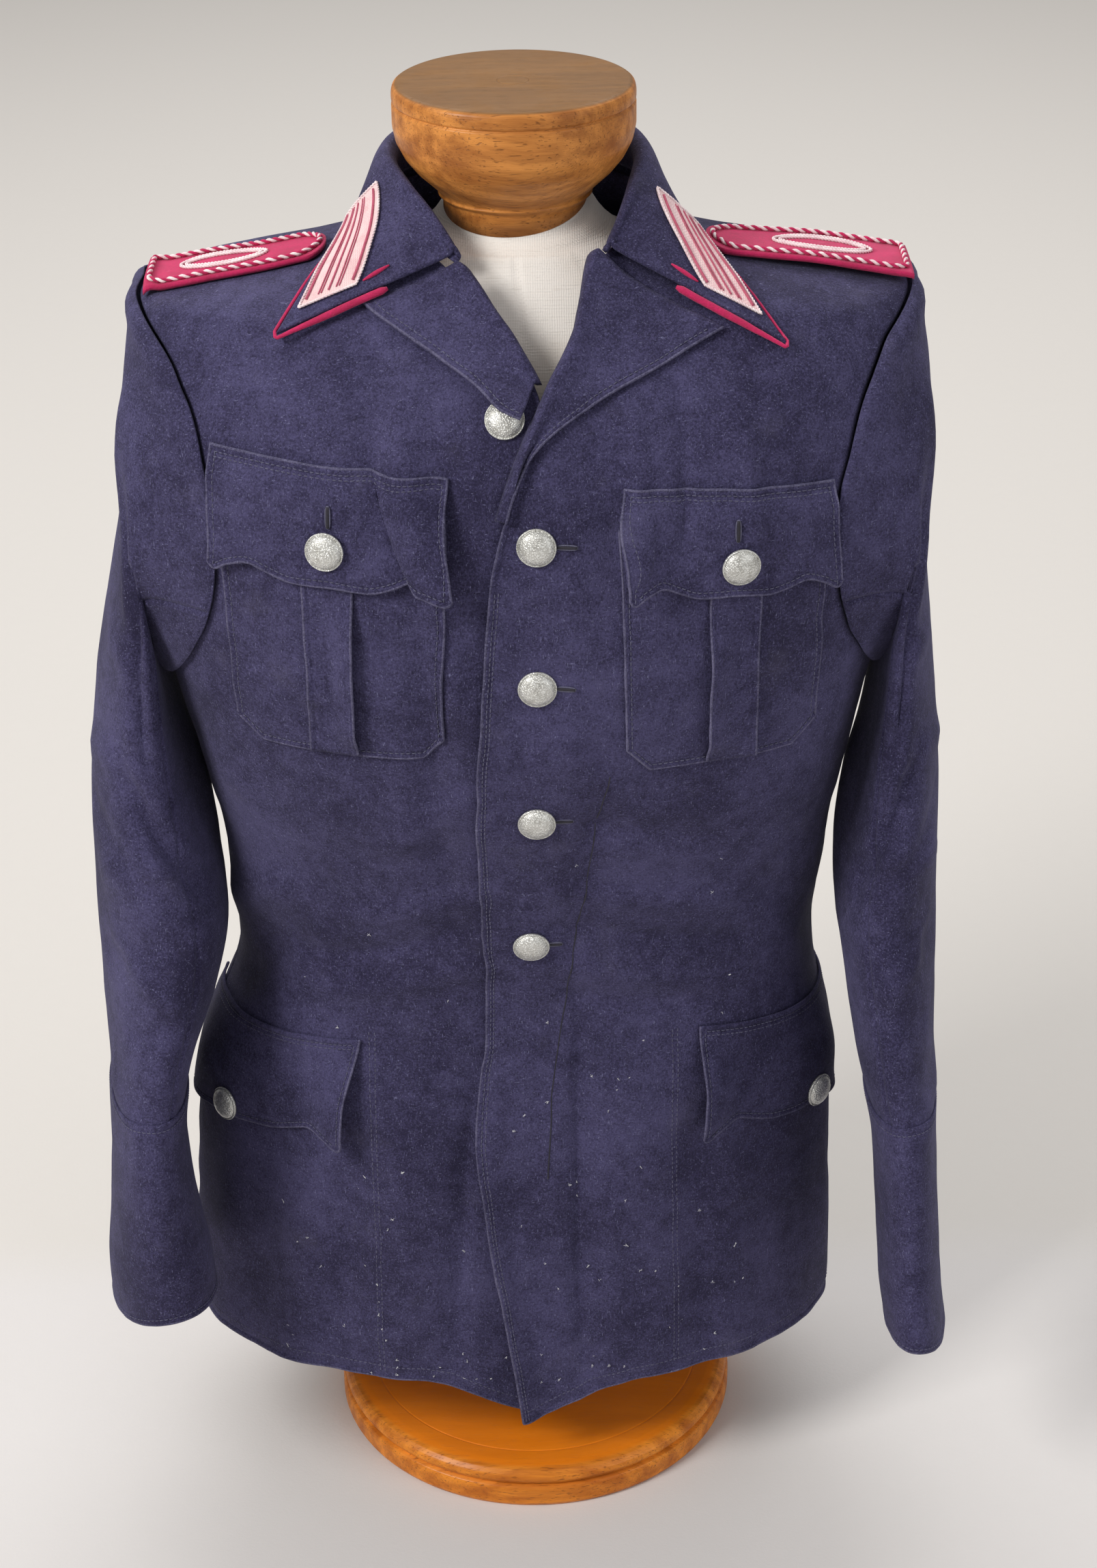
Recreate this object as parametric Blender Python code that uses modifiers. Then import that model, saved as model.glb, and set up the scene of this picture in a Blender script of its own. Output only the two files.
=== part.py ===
"""A police tunic on a limbless dress form, with a turned wooden neck cap and base.

Metres, +Z up. The form's axis is the Z axis, the floor is Z = 0 and the tunic's front faces -Y.
"Left" and "right" are the wearer's: left is +X. Every cloth piece is a thin closed wall that is
read from one of four smooth surfaces (body, sleeve, collar, shoulder board), each worked out from
a short table of sections.
"""

import math

import bmesh
import bpy
import numpy as np
from mathutils import Vector

PART_NAME = "police_tunic_on_dress_form"

# Driving sizes of the cloth
CLOTH = 0.0022            # body and sleeve cloth with its lining
POCKET_CLOTH = 0.0016     # pocket, pleat, flap and cuff layers
COLLAR_CLOTH = 0.0030     # collar and lapel, two layers and interlining
SEAM_GAP = 0.0003         # between two pieces that are sewn edge to edge
LAYER_GAP = 0.0007        # between two layers that lie on each other
HEM_Z = 0.097
FRONT_POINT_DROP = 0.028  # the front edge hangs this much below the hem
NECK_Z = 0.883            # neckline at the shoulder seam
BACK_NECK_Z = 0.888

# Driving sizes of the form
BASE_RADIUS = 0.140
BASE_TOP = 0.030
CAP_TOP = 0.9554
CAP_RADIUS = 0.071
NECK_RADIUS = 0.0425
NECK_CUT_Z = 0.8860
NECK_CUT_TILT = 14.0      # degrees, the front of the cut is lower
NECK_CUT_ROLL = 4.0       # degrees, the left of the cut is higher
TORSO_BOTTOM = 0.150
POST_RADIUS = 0.020

SIDES = {"right": -1.0, "left": 1.0}

# Horizontal sections of the tunic's inside, from hem to neck
# height, half width, depth in front, depth behind, shift to the left
BODY_SECTIONS = np.array([
    (0.060, 0.2203, 0.1230, 0.1300, -0.0148),
    (0.120, 0.2178, 0.1210, 0.1290, -0.0143),
    (0.200, 0.2120, 0.1180, 0.1260, -0.0120),
    (0.300, 0.2088, 0.1140, 0.1170, -0.0078),
    (0.390, 0.1880, 0.1080, 0.1020, -0.0010),
    (0.470, 0.1925, 0.1170, 0.1040, 0.0000),
    (0.547, 0.2085, 0.1370, 0.1140, 0.0000),
    (0.640, 0.2270, 0.1490, 0.1260, 0.0000),
    (0.700, 0.2350, 0.1500, 0.1290, 0.0000),
    (0.760, 0.2380, 0.1440, 0.1230, 0.0015),
    (0.800, 0.2375, 0.1260, 0.1090, 0.0035),
    (0.822, 0.2345, 0.1090, 0.0985, 0.0042),
    (0.836, 0.2270, 0.0960, 0.0900, 0.0042),
    (0.843, 0.1950, 0.0895, 0.0850, 0.0030),
    (0.850, 0.1500, 0.0835, 0.0800, 0.0018),
    (0.859, 0.1100, 0.0760, 0.0750, 0.0006),
    (0.871, 0.0860, 0.0680, 0.0705, 0.0000),
    (0.886, 0.0775, 0.0610, 0.0665, 0.0000),
    (0.900, 0.0740, 0.0570, 0.0640, 0.0000),
])
SECTION_POWER = 2.35      # 2 is an ellipse, more is squarer

# The largest folds that the cloth shows: soft ridges and troughs between two points
# angle and height of one end, of the other end, half width across, height of the ridge
BODY_FOLDS = (
    (-62.0, 0.440, -84.0, 0.350, 0.016, -0.0050),
    (-58.0, 0.470, -86.0, 0.425, 0.014, 0.0040),
    (-30.0, 0.330, -34.0, 0.100, 0.022, 0.0035),
    (20.0, 0.560, 9.0, 0.330, 0.016, -0.0030),
    (34.0, 0.330, 38.0, 0.100, 0.024, 0.0045),
    (62.0, 0.330, 66.0, 0.095, 0.022, -0.0055),
    (60.0, 0.470, 84.0, 0.400, 0.015, -0.0040),
    (-62.0, 0.330, -68.0, 0.095, 0.022, -0.0050),
    (112.0, 0.360, 118.0, 0.095, 0.026, 0.0070),
    (138.0, 0.340, 141.0, 0.095, 0.024, -0.0060),
    (160.0, 0.330, 163.0, 0.095, 0.024, 0.0055),
    (-112.0, 0.360, -118.0, 0.095, 0.026, 0.0070),
    (-138.0, 0.340, -141.0, 0.095, 0.024, -0.0060),
    (-160.0, 0.330, -163.0, 0.095, 0.024, 0.0055),
    (128.0, 0.440, 168.0, 0.405, 0.014, -0.0045),
    (-128.0, 0.440, -168.0, 0.405, 0.014, -0.0045),
)

# Inner edge of each front, from the hem up: height, angle from the front's middle
# (minus is towards the wearer's right). The left front lies on the right one.
FRONT_EDGES = {
    "left": np.array([
        (0.060, 4.6), (0.110, 2.5), (0.169, -2.2), (0.235, -8.5), (0.308, -12.5), (0.400, -13.5),
        (0.490, -13.0), (0.629, -9.3), (0.710, -6.4), (0.742, -3.7), (0.776, 0.5), (0.808, 7.5),
        (0.835, 19.5), (0.850, 27.5), (0.860, 33.0), (0.869, 40.0), (0.877, 52.0), (0.8815, 68.0),
        (NECK_Z, 90.0),
    ]),
    "right": np.array([
        (0.060, 12.0), (0.300, 10.0), (0.700, 8.0), (0.776, 7.5), (0.792, 6.0), (0.808, 3.8),
        (0.831, -3.5), (0.848, -13.5), (0.860, -24.5), (0.869, -35.0), (0.877, -52.0),
        (0.8815, -68.0), (NECK_Z, -90.0),
    ]),
}
OVERLAP_END = 0.052       # the left front comes down to its own level this far left of the middle
OVERLAP_RAMP = 0.030

ARMHOLE_Z = 0.7170
ARMHOLE_HALF_HEIGHT = 0.1195
ARMHOLE_HALF_ANGLE = {"right": 32.0, "left": 30.2}
SLEEVE_HEAD_LAP = 0.0026  # the sleeve's head lies this far over the edge of the armhole
SLEEVE_HEAD_ROOM = 0.0022 # and this far off the body's cloth

# Sleeve rings from shoulder to cuff end, at rest as the empty sleeves hang
# outer edge x and z, inner edge x and z, middle y, half depth, twist in degrees
SLEEVE_RINGS = {
    "right": np.array([
        (0.2350, 0.800, 0.2262, 0.592, -0.002, 0.088, 3.0),
        (0.2420, 0.725, 0.2250, 0.572, -0.004, 0.084, 4.0),
        (0.2560, 0.655, 0.2215, 0.545, -0.008, 0.080, 6.0),
        (0.2690, 0.590, 0.2150, 0.512, -0.014, 0.078, 8.0),
        (0.2765, 0.520, 0.2060, 0.470, -0.026, 0.076, 10.0),
        (0.2785, 0.450, 0.1965, 0.428, -0.042, 0.076, 12.0),
        (0.2760, 0.395, 0.2035, 0.388, -0.058, 0.073, 12.0),
        (0.2750, 0.345, 0.2190, 0.345, -0.072, 0.070, 11.0),
        (0.2752, 0.295, 0.2275, 0.298, -0.084, 0.067, 10.0),
        (0.2770, 0.243, 0.2240, 0.248, -0.095, 0.064, 11.0),
        (0.2805, 0.200, 0.2165, 0.208, -0.103, 0.061, 14.0),
        (0.2800, 0.168, 0.2140, 0.176, -0.107, 0.060, 15.0),
    ]),
    "left": np.array([
        (0.2450, 0.795, 0.2265, 0.592, -0.002, 0.088, 3.0),
        (0.2485, 0.720, 0.2250, 0.572, -0.004, 0.084, 4.0),
        (0.2520, 0.655, 0.2215, 0.545, -0.008, 0.080, 5.0),
        (0.2575, 0.590, 0.2150, 0.512, -0.014, 0.078, 6.0),
        (0.2640, 0.520, 0.2075, 0.470, -0.024, 0.076, 6.0),
        (0.2640, 0.455, 0.2035, 0.430, -0.038, 0.075, 6.0),
        (0.2645, 0.395, 0.2085, 0.385, -0.052, 0.073, 5.0),
        (0.2640, 0.338, 0.2170, 0.335, -0.066, 0.070, 4.0),
        (0.2642, 0.280, 0.2290, 0.280, -0.082, 0.067, 3.0),
        (0.2668, 0.218, 0.2330, 0.224, -0.096, 0.064, 3.0),
        (0.2705, 0.170, 0.2360, 0.178, -0.107, 0.062, 4.0),
        (0.2740, 0.142, 0.2400, 0.151, -0.113, 0.061, 5.0),
    ]),
}
CUFF_LIFT = 0.13          # the front of a sleeve ring is this much of its half depth higher
SLEEVE_SEAMS = (-112.0, 112.0)
# Folds of a sleeve: angle around, ring number, angle and ring of the other end, half width, height
SLEEVE_FOLDS = (
    (-55.0, 0.30, 55.0, 0.30, 0.014, 0.0032),
    (60.0, 4.4, 130.0, 5.4, 0.013, -0.0050),
    (30.0, 5.6, 120.0, 5.0, 0.012, 0.0040),
    (-60.0, 4.8, -120.0, 5.6, 0.013, -0.0045),
    (70.0, 1.4, 88.0, 4.0, 0.014, -0.0045),
    (-80.0, 1.6, -96.0, 4.2, 0.014, -0.0045),
    (20.0, 6.6, 100.0, 6.0, 0.012, -0.0035),
)

# Collar stations from the middle of the back to the front edge
# angle and height of the neck seam, roll line x, y, z, outer edge x, y, z
COLLAR_STATIONS = {
    "right": np.array([
        (180.0, 0.8880, 0.0000, 0.0765, 0.9180, 0.0000, 0.0900, 0.8750),
        (150.0, 0.8878, 0.0405, 0.0645, 0.9175, 0.0465, 0.0770, 0.8755),
        (118.0, 0.8860, 0.0645, 0.0370, 0.9165, 0.0775, 0.0465, 0.8812),
        (90.0, NECK_Z, 0.0712, 0.0000, 0.9145, 0.0905, -0.0020, 0.8838),
        (62.0, 0.8800, 0.0610, -0.0330, 0.9075, 0.1020, -0.0370, 0.8740),
        (42.0, 0.8735, 0.0470, -0.0510, 0.8955, 0.1190, -0.0670, 0.8582),
        (25.0, 0.8645, 0.0325, -0.0680, 0.8770, 0.1370, -0.0932, 0.8366),
    ]),
    "left": np.array([
        (180.0, 0.8880, 0.0000, 0.0765, 0.9180, 0.0000, 0.0900, 0.8750),
        (150.0, 0.8878, 0.0405, 0.0645, 0.9175, 0.0465, 0.0770, 0.8755),
        (118.0, 0.8860, 0.0645, 0.0370, 0.9165, 0.0785, 0.0465, 0.8790),
        (90.0, NECK_Z, 0.0712, 0.0000, 0.9145, 0.0930, -0.0020, 0.8800),
        (66.0, 0.8812, 0.0665, -0.0310, 0.9065, 0.1100, -0.0370, 0.8700),
        (51.0, 0.8765, 0.0605, -0.0500, 0.8950, 0.1310, -0.0670, 0.8520),
        (39.0, 0.8690, 0.0520, -0.0660, 0.8790, 0.1540, -0.0965, 0.8282),
    ]),
}
PATCH_LENGTH = {"right": 2.05, "left": 1.80}    # in stations along the collar
ROLL_RADIUS = (0.0046, 0.0032)    # of the collar's fold at the back and at its front edge

# Lapels: height and angle of points along the free edge from the lapel's foot to its corner
LAPEL_EDGES = {
    "right": np.array([(0.8015, 0.6), (0.8075, -4.5), (0.8155, -11.5), (0.824, -20.5), (0.834, -33.0),
                       (0.847, -49.5)]),
    "left": np.array([(0.744, -3.2), (0.764, -0.8), (0.784, 5.2), (0.801, 17.0), (0.814, 31.0),
                      (0.834, 52.0)]),
}
LAPEL_FOLDS = {"right": (0.8125, 0.8605), "left": (0.744, 0.8650)}    # heights of the fold's ends
LAPEL_LIFT = {"right": 0.0100, "left": 0.0022}    # how far the free edge stands off, at its foot
LAPEL_ROLL = 0.0040       # how far the fold stands proud of the front

# Chest pockets, on the front seen from the front: x of both edges and heights
CHEST_POCKETS = {
    "right": {"outer_x": -0.1735, "inner_x": -0.0410, "top_z": 0.752, "bottom_z": 0.5895,
              "narrowing": 0.0035, "chamfer": 0.014},
    "left": {"outer_x": 0.1765, "inner_x": 0.0570, "top_z": 0.737, "bottom_z": 0.5790,
             "narrowing": 0.0030, "chamfer": 0.016},
}
PLEAT_HALF_WIDTH = 0.0145
CHEST_FLAPS = {
    "right": {"outer_x": -0.1755, "inner_x": -0.0390, "outer_z": 0.7760, "inner_z": 0.7670,
              "drop": 0.0715, "button_shift": -0.002},
    "left": {"outer_x": 0.1800, "inner_x": 0.0600, "outer_z": 0.7510, "inner_z": 0.7610,
             "drop": 0.0655, "button_shift": 0.004},
}
# Lower edge of a flap: place across from its middle to its end, height above the end points
FLAP_SCALLOP = ((0.0, 0.0030), (0.30, 0.0022), (0.52, 0.0065), (0.68, 0.0105), (0.84, 0.0075), (1.0, 0.0))
LOWER_FLAPS = {
    "right": {"front_angle": -47.0, "back_angle": -97.0, "front_z": 0.3615, "back_z": 0.3425, "drop": 0.076,
              "button_angle": -73.0, "button_z": 0.2870},
    "left": {"front_angle": 49.5, "back_angle": 98.0, "front_z": 0.3670, "back_z": 0.3445, "drop": 0.080,
             "button_angle": 76.0, "button_z": 0.2860},
}
LOWER_FLAP_LIFT = 0.0016  # the free edge of a lower flap stands off the skirt

# Shoulder boards: rise is how far the outer half of a stiff board stands off the shoulder
SHOULDER_BOARDS = {
    "right": {"inner_x": 0.1120, "outer_x": 0.2190, "middle_y": -0.0080, "half_width": 0.0235, "rise": 0.0},
    "left": {"inner_x": 0.1120, "outer_x": 0.2330, "middle_y": -0.0060, "half_width": 0.0250, "rise": 0.0040},
}
BOARD_THICKNESS = 0.0028
BOARD_BEND_X = 0.2215     # beyond this the shoulder falls away and a board goes straight on
BOARD_CORD_RADIUS = 0.0018

PIPING_RADIUS = (0.0011, 0.0022)  # along the collar's outer edge and along its front edge
PIPING_GAP = 0.0007

BUTTON_RADIUS = 0.0115
BUTTON_DOME = 0.0062
# height and angle of each front button, from the top
FRONT_BUTTONS = ((0.7965, -4.6), (0.729, 3.8), (0.640, 3.5), (0.5445, 3.2), (0.4440, 1.4))

# Horizontal sections of the linen torso: height, half width, depth in front, depth behind
TORSO_SECTIONS = np.array([
    (TORSO_BOTTOM, 0.145, 0.082, 0.088),
    (0.165, 0.156, 0.092, 0.098),
    (0.260, 0.166, 0.097, 0.102),
    (0.390, 0.140, 0.088, 0.086),
    (0.520, 0.160, 0.108, 0.094),
    (0.640, 0.182, 0.130, 0.108),
    (0.720, 0.190, 0.130, 0.110),
    (0.780, 0.192, 0.112, 0.098),
    (0.808, 0.189, 0.094, 0.087),
    (0.826, 0.184, 0.079, 0.076),
    (0.836, 0.176, 0.071, 0.070),
    (0.852, 0.110, 0.0600, 0.0610),
    (0.862, 0.0720, 0.0535, 0.0560),
    (0.872, 0.0520, 0.0480, 0.0500),
    (0.880, 0.0455, 0.0445, 0.0455),
])
SHOULDER_SEAT_Z = (0.8435, 0.8485)
SHOULDER_TOUCH = 0.0030   # sideways room between the torso and the tunic where its shoulders rest


def hermite(rows, x):
    """Columns of a table read at x, by a smooth curve that never overshoots its rows."""
    rows = np.asarray(rows, float)
    x = np.clip(np.asarray(x, float), rows[0, 0], rows[-1, 0])
    heights, values = rows[:, 0], rows[:, 1:]
    steps = np.diff(heights)[:, None]
    slopes = np.diff(values, axis=0) / steps
    tangents = np.zeros_like(values)
    same_way = slopes[:-1] * slopes[1:] > 0
    middle = 2 * slopes[:-1] * slopes[1:] / np.where(same_way, slopes[:-1] + slopes[1:], 1.0)
    tangents[1:-1] = np.where(same_way, middle, 0.0)
    tangents[0], tangents[-1] = slopes[0], slopes[-1]
    index = np.clip(np.searchsorted(heights, x, side="right") - 1, 0, len(heights) - 2)
    width = heights[index + 1] - heights[index]
    t = ((x - heights[index]) / width)[..., None]
    width = width[..., None]
    return ((2 * t**3 - 3 * t**2 + 1) * values[index] + (t**3 - 2 * t**2 + t) * width * tangents[index]
            + (-2 * t**3 + 3 * t**2) * values[index + 1] + (t**3 - t**2) * width * tangents[index + 1])


def smooth_rows(rows, s, per_point=False):
    """Rows read at the real row number s, by a Catmull-Rom curve.

    With per_point the rows are (row, point, 3) and each s reads its own point.
    """
    last = len(rows) - 1
    s = np.clip(np.asarray(s, float), 0, last)
    i = np.clip(np.floor(s).astype(int), 0, last - 1)
    t = (s - i)[..., None]
    picks = [np.maximum(i - 1, 0), i, i + 1, np.minimum(i + 2, last)]
    if per_point:
        p0, p1, p2, p3 = [rows[pick, np.arange(len(s))] for pick in picks]
    else:
        p0, p1, p2, p3 = [rows[pick] for pick in picks]
    return 0.5 * (2 * p1 + (p2 - p0) * t + (2 * p0 - 5 * p1 + 4 * p2 - p3) * t**2
                  + (3 * p1 - p0 - 3 * p2 + p3) * t**3)


def smoothstep(x):
    """0 below 0, 1 above 1 and an even rise between."""
    x = np.clip(x, 0.0, 1.0)
    return x * x * (3 - 2 * x)


def section_radius(angle, half_width, front, back):
    """Distance from the axis to a squarish oval in the direction of angle (radians, 0 is -Y)."""
    depth = np.where(np.cos(angle) >= 0, front, back)
    across = np.abs(np.sin(angle)) / half_width
    along = np.abs(np.cos(angle)) / depth
    return (across**SECTION_POWER + along**SECTION_POWER) ** (-1.0 / SECTION_POWER)


def fold_height(folds, a, b, a_scale, b_scale):
    """Sum of the folds at (a, b); the scales turn both coordinates into metres."""
    total = np.zeros(np.broadcast(a, b).shape)
    for a0, b0, a1, b1, half_width, height in folds:
        start = np.array([a0 * a_scale, b0 * b_scale])
        run = np.array([a1 * a_scale, b1 * b_scale]) - start
        px, py = a * a_scale - start[0], b * b_scale - start[1]
        along = (px * run[0] + py * run[1]) / run.dot(run)
        nearest = np.clip(along, 0.0, 1.0)
        distance = np.hypot(px - nearest * run[0], py - nearest * run[1])
        ends = smoothstep(1.6 * (0.62 - np.abs(along - 0.5)) + 0.35)
        total = total + height * ends * np.exp(-((distance / half_width) ** 2))
    return total


def body_base(angle_deg, z):
    """Point on the tunic's inside at an angle round the axis and a height."""
    angle_deg, z = np.broadcast_arrays(np.asarray(angle_deg, float), np.asarray(z, float))
    angle = np.radians(angle_deg)
    half_width, front, back, shift = np.moveaxis(hermite(BODY_SECTIONS, z), -1, 0)
    radius = section_radius(angle, half_width, front, back)
    wrapped = (angle_deg + 180.0) % 360.0 - 180.0
    radius = radius + fold_height(BODY_FOLDS, wrapped, z, math.radians(0.17), 1.0)
    return np.stack([shift + radius * np.sin(angle), -radius * np.cos(angle), z], -1)


def offset_point(base, a, b, depth, a_step, b_step):
    """base(a, b) moved out by depth along the surface's normal."""
    across = base(a + a_step, b) - base(a - a_step, b)
    upward = base(a, b + b_step) - base(a, b - b_step)
    normal = np.cross(across, upward)
    normal = normal / np.linalg.norm(normal, axis=-1, keepdims=True)
    return base(a, b) + normal * np.asarray(depth)[..., None]


def body_point(angle_deg, z, depth=0.0):
    """Point at a depth outside the tunic's inner surface."""
    angle_deg, z, depth = np.broadcast_arrays(
        np.asarray(angle_deg, float), np.asarray(z, float), np.asarray(depth, float))
    return offset_point(body_base, angle_deg, z, depth, 0.4, 0.0012)


def angle_at_x(x, z):
    """Angle of the point on the tunic's front at a given x and height."""
    half_width, front, _, shift = np.moveaxis(hermite(BODY_SECTIONS, z), -1, 0)
    share = np.clip(np.abs(x - shift) / half_width, 0.0, 0.999)
    y = front * (1 - share**SECTION_POWER) ** (1.0 / SECTION_POWER)
    return np.degrees(np.arctan2(x - shift, y))


def half_gap_angle(angle_deg, z):
    """Half the seam gap as an angle round the axis."""
    half_width, front, back, _ = np.moveaxis(hermite(BODY_SECTIONS, z), -1, 0)
    radius = section_radius(np.radians(angle_deg), half_width, front, back)
    return np.degrees(0.5 * SEAM_GAP / radius)


def overlap_depth(angle_deg, z):
    """How far out the left front lies, on top of the right one near the middle."""
    x = body_base(angle_deg, z)[..., 0]
    return (CLOTH + 2 * LAYER_GAP) * smoothstep((OVERLAP_END - x) / OVERLAP_RAMP)


def front_depth(side, angle_deg, z):
    """Depth of a front's outer face."""
    extra = overlap_depth(angle_deg, z) if side == "left" else 0.0
    return CLOTH + extra


def clean_scene():
    """Remove every object, mesh and material that the file opened with."""
    for obj in list(bpy.data.objects):
        bpy.data.objects.remove(obj, do_unlink=True)
    for collection in list(bpy.data.collections):
        bpy.data.collections.remove(collection)


def make_material(name, colour, roughness, metallic=0.0):
    """A Principled material with the part's colour."""
    material = bpy.data.materials.new(name)
    material.use_nodes = True
    shader = material.node_tree.nodes["Principled BSDF"]
    shader.inputs["Base Color"].default_value = (*colour, 1.0)
    shader.inputs["Roughness"].default_value = roughness
    shader.inputs["Metallic"].default_value = metallic
    return material


def add_object(name, mesh, material, collection):
    """Link a mesh as an object with a material of its own and smooth shading."""
    mesh.materials.append(material)
    mesh.shade_smooth()
    mesh.set_sharp_from_angle(angle=math.radians(35))
    obj = bpy.data.objects.new(name, mesh)
    collection.objects.link(obj)
    return obj


def mesh_from_bmesh(name, bm):
    """Turn a bmesh into a mesh with its faces pointing out."""
    bmesh.ops.recalc_face_normals(bm, faces=bm.faces)
    mesh = bpy.data.meshes.new(name)
    bm.to_mesh(mesh)
    bm.free()
    return mesh


def loft_wall(name, inner, outer, closed=False):
    """A closed wall between two grids of points; closed joins the last column to the first.

    Both grids are (columns, rows, 3). The faces are a loft between unlike sections.
    """
    bm = bmesh.new()
    columns, rows = inner.shape[:2]
    layers = [[[bm.verts.new(point) for point in column] for column in grid] for grid in (inner, outer)]
    spans = columns if closed else columns - 1
    for layer in layers:
        for i in range(spans):
            j = (i + 1) % columns
            for k in range(rows - 1):
                bm.faces.new((layer[i][k], layer[j][k], layer[j][k + 1], layer[i][k + 1]))
    ends = [[(i, k) for i in range(columns)] + ([(0, k)] if closed else []) for k in (0, rows - 1)]
    if not closed:
        ends += [[(i, k) for k in range(rows)] for i in (0, columns - 1)]
    for rim in ends:
        for (i0, k0), (i1, k1) in zip(rim[:-1], rim[1:]):
            bm.faces.new((layers[0][i0][k0], layers[0][i1][k1], layers[1][i1][k1], layers[1][i0][k0]))
    return mesh_from_bmesh(name, bm)


def loft_solid(name, rings):
    """A solid through closed rings of points, with a flat cap at each end."""
    bm = bmesh.new()
    loops = [[bm.verts.new(point) for point in ring] for ring in rings]
    for low, high in zip(loops[:-1], loops[1:]):
        for i in range(len(low)):
            j = (i + 1) % len(low)
            bm.faces.new((low[i], low[j], high[j], high[i]))
    bm.faces.new(loops[0])
    bm.faces.new(loops[-1])
    return mesh_from_bmesh(name, bm)


def tube_along(name, points, radii, sides=6, closed=False):
    """A round cord through points, with a radius at each."""
    points = np.asarray(points, float)
    radii = np.broadcast_to(np.asarray(radii, float), len(points))
    ahead = np.roll(points, -1, axis=0)
    behind = np.roll(points, 1, axis=0)
    if not closed:
        ahead[-1], behind[0] = points[-1], points[0]
    run = ahead - behind
    run /= np.linalg.norm(run, axis=1, keepdims=True)
    up = np.cross(run, np.array([0.03, 0.02, 1.0]))
    up /= np.linalg.norm(up, axis=1, keepdims=True)
    over = np.cross(up, run)
    turn = np.linspace(0, 2 * math.pi, sides, endpoint=False)
    ring = np.cos(turn)[None, :, None] * up[:, None] + np.sin(turn)[None, :, None] * over[:, None]
    grid = points[:, None] + ring * radii[:, None, None]
    if not closed:
        return loft_solid(name, grid)
    bm = bmesh.new()
    loops = [[bm.verts.new(point) for point in row] for row in grid]
    for i in range(len(loops)):
        low, high = loops[i], loops[(i + 1) % len(loops)]
        for k in range(sides):
            m = (k + 1) % sides
            bm.faces.new((low[k], low[m], high[m], high[k]))
    return mesh_from_bmesh(name, bm)


def turned(name, profile, steps, material, collection):
    """A turned piece: the profile runs down its outer side at +X, from axis to axis."""
    mesh = bpy.data.meshes.new(name)
    points = [(radius, 0.0, z) for radius, z in profile]
    mesh.from_pydata(points, [(i, i + 1) for i in range(len(points) - 1)], [])
    obj = add_object(name, mesh, material, collection)
    screw = obj.modifiers.new("Turn", "SCREW")
    screw.steps = steps
    screw.render_steps = steps
    screw.use_merge_vertices = True
    screw.merge_threshold = 0.00005
    return obj


def front_panel(side, columns=13):
    """One front, from its edge and neckline to the side seam and armhole."""
    sign = SIDES[side]
    inner_z = np.array([HEM_Z, 0.130, 0.180, 0.230, 0.280, 0.325, 0.365, 0.400, 0.435, 0.475, 0.520, 0.565,
                        0.612, 0.655, 0.695, 0.730, 0.762, 0.788, 0.812, 0.833, 0.849, 0.862, 0.873, NECK_Z])
    outer_z = armhole_heights(inner_z, below=12)
    across = np.linspace(0.0, 1.0, columns)
    inner_angle = hermite(FRONT_EDGES[side], inner_z)[..., 0]
    outer_angle = sign * armhole_angle(side, outer_z, front=True)
    outer_angle = outer_angle - sign * half_gap_angle(outer_angle, outer_z)
    inner_angle[-1] -= sign * half_gap_angle(inner_angle[-1], inner_z[-1])
    drop = FRONT_POINT_DROP * smoothstep(1 - across / 0.40)
    low = smoothstep((0.30 - inner_z) / (0.30 - HEM_Z))
    angle = inner_angle[None] + across[:, None] * (outer_angle - inner_angle)[None]
    height = inner_z[None] + across[:, None] * (outer_z - inner_z)[None] - drop[:, None] * low[None]
    inner_depth = overlap_depth(angle, height) if side == "left" else np.zeros_like(angle)
    return body_point(angle, height, inner_depth), body_point(angle, height, inner_depth + CLOTH)


def armhole_heights(inner_z, below):
    """Heights at the side: level with the inner edge below the armpit, then evenly up the armhole."""
    heights = inner_z.copy()
    rows_above = len(inner_z) - below
    turn = np.linspace(0.0, math.pi, rows_above)
    heights[below:] = ARMHOLE_Z - ARMHOLE_HALF_HEIGHT * np.cos(turn)
    return heights


def armhole_angle(side, z, front):
    """Angle of the side seam below the armpit and of the armhole above it."""
    share = np.clip((z - ARMHOLE_Z) / ARMHOLE_HALF_HEIGHT, -1.0, 1.0)
    half = ARMHOLE_HALF_ANGLE[side] * np.sqrt(1 - share**2)
    return 90.0 - half if front else 90.0 + half


def back_panel(side, columns=11):
    """One back half, from the centre back seam to the side seam, armhole and shoulder seam."""
    sign = SIDES[side]
    inner_z = np.array([HEM_Z, 0.145, 0.205, 0.265, 0.320, 0.365, 0.405, 0.445, 0.500, 0.555, 0.608, 0.655,
                        0.700, 0.740, 0.775, 0.806, 0.832, 0.852, 0.866, 0.874, 0.881, BACK_NECK_Z])
    outer_z = armhole_heights(inner_z, below=10)
    shoulder = len(inner_z) - 3
    outer_z[10:shoulder] = armhole_heights(inner_z[:shoulder], below=10)[10:]
    outer_z[shoulder:] = (0.8450, 0.8580, NECK_Z)
    across = np.linspace(0.0, 1.0, columns)
    outer_angle = armhole_angle(side, outer_z, front=False)
    outer_angle = outer_angle + half_gap_angle(outer_angle, outer_z)
    inner_angle = 180.0 - half_gap_angle(180.0, inner_z)
    angle = sign * (inner_angle[None] + across[:, None] * (outer_angle - inner_angle)[None])
    height = inner_z[None] + across[:, None] * (outer_z - inner_z)[None]
    return body_point(angle, height, 0.0), body_point(angle, height, CLOTH)


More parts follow.
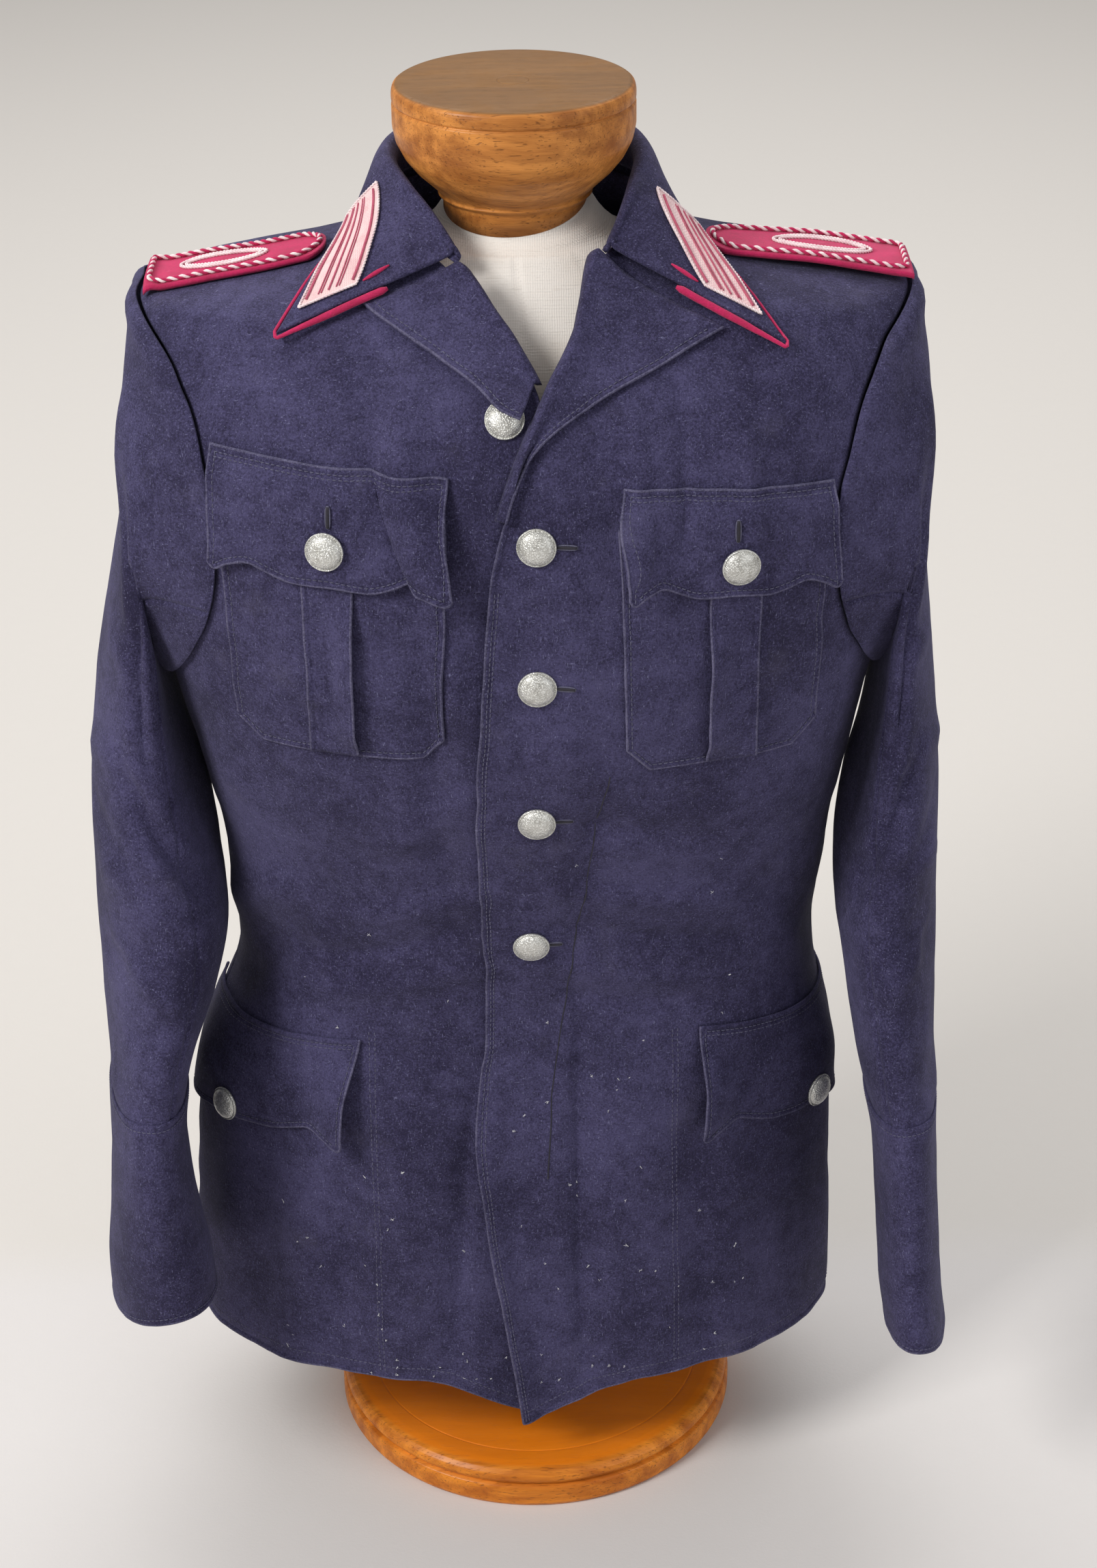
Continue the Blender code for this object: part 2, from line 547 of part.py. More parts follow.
def sleeve_rows(side, turn_deg):
    """Points of every sleeve ring at the given turns: 0 is the top or outside, 90 the front."""
    sign = SIDES[side]
    turn = np.radians(np.asarray(turn_deg, float))
    spread = 1.0 + SLEEVE_HEAD_LAP / ARMHOLE_HALF_HEIGHT
    height = ARMHOLE_HALF_HEIGHT + np.where(np.cos(turn) < 0, SLEEVE_HEAD_LAP, 0.4 * SLEEVE_HEAD_LAP)
    seam = body_point(sign * (90.0 - ARMHOLE_HALF_ANGLE[side] * spread * np.sin(turn)),
                      ARMHOLE_Z + height * np.cos(turn), CLOTH + SLEEVE_HEAD_ROOM)
    rows = [seam]
    for outer_x, outer_z, inner_x, inner_z, middle_y, half_depth, twist_deg in SLEEVE_RINGS[side]:
        twist = math.radians(twist_deg)
        reach = 0.5 * (outer_x - inner_x)
        lean = half_depth * math.sin(twist)
        width = math.sqrt(max(reach**2 - lean**2, (0.45 * reach) ** 2))
        centre = np.array([0.5 * (outer_x + inner_x), middle_y, 0.5 * (outer_z + inner_z)])
        out = np.array([width, -width * math.sin(twist), 0.5 * (outer_z - inner_z)])
        ahead = half_depth * np.array([-math.sin(twist), -math.cos(twist), CUFF_LIFT])
        ring = centre + np.cos(turn)[..., None] * out + np.sin(turn)[..., None] * ahead
        ring[..., 0] *= sign
        rows.append(ring)
    return np.stack(rows, 0)


def sleeve_base(side, turn_deg, ring_number):
    """Point on the sleeve's inside at a turn and a real ring number."""
    shape = np.broadcast(turn_deg, ring_number).shape
    turn_deg = np.broadcast_to(turn_deg, shape).ravel()
    ring_number = np.broadcast_to(ring_number, shape).ravel()
    return smooth_rows(sleeve_rows(side, turn_deg), ring_number, per_point=True).reshape(*shape, 3)


def sleeve_point(side, turn_deg, ring_number, depth):
    """Point at a depth outside the sleeve's inner surface, folds included."""
    turn_deg, ring_number, depth = np.broadcast_arrays(
        np.asarray(turn_deg, float), np.asarray(ring_number, float), np.asarray(depth, float))
    last = len(SLEEVE_RINGS[side])
    ring_number = np.clip(ring_number, 0.011, last - 0.011)
    wrapped = (turn_deg + 180.0) % 360.0 - 180.0
    depth = depth + fold_height(SLEEVE_FOLDS, wrapped, ring_number, math.radians(0.07), 0.055)

    def base(turn, ring):
        return sleeve_base(side, turn, ring)

    sign = SIDES[side]
    return offset_point(base, turn_deg, ring_number, sign * depth, 1.5, 0.01)


UPPER_TURNS = 13
UNDER_TURNS = 8
SLEEVE_ROW_NUMBERS = np.array([0.011, 0.35, 0.8, 1.4, 2.0, 2.7, 3.4, 4.0, 4.5, 5.0, 5.5, 6.0, 6.7, 7.5,
                               8.3, 9.0, 10.0, 11.0, 11.989])
CUFF_ROWS = 4             # the last rows of the sleeve, which the cuff layer covers


def sleeve_piece(side, start, end, count):
    """The inner and outer faces of one sleeve piece, drawn in at both seams, most by the armpit."""
    rings = SLEEVE_ROW_NUMBERS[None, :]
    turns = np.linspace(start, end, count)[:, None] + 0 * rings
    inset = np.degrees(SEAM_GAP / 0.024) * (1 + 3 * np.exp(-(((rings[0] - 1.1) / 0.6) ** 2)))
    turns[0] += inset
    turns[-1] -= inset
    return sleeve_point(side, turns, rings, 0.0), sleeve_point(side, turns, rings, CLOTH)


def cuff_layer(side):
    """The turn-back of a cuff, a tube round the sleeve's end."""
    upper = np.linspace(SLEEVE_SEAMS[0], SLEEVE_SEAMS[1], UPPER_TURNS)[:-1]
    under = np.linspace(SLEEVE_SEAMS[1], SLEEVE_SEAMS[0] + 360.0, UNDER_TURNS)[:-1]
    turns = np.concatenate([upper, under])[:, None]
    rings = SLEEVE_ROW_NUMBERS[None, -CUFF_ROWS:]
    base = CLOTH + LAYER_GAP
    return sleeve_point(side, turns, rings, base), sleeve_point(side, turns, rings, base + POCKET_CLOTH)


def collar_section(side, u):
    """Middle line of the collar's cloth at station u, from the neck seam to the outer edge."""
    angle, height = np.moveaxis(smooth_rows(COLLAR_STATIONS[side][:, :2], u), -1, 0)
    roll_and_edge = smooth_rows(COLLAR_STATIONS[side][:, 2:], u)
    roll, edge = roll_and_edge[..., :3], roll_and_edge[..., 3:]
    seam = body_point(angle, height, 0.5 * CLOTH)
    seam = seam + np.array([0.0, 0.0, 0.5 * COLLAR_CLOTH + 3 * LAYER_GAP])
    last = len(COLLAR_STATIONS[side]) - 1
    radius = (ROLL_RADIUS[0] + (ROLL_RADIUS[1] - ROLL_RADIUS[0]) * smoothstep(u / last - 0.35))[..., None]
    away = edge - seam
    away[..., 2] = 0.0
    away = away / np.linalg.norm(away, axis=-1, keepdims=True)
    up = np.array([0.0, 0.0, 1.0])
    stand_top = roll - away * 0.2 * radius - up * 1.5 * radius
    crest = roll + away * 0.8 * radius
    fall_top = roll + away * 2.0 * radius - up * 1.3 * radius
    stand_middle = 0.5 * (seam + stand_top)
    fall_upper = 0.62 * fall_top + 0.38 * edge + away * 0.0012
    fall_lower = 0.28 * fall_top + 0.72 * edge + away * 0.0010
    return np.stack([seam, stand_middle, stand_top, crest, fall_top, fall_upper, fall_lower, edge], 0)


COLLAR_ROWS = 7           # row number of the collar's outer edge in its section
COLLAR_ALONG = np.array([0.0, 0.6, 1.2, 1.8, 2.4, 3.0, 3.5, 4.0, 4.5, 5.0, 5.5, 5.989])
COLLAR_ACROSS = np.array([0.011, 1.0, 1.8, 2.4, 3.0, 3.5, 4.0, 4.9, 5.9, 6.989])


def collar_base(side, u, v):
    """Point on the middle of the collar's cloth: u along from the back, v across from the seam."""
    shape = np.broadcast(u, v).shape
    u = np.broadcast_to(u, shape).ravel()
    v = np.broadcast_to(v, shape).ravel()
    point = smooth_rows(collar_section(side, np.abs(u)), v, per_point=True)
    point[:, 0] *= SIDES[side] * np.where(u < 0, -1.0, 1.0)
    return point.reshape(*shape, 3)


def collar_point(side, u, v, depth):
    """Point at a depth outside the middle of the collar's cloth."""
    u, v, depth = np.broadcast_arrays(np.asarray(u, float), np.asarray(v, float), np.asarray(depth, float))
    last = len(COLLAR_STATIONS[side]) - 1
    u = np.minimum(u, last - 0.011)
    v = np.clip(v, 0.011, COLLAR_ROWS - 0.011)

    def base(a, b):
        return collar_base(side, a, b)

    return offset_point(base, u, v, SIDES[side] * depth, 0.01, 0.01)


def collar_wall():
    """The collar's two faces, from the right front edge round the neck to the left one."""
    along = COLLAR_ALONG
    across = COLLAR_ACROSS[None, :]
    faces = []
    for depth in (-0.5 * COLLAR_CLOTH, 0.5 * COLLAR_CLOTH):
        right = collar_point("right", along[::-1, None], across, depth)
        left = collar_point("left", along[1:, None], across, depth)
        right[-1, :, 0] = 0.0
        faces.append(np.concatenate([right, left]))
    return faces


def move_out(points, inner, distance):
    """An edge moved away from points further in, square to its own run."""
    run = np.gradient(points, axis=0)
    run = run / np.linalg.norm(run, axis=-1, keepdims=True)
    out = points - inner
    out = out - run * np.sum(out * run, axis=-1, keepdims=True)
    return points + distance * out / np.linalg.norm(out, axis=-1, keepdims=True)


def collar_edge_path():
    """Points just outside the collar's outer and front edges, with the piping's radius at each."""
    halves = []
    for side in SIDES:
        last = len(COLLAR_STATIONS[side]) - 1
        v_front = COLLAR_ACROSS[7:]
        front = collar_point(side, last - 0.011, v_front, 0.0)
        front = move_out(front, collar_point(side, last - 0.10, v_front, 0.0), PIPING_RADIUS[1] + PIPING_GAP)
        u_edge = COLLAR_ALONG[::-1]
        edge = collar_point(side, u_edge, COLLAR_ROWS - 0.011, 0.0)
        edge = move_out(edge, collar_point(side, u_edge, COLLAR_ROWS - 0.10, 0.0), PIPING_RADIUS[0] + PIPING_GAP)
        tip = collar_point(side, last - 0.011, COLLAR_ROWS - 0.011, 0.0)
        corner = tip + 1.1 * (front[-1] + edge[0] - 2 * tip)
        path = np.concatenate([front, corner[None], edge])
        thick = np.full(len(path), PIPING_RADIUS[0])
        thick[:len(front) + 1] = np.append(np.full(len(front), PIPING_RADIUS[1]), 0.0014)
        halves.append((path, thick))
    (right, right_thick), (left, left_thick) = halves
    return np.concatenate([right, left[-2::-1]]), np.concatenate([right_thick, left_thick[-2::-1]])


def collar_patch(side, rows=5, columns=8):
    """A parallelogram patch that lies on the collar's fall."""
    last = len(COLLAR_STATIONS[side]) - 1
    across = np.linspace(0.0, 1.0, rows)[:, None]
    along = np.linspace(0.0, 1.0, columns)[None, :]
    inner_v = 5.38 - 1.0 * along
    v = inner_v + (6.58 - inner_v) * across
    u = last - 0.32 - 0.08 * across - along * PATCH_LENGTH[side]
    base = 0.5 * COLLAR_CLOTH + LAYER_GAP
    return collar_point(side, u, v, base), collar_point(side, u, v, base + 0.0011)


def lapel_faces(side, rows=13):
    """A lapel: from its free edge to the fold over the front's own edge."""
    sign = SIDES[side]
    edge = LAPEL_EDGES[side]
    along = np.linspace(0.0, 1.0, rows)
    edge_rows = smooth_rows(edge, along * (len(edge) - 1))
    edge_z, edge_angle = edge_rows[:, 0], edge_rows[:, 1]
    start_z, end_z = LAPEL_FOLDS[side]
    fold_z = start_z + (end_z - start_z) * along
    fold_angle = hermite(FRONT_EDGES[side], fold_z)[..., 0]
    across = np.array([0.0, 0.14, 0.34, 0.56, 0.76, 0.90, 1.0])[:, None]
    angle = edge_angle[None] + across * (fold_angle - edge_angle)[None]
    height = edge_z[None] + across * (fold_z - edge_z)[None]
    lift = LAPEL_LIFT[side] * (1 - smoothstep(across / 0.8)) * (1 - smoothstep(along / 0.75))[None]
    roll = LAPEL_ROLL * smoothstep((across - 0.45) / 0.55) * smoothstep(along / 0.25)[None]
    base = front_depth(side, angle, height) + LAYER_GAP + lift + roll
    inner = body_point(angle, height, base)
    outer = body_point(angle, height, base + COLLAR_CLOTH)
    # The fold: one more column that comes down in front of the front's edge
    beyond = fold_angle - sign * np.degrees(0.0032 / 0.11)
    tip_depth = np.maximum(front_depth(side, fold_angle, fold_z) - 0.5 * CLOTH, 0.0008)
    inner_tip = body_point(beyond + sign * np.degrees(0.0016 / 0.11), fold_z, tip_depth)
    outer_tip = body_point(beyond - sign * np.degrees(0.0012 / 0.11), fold_z, tip_depth)
    inner = np.concatenate([inner, inner_tip[None]])
    outer = np.concatenate([outer, outer_tip[None]])
    return inner, outer


def scallop(place):
    """Height of a flap's lower edge above its end points; place runs from -1 to 1."""
    return hermite(np.array(FLAP_SCALLOP), np.abs(place))[..., 0]


def chest_pocket(side, columns=8, rows=9):
    """The patch of a chest pocket, with its lower corners cut off."""
    size = CHEST_POCKETS[side]
    place = np.linspace(-1.0, 1.0, columns)[:, None]
    share = np.linspace(0.0, 1.0, rows)[None, :]
    middle = 0.5 * (size["outer_x"] + size["inner_x"])
    half = 0.5 * (size["inner_x"] - size["outer_x"])
    corner = size["chamfer"] * smoothstep((np.abs(place) - 0.76) / 0.24)
    bottom = size["bottom_z"] + corner
    height = bottom + (size["top_z"] - bottom) * share
    narrowing = 1 - size["narrowing"] / abs(half) * (1 - share)
    x = middle + half * place * narrowing
    angle = angle_at_x(x, height)
    base = front_depth(side, angle, height) + LAYER_GAP
    return body_point(angle, height, base), body_point(angle, height, base + POCKET_CLOTH)


def pocket_pleat(side, rows=7):
    """The raised centre pleat of a chest pocket."""
    size = CHEST_POCKETS[side]
    middle = 0.5 * (size["outer_x"] + size["inner_x"])
    place = np.array([-1.0, 0.0, 1.0])[:, None]
    share = np.linspace(0.0, 1.0, rows)[None, :]
    height = size["bottom_z"] + 0.0015 + (size["top_z"] - 0.008 - size["bottom_z"]) * share + 0 * place
    angle = angle_at_x(middle + PLEAT_HALF_WIDTH * place + 0 * share, height)
    base = front_depth(side, angle, height) + 2 * LAYER_GAP + POCKET_CLOTH
    return body_point(angle, height, base), body_point(angle, height, base + POCKET_CLOTH)


def chest_flap(side, columns=13, rows=6):
    """The flap of a chest pocket, sewn down along its top edge."""
    size = CHEST_FLAPS[side]
    place = np.linspace(-1.0, 1.0, columns)[:, None]
    share = np.linspace(0.0, 1.0, rows)[None, :]
    x_share = 0.5 * (1 + place)
    top = size["outer_z"] + (size["inner_z"] - size["outer_z"]) * x_share
    bottom = top - size["drop"] + scallop(place)
    height = top + (bottom - top) * share
    x = size["outer_x"] + (size["inner_x"] - size["outer_x"]) * x_share + 0 * share
    angle = angle_at_x(x, height)
    under = 2 * POCKET_CLOTH + 2.4 * LAYER_GAP
    base = front_depth(side, angle, height) + LAYER_GAP + under * smoothstep(share / 0.28)
    return body_point(angle, height, base), body_point(angle, height, base + POCKET_CLOTH)


def lower_flap(side, columns=12, rows=6):
    """The flap of a lower pocket, which is let into the skirt, so only its top edge is held."""
    size = LOWER_FLAPS[side]
    share_across = np.linspace(0.0, 1.0, columns)[:, None]
    share = np.linspace(0.0, 1.0, rows)[None, :]
    top = size["front_z"] + (size["back_z"] - size["front_z"]) * share_across
    bottom = top - size["drop"] + scallop(2 * share_across - 1)
    height = top + (bottom - top) * share
    angle = size["front_angle"] + (size["back_angle"] - size["front_angle"]) * share_across + 0 * share
    base = CLOTH + LAYER_GAP + 0.0002 + LOWER_FLAP_LIFT * smoothstep(share)
    return body_point(angle, height, base), body_point(angle, height, base + POCKET_CLOTH)


def shoulder_height(x, y, depth):
    """Height of a point a depth above the shoulder's cloth, by halving the span of heights."""
    low = np.full(np.broadcast(x, y).shape, 0.790)
    high = np.full(low.shape, 0.895)
    for _ in range(28):
        z = 0.5 * (low + high)
        half_width, front, back, shift = np.moveaxis(hermite(BODY_SECTIONS, z), -1, 0)
        inside = np.hypot(x - shift, y) < section_radius(np.arctan2(x - shift, -y), half_width, front, back)
        low = np.where(inside, z, low)
        high = np.where(inside, high, z)
    return low + depth * 1.02


def board_outline(side, x_share, y_share):
    """Plan position on a shoulder board; its outer end is cut straight and its neck end is round."""
    size = SHOULDER_BOARDS[side]
    half = size["half_width"] * (1 - 0.16 * smoothstep((x_share - 0.2) / 0.8))
    neck_round = 0.013 * (1 - np.sqrt(1 - (0.96 * y_share) ** 2)) * smoothstep((x_share - 0.75) / 0.25)
    x = size["outer_x"] + (size["inner_x"] - size["outer_x"]) * x_share + neck_round
    return x, size["middle_y"] + half * y_share


def board_point(side, x_share, y_share, depth):
    """Point on a shoulder board, depth above its under face; x_share runs from sleeve to neck."""
    x, y = np.broadcast_arrays(*board_outline(side, x_share, y_share))
    beyond = np.maximum(x - BOARD_BEND_X, 0.0)
    lift = CLOTH + 2 * LAYER_GAP + 0.0032 * smoothstep((0.12 - x_share) / 0.12)
    lift = lift + SHOULDER_BOARDS[side]["rise"] * smoothstep((1 - x_share) / 0.55)
    z = shoulder_height(SIDES[side] * (x - beyond), y, lift + depth) - 0.45 * beyond
    return np.stack([SIDES[side] * x, y, z], -1)


def shoulder_board(side, columns=9, rows=5):
    """A stiff board that lies along the shoulder seam."""
    x_share = np.linspace(0.0, 1.0, columns)[:, None]
    y_share = np.linspace(-1.0, 1.0, rows)[None, :]
    return [board_point(side, x_share, y_share, depth) for depth in (0.0, BOARD_THICKNESS)]


def board_cord(side, per_side=9):
    """Path of the cord that lies on the board along its edge."""
    inset = 0.86
    ends = np.linspace(0.05, 0.95, per_side)
    corners = [(x, -inset) for x in ends]
    corners += [(0.965, y) for y in np.linspace(-0.6, 0.6, 4)]
    corners += [(x, inset) for x in ends[::-1]]
    corners += [(0.035, y) for y in np.linspace(0.6, -0.6, 4)]
    x_share, y_share = np.array(corners).T
    return board_point(side, x_share, y_share, BOARD_THICKNESS + BOARD_CORD_RADIUS + LAYER_GAP)


def button_profile(radius, dome):
    """A domed button with a narrow rim and a flat back: radius and height, from the top down."""
    return [(0.0, dome), (0.45 * radius, 0.93 * dome), (0.80 * radius, 0.66 * dome), (radius, 0.22 * dome),
            (0.97 * radius, 0.0), (0.0, 0.0)]


def button_at(name, angle_deg, z, depth, material, collection, radius=BUTTON_RADIUS, tip=0.0):
    """Seat a turned button on the cloth, facing out along the cloth's normal."""
    obj = turned(name, button_profile(radius, BUTTON_DOME * radius / BUTTON_RADIUS), 12, material, collection)
    point = body_point(angle_deg, z, depth)
    further = body_point(angle_deg, z, depth + 0.01)
    normal = Vector(further - point).normalized()
    if tip:
        normal = (normal + Vector((0.0, 0.0, tip))).normalized()
    obj.location = Vector(point)
    obj.rotation_euler = normal.to_track_quat("Z", "Y").to_euler()
    return obj


def torso_rings(count=24):
    """Rings of the torso up to the tilted cut of its neck."""
    angle = np.linspace(0, 2 * math.pi, count, endpoint=False)
    heights = [TORSO_BOTTOM, 0.165, 0.230, 0.310, 0.390, 0.455, 0.520, 0.590, 0.655, 0.715, 0.765,
               0.800, 0.822, 0.836, *SHOULDER_SEAT_Z, 0.858, 0.866]
    rings = []
    for z in heights:
        half_width, front, back = hermite(TORSO_SECTIONS, z)
        tunic_half_width, _, _, shift = hermite(BODY_SECTIONS, z)
        if z in SHOULDER_SEAT_Z:
            half_width = tunic_half_width - SHOULDER_TOUCH
        radius = section_radius(angle, half_width, front, back)
        rings.append(np.stack([shift + radius * np.sin(angle), -radius * np.cos(angle), np.full(count, z)], -1))
    # The neck's rings lean over to the tilted cut step by step
    for lean, z in ((0.5, 0.873), (0.8, 0.880), (1.0, NECK_CUT_Z - 0.5 * SEAM_GAP)):
        half_width, front, back = hermite(TORSO_SECTIONS, z) if lean < 1 else [NECK_RADIUS] * 3
        radius = section_radius(angle, half_width, front, back) if lean < 1 else NECK_RADIUS
        x, y = radius * np.sin(angle), -radius * np.cos(angle)
        rings.append(np.stack([x, y, z + lean * (neck_cut(x, y) - NECK_CUT_Z)], -1))
    return rings


def neck_cut(x, y):
    """Height of the tilted cut between the torso's neck and the wooden cap."""
    return NECK_CUT_Z + math.tan(math.radians(NECK_CUT_TILT)) * y + math.tan(math.radians(NECK_CUT_ROLL)) * x


def neck_cap(material, collection):
    """The turned wooden block on the neck, cut off below by the tilted plane."""
    profile = [
        (0.0, CAP_TOP), (CAP_RADIUS - 0.0035, CAP_TOP), (CAP_RADIUS - 0.0008, CAP_TOP - 0.0016),
        (CAP_RADIUS, CAP_TOP - 0.0050), (CAP_RADIUS, 0.9462), (CAP_RADIUS - 0.0014, 0.9450),
        (CAP_RADIUS, 0.9438), (CAP_RADIUS, 0.9310), (0.0693, 0.9225), (0.0645, 0.9130), (0.0580, 0.9050),
        (0.0510, 0.8985), (0.0462, 0.8940), (0.0450, 0.8920), (0.0456, 0.8905), (NECK_RADIUS, 0.8880),
        (NECK_RADIUS, 0.8600), (0.0, 0.8600),
    ]
    obj = turned("form_neck_cap", profile, 32, material, collection)
    depsgraph = bpy.context.evaluated_depsgraph_get()
    mesh = bpy.data.meshes.new_from_object(obj.evaluated_get(depsgraph))
    bpy.data.objects.remove(obj)
    bm = bmesh.new()
    bm.from_mesh(mesh)
    bmesh.ops.remove_doubles(bm, verts=bm.verts, dist=0.00001)
    point = Vector((0.0, 0.0, NECK_CUT_Z + 0.5 * SEAM_GAP))
    normal = Vector((-math.tan(math.radians(NECK_CUT_ROLL)), -math.tan(math.radians(NECK_CUT_TILT)), 1.0))
    cut = bmesh.ops.bisect_plane(bm, geom=bm.verts[:] + bm.edges[:] + bm.faces[:], dist=0.000001,
                                 plane_co=point, plane_no=normal.normalized(), clear_inner=True)
    rim = [item for item in cut["geom_cut"] if isinstance(item, bmesh.types.BMEdge)]
    bmesh.ops.holes_fill(bm, edges=rim)
    mesh.materials.clear()
    cap = mesh_from_bmesh("form_neck_cap", bm)
    return add_object("form_neck_cap", cap, material, collection)


def base_profile():
    """The turned base: a plain side, a groove, a bead rim and a flat top."""
    r, top = BASE_RADIUS, BASE_TOP
    return [(0.0, top), (r - 0.0130, top), (r - 0.0095, top - 0.0006), (r - 0.0055, top - 0.0018),
            (r - 0.0020, top - 0.0050), (r - 0.0012, top - 0.0085), (r - 0.0030, top - 0.0118),
            (r - 0.0042, top - 0.0126), (r - 0.0010, top - 0.0140), (r, top - 0.0165), (r, 0.0030),
            (r - 0.0016, 0.0), (0.0, 0.0)]


def build_form(collection):
    """The dress form: base, post, torso and neck cap."""
    wood = make_material("varnished_wood", (0.42, 0.16, 0.035), 0.30)
    linen = make_material("white_linen", (0.72, 0.68, 0.62), 0.85)
    steel = make_material("painted_post", (0.30, 0.28, 0.26), 0.45, 0.6)
    turned("form_base", base_profile(), 36, wood, collection)
    gap = SEAM_GAP
    turned("form_post", [(0.0, TORSO_BOTTOM - gap), (POST_RADIUS, TORSO_BOTTOM - gap),
                         (POST_RADIUS, BASE_TOP + gap), (0.0, BASE_TOP + gap)], 16, steel, collection)
    add_object("form_torso", loft_solid("form_torso", torso_rings()), linen, collection)
    neck_cap(wood, collection)


def build_body(wool, collection):
    """Fronts, backs, sleeves, cuffs, lapels and collar."""
    for side in SIDES:
        pieces = {
            "front": front_panel(side),
            "back": back_panel(side),
            "lapel": lapel_faces(side),
            "sleeve_upper": sleeve_piece(side, SLEEVE_SEAMS[0], SLEEVE_SEAMS[1], UPPER_TURNS),
            "sleeve_under": sleeve_piece(side, SLEEVE_SEAMS[1], SLEEVE_SEAMS[0] + 360.0, UNDER_TURNS),
        }
        for kind, (inner, outer) in pieces.items():
            name = f"{kind}_{side}"
            add_object(name, loft_wall(name, inner, outer), wool, collection)
        name = f"cuff_{side}"
        add_object(name, loft_wall(name, *cuff_layer(side), closed=True), wool, collection)
    add_object("collar", loft_wall("collar", *collar_wall()), wool, collection)


def build_pockets(wool, collection):
    """Chest pockets with their pleats and flaps, and the lower flaps."""
    makers = {"chest_pocket": chest_pocket, "pocket_pleat": pocket_pleat, "chest_flap": chest_flap,
              "lower_flap": lower_flap}
    for side in SIDES:
        for kind, maker in makers.items():
            name = f"{kind}_{side}"
            add_object(name, loft_wall(name, *maker(side)), wool, collection)


def build_trimming(collection):
    """Piping, collar patches, shoulder boards and their cords."""
    felt = make_material("magenta_felt", (0.42, 0.012, 0.10), 0.8)
    braid = make_material("pale_braid", (0.80, 0.55, 0.56), 0.6)
    cord = make_material("twisted_cord", (0.70, 0.42, 0.48), 0.5)
    points, radii = collar_edge_path()
    add_object("collar_piping", tube_along("collar_piping", points, radii), felt, collection)
    for side in SIDES:
        name = f"collar_patch_{side}"
        add_object(name, loft_wall(name, *collar_patch(side)), braid, collection)
        name = f"shoulder_board_{side}"
        add_object(name, loft_wall(name, *shoulder_board(side)), felt, collection)
        name = f"board_cord_{side}"
        mesh = tube_along(name, board_cord(side), BOARD_CORD_RADIUS, closed=True)
        add_object(name, mesh, cord, collection)


def build_buttons(collection):
    """Domed metal buttons of the front and of the four pocket flaps."""
    metal = make_material("silver_metal", (0.70, 0.70, 0.68), 0.30, 1.0)
    seat = SEAM_GAP
    for number, (height, angle) in enumerate(FRONT_BUTTONS, start=1):
        side = "right" if number == 1 else "left"
        depth = float(front_depth(side, angle, height)) + seat
        button_at(f"front_button_{number}", angle, height, depth, metal, collection)
    for side in SIDES:
        flap = CHEST_FLAPS[side]
        x = 0.5 * (flap["outer_x"] + flap["inner_x"]) + flap["button_shift"]
        z = 0.5 * (flap["outer_z"] + flap["inner_z"]) - 0.65 * flap["drop"]
        angle = float(angle_at_x(x, z))
        stack = 3 * POCKET_CLOTH + 3.4 * LAYER_GAP
        depth = float(front_depth(side, angle, z)) + stack + seat
        button_at(f"chest_button_{side}", angle, z, depth, metal, collection)
        flap = LOWER_FLAPS[side]
        angle, z = flap["button_angle"], flap["button_z"]
        depth = CLOTH + LAYER_GAP + POCKET_CLOTH + LOWER_FLAP_LIFT + seat
        button_at(f"lower_button_{side}", angle, z, depth, metal, collection)


def main():
    """Build every piece in one collection named for the object."""
    clean_scene()
    collection = bpy.data.collections.new(PART_NAME)
    bpy.context.scene.collection.children.link(collection)
    wool = make_material("navy_wool_twill", (0.028, 0.026, 0.055), 0.85)
    build_form(collection)
    build_body(wool, collection)
    build_pockets(wool, collection)
    build_trimming(collection)
    build_buttons(collection)


main()
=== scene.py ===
"""A police tunic on its limbless dress form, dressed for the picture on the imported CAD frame.

Metres, +Z up, the tunic's front faces -Y, and "left" and "right" are the wearer's (left is +X).
Every cloth piece is read from one of four smooth surfaces (body, sleeve, collar, shoulder board)
at a depth above it, so that layers follow each other over every fold.
"""

import logging
import math
from collections.abc import Callable, Sequence
from dataclasses import dataclass, field
from enum import Enum
from functools import partial

import bmesh
import bpy
import numpy as np
from mathutils import Matrix, Vector


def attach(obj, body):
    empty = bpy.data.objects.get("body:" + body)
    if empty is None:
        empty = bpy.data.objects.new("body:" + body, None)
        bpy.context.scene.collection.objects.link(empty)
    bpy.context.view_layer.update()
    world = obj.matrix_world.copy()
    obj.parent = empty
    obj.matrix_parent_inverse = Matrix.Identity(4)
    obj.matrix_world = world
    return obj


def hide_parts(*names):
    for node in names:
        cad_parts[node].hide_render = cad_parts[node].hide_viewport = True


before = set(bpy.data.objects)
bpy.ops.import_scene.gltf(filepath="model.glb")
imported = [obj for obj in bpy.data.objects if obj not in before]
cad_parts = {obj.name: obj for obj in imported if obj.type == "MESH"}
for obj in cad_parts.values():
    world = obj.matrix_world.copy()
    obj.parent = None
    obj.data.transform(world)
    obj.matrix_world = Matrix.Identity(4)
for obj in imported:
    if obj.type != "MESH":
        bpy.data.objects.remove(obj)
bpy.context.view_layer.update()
LOG = logging.getLogger("tunic")

Array = np.ndarray
Place = Callable[[Array, Array, Array], Array]

CLOTH = 0.0022
POCKET_CLOTH = 0.0016
COLLAR_CLOTH = 0.003
LAYER_GAP = 0.0007
END_GAP = 0.011
MEASURES = np.linspace(0, 1, 33)
HEM_STITCH = 0.0125
EDGE_STITCH = 0.0042
INNER_STITCH = 0.0068
HEM_Z = 0.097
NECK_Z = 0.883


class Side(Enum):
    """The wearer's two sides, each with its sign along X."""

    RIGHT = -1.0
    LEFT = 1.0

    @property
    def word(self) -> str:
        """The side's name as the frame's nodes spell it."""
        return self.name.lower()


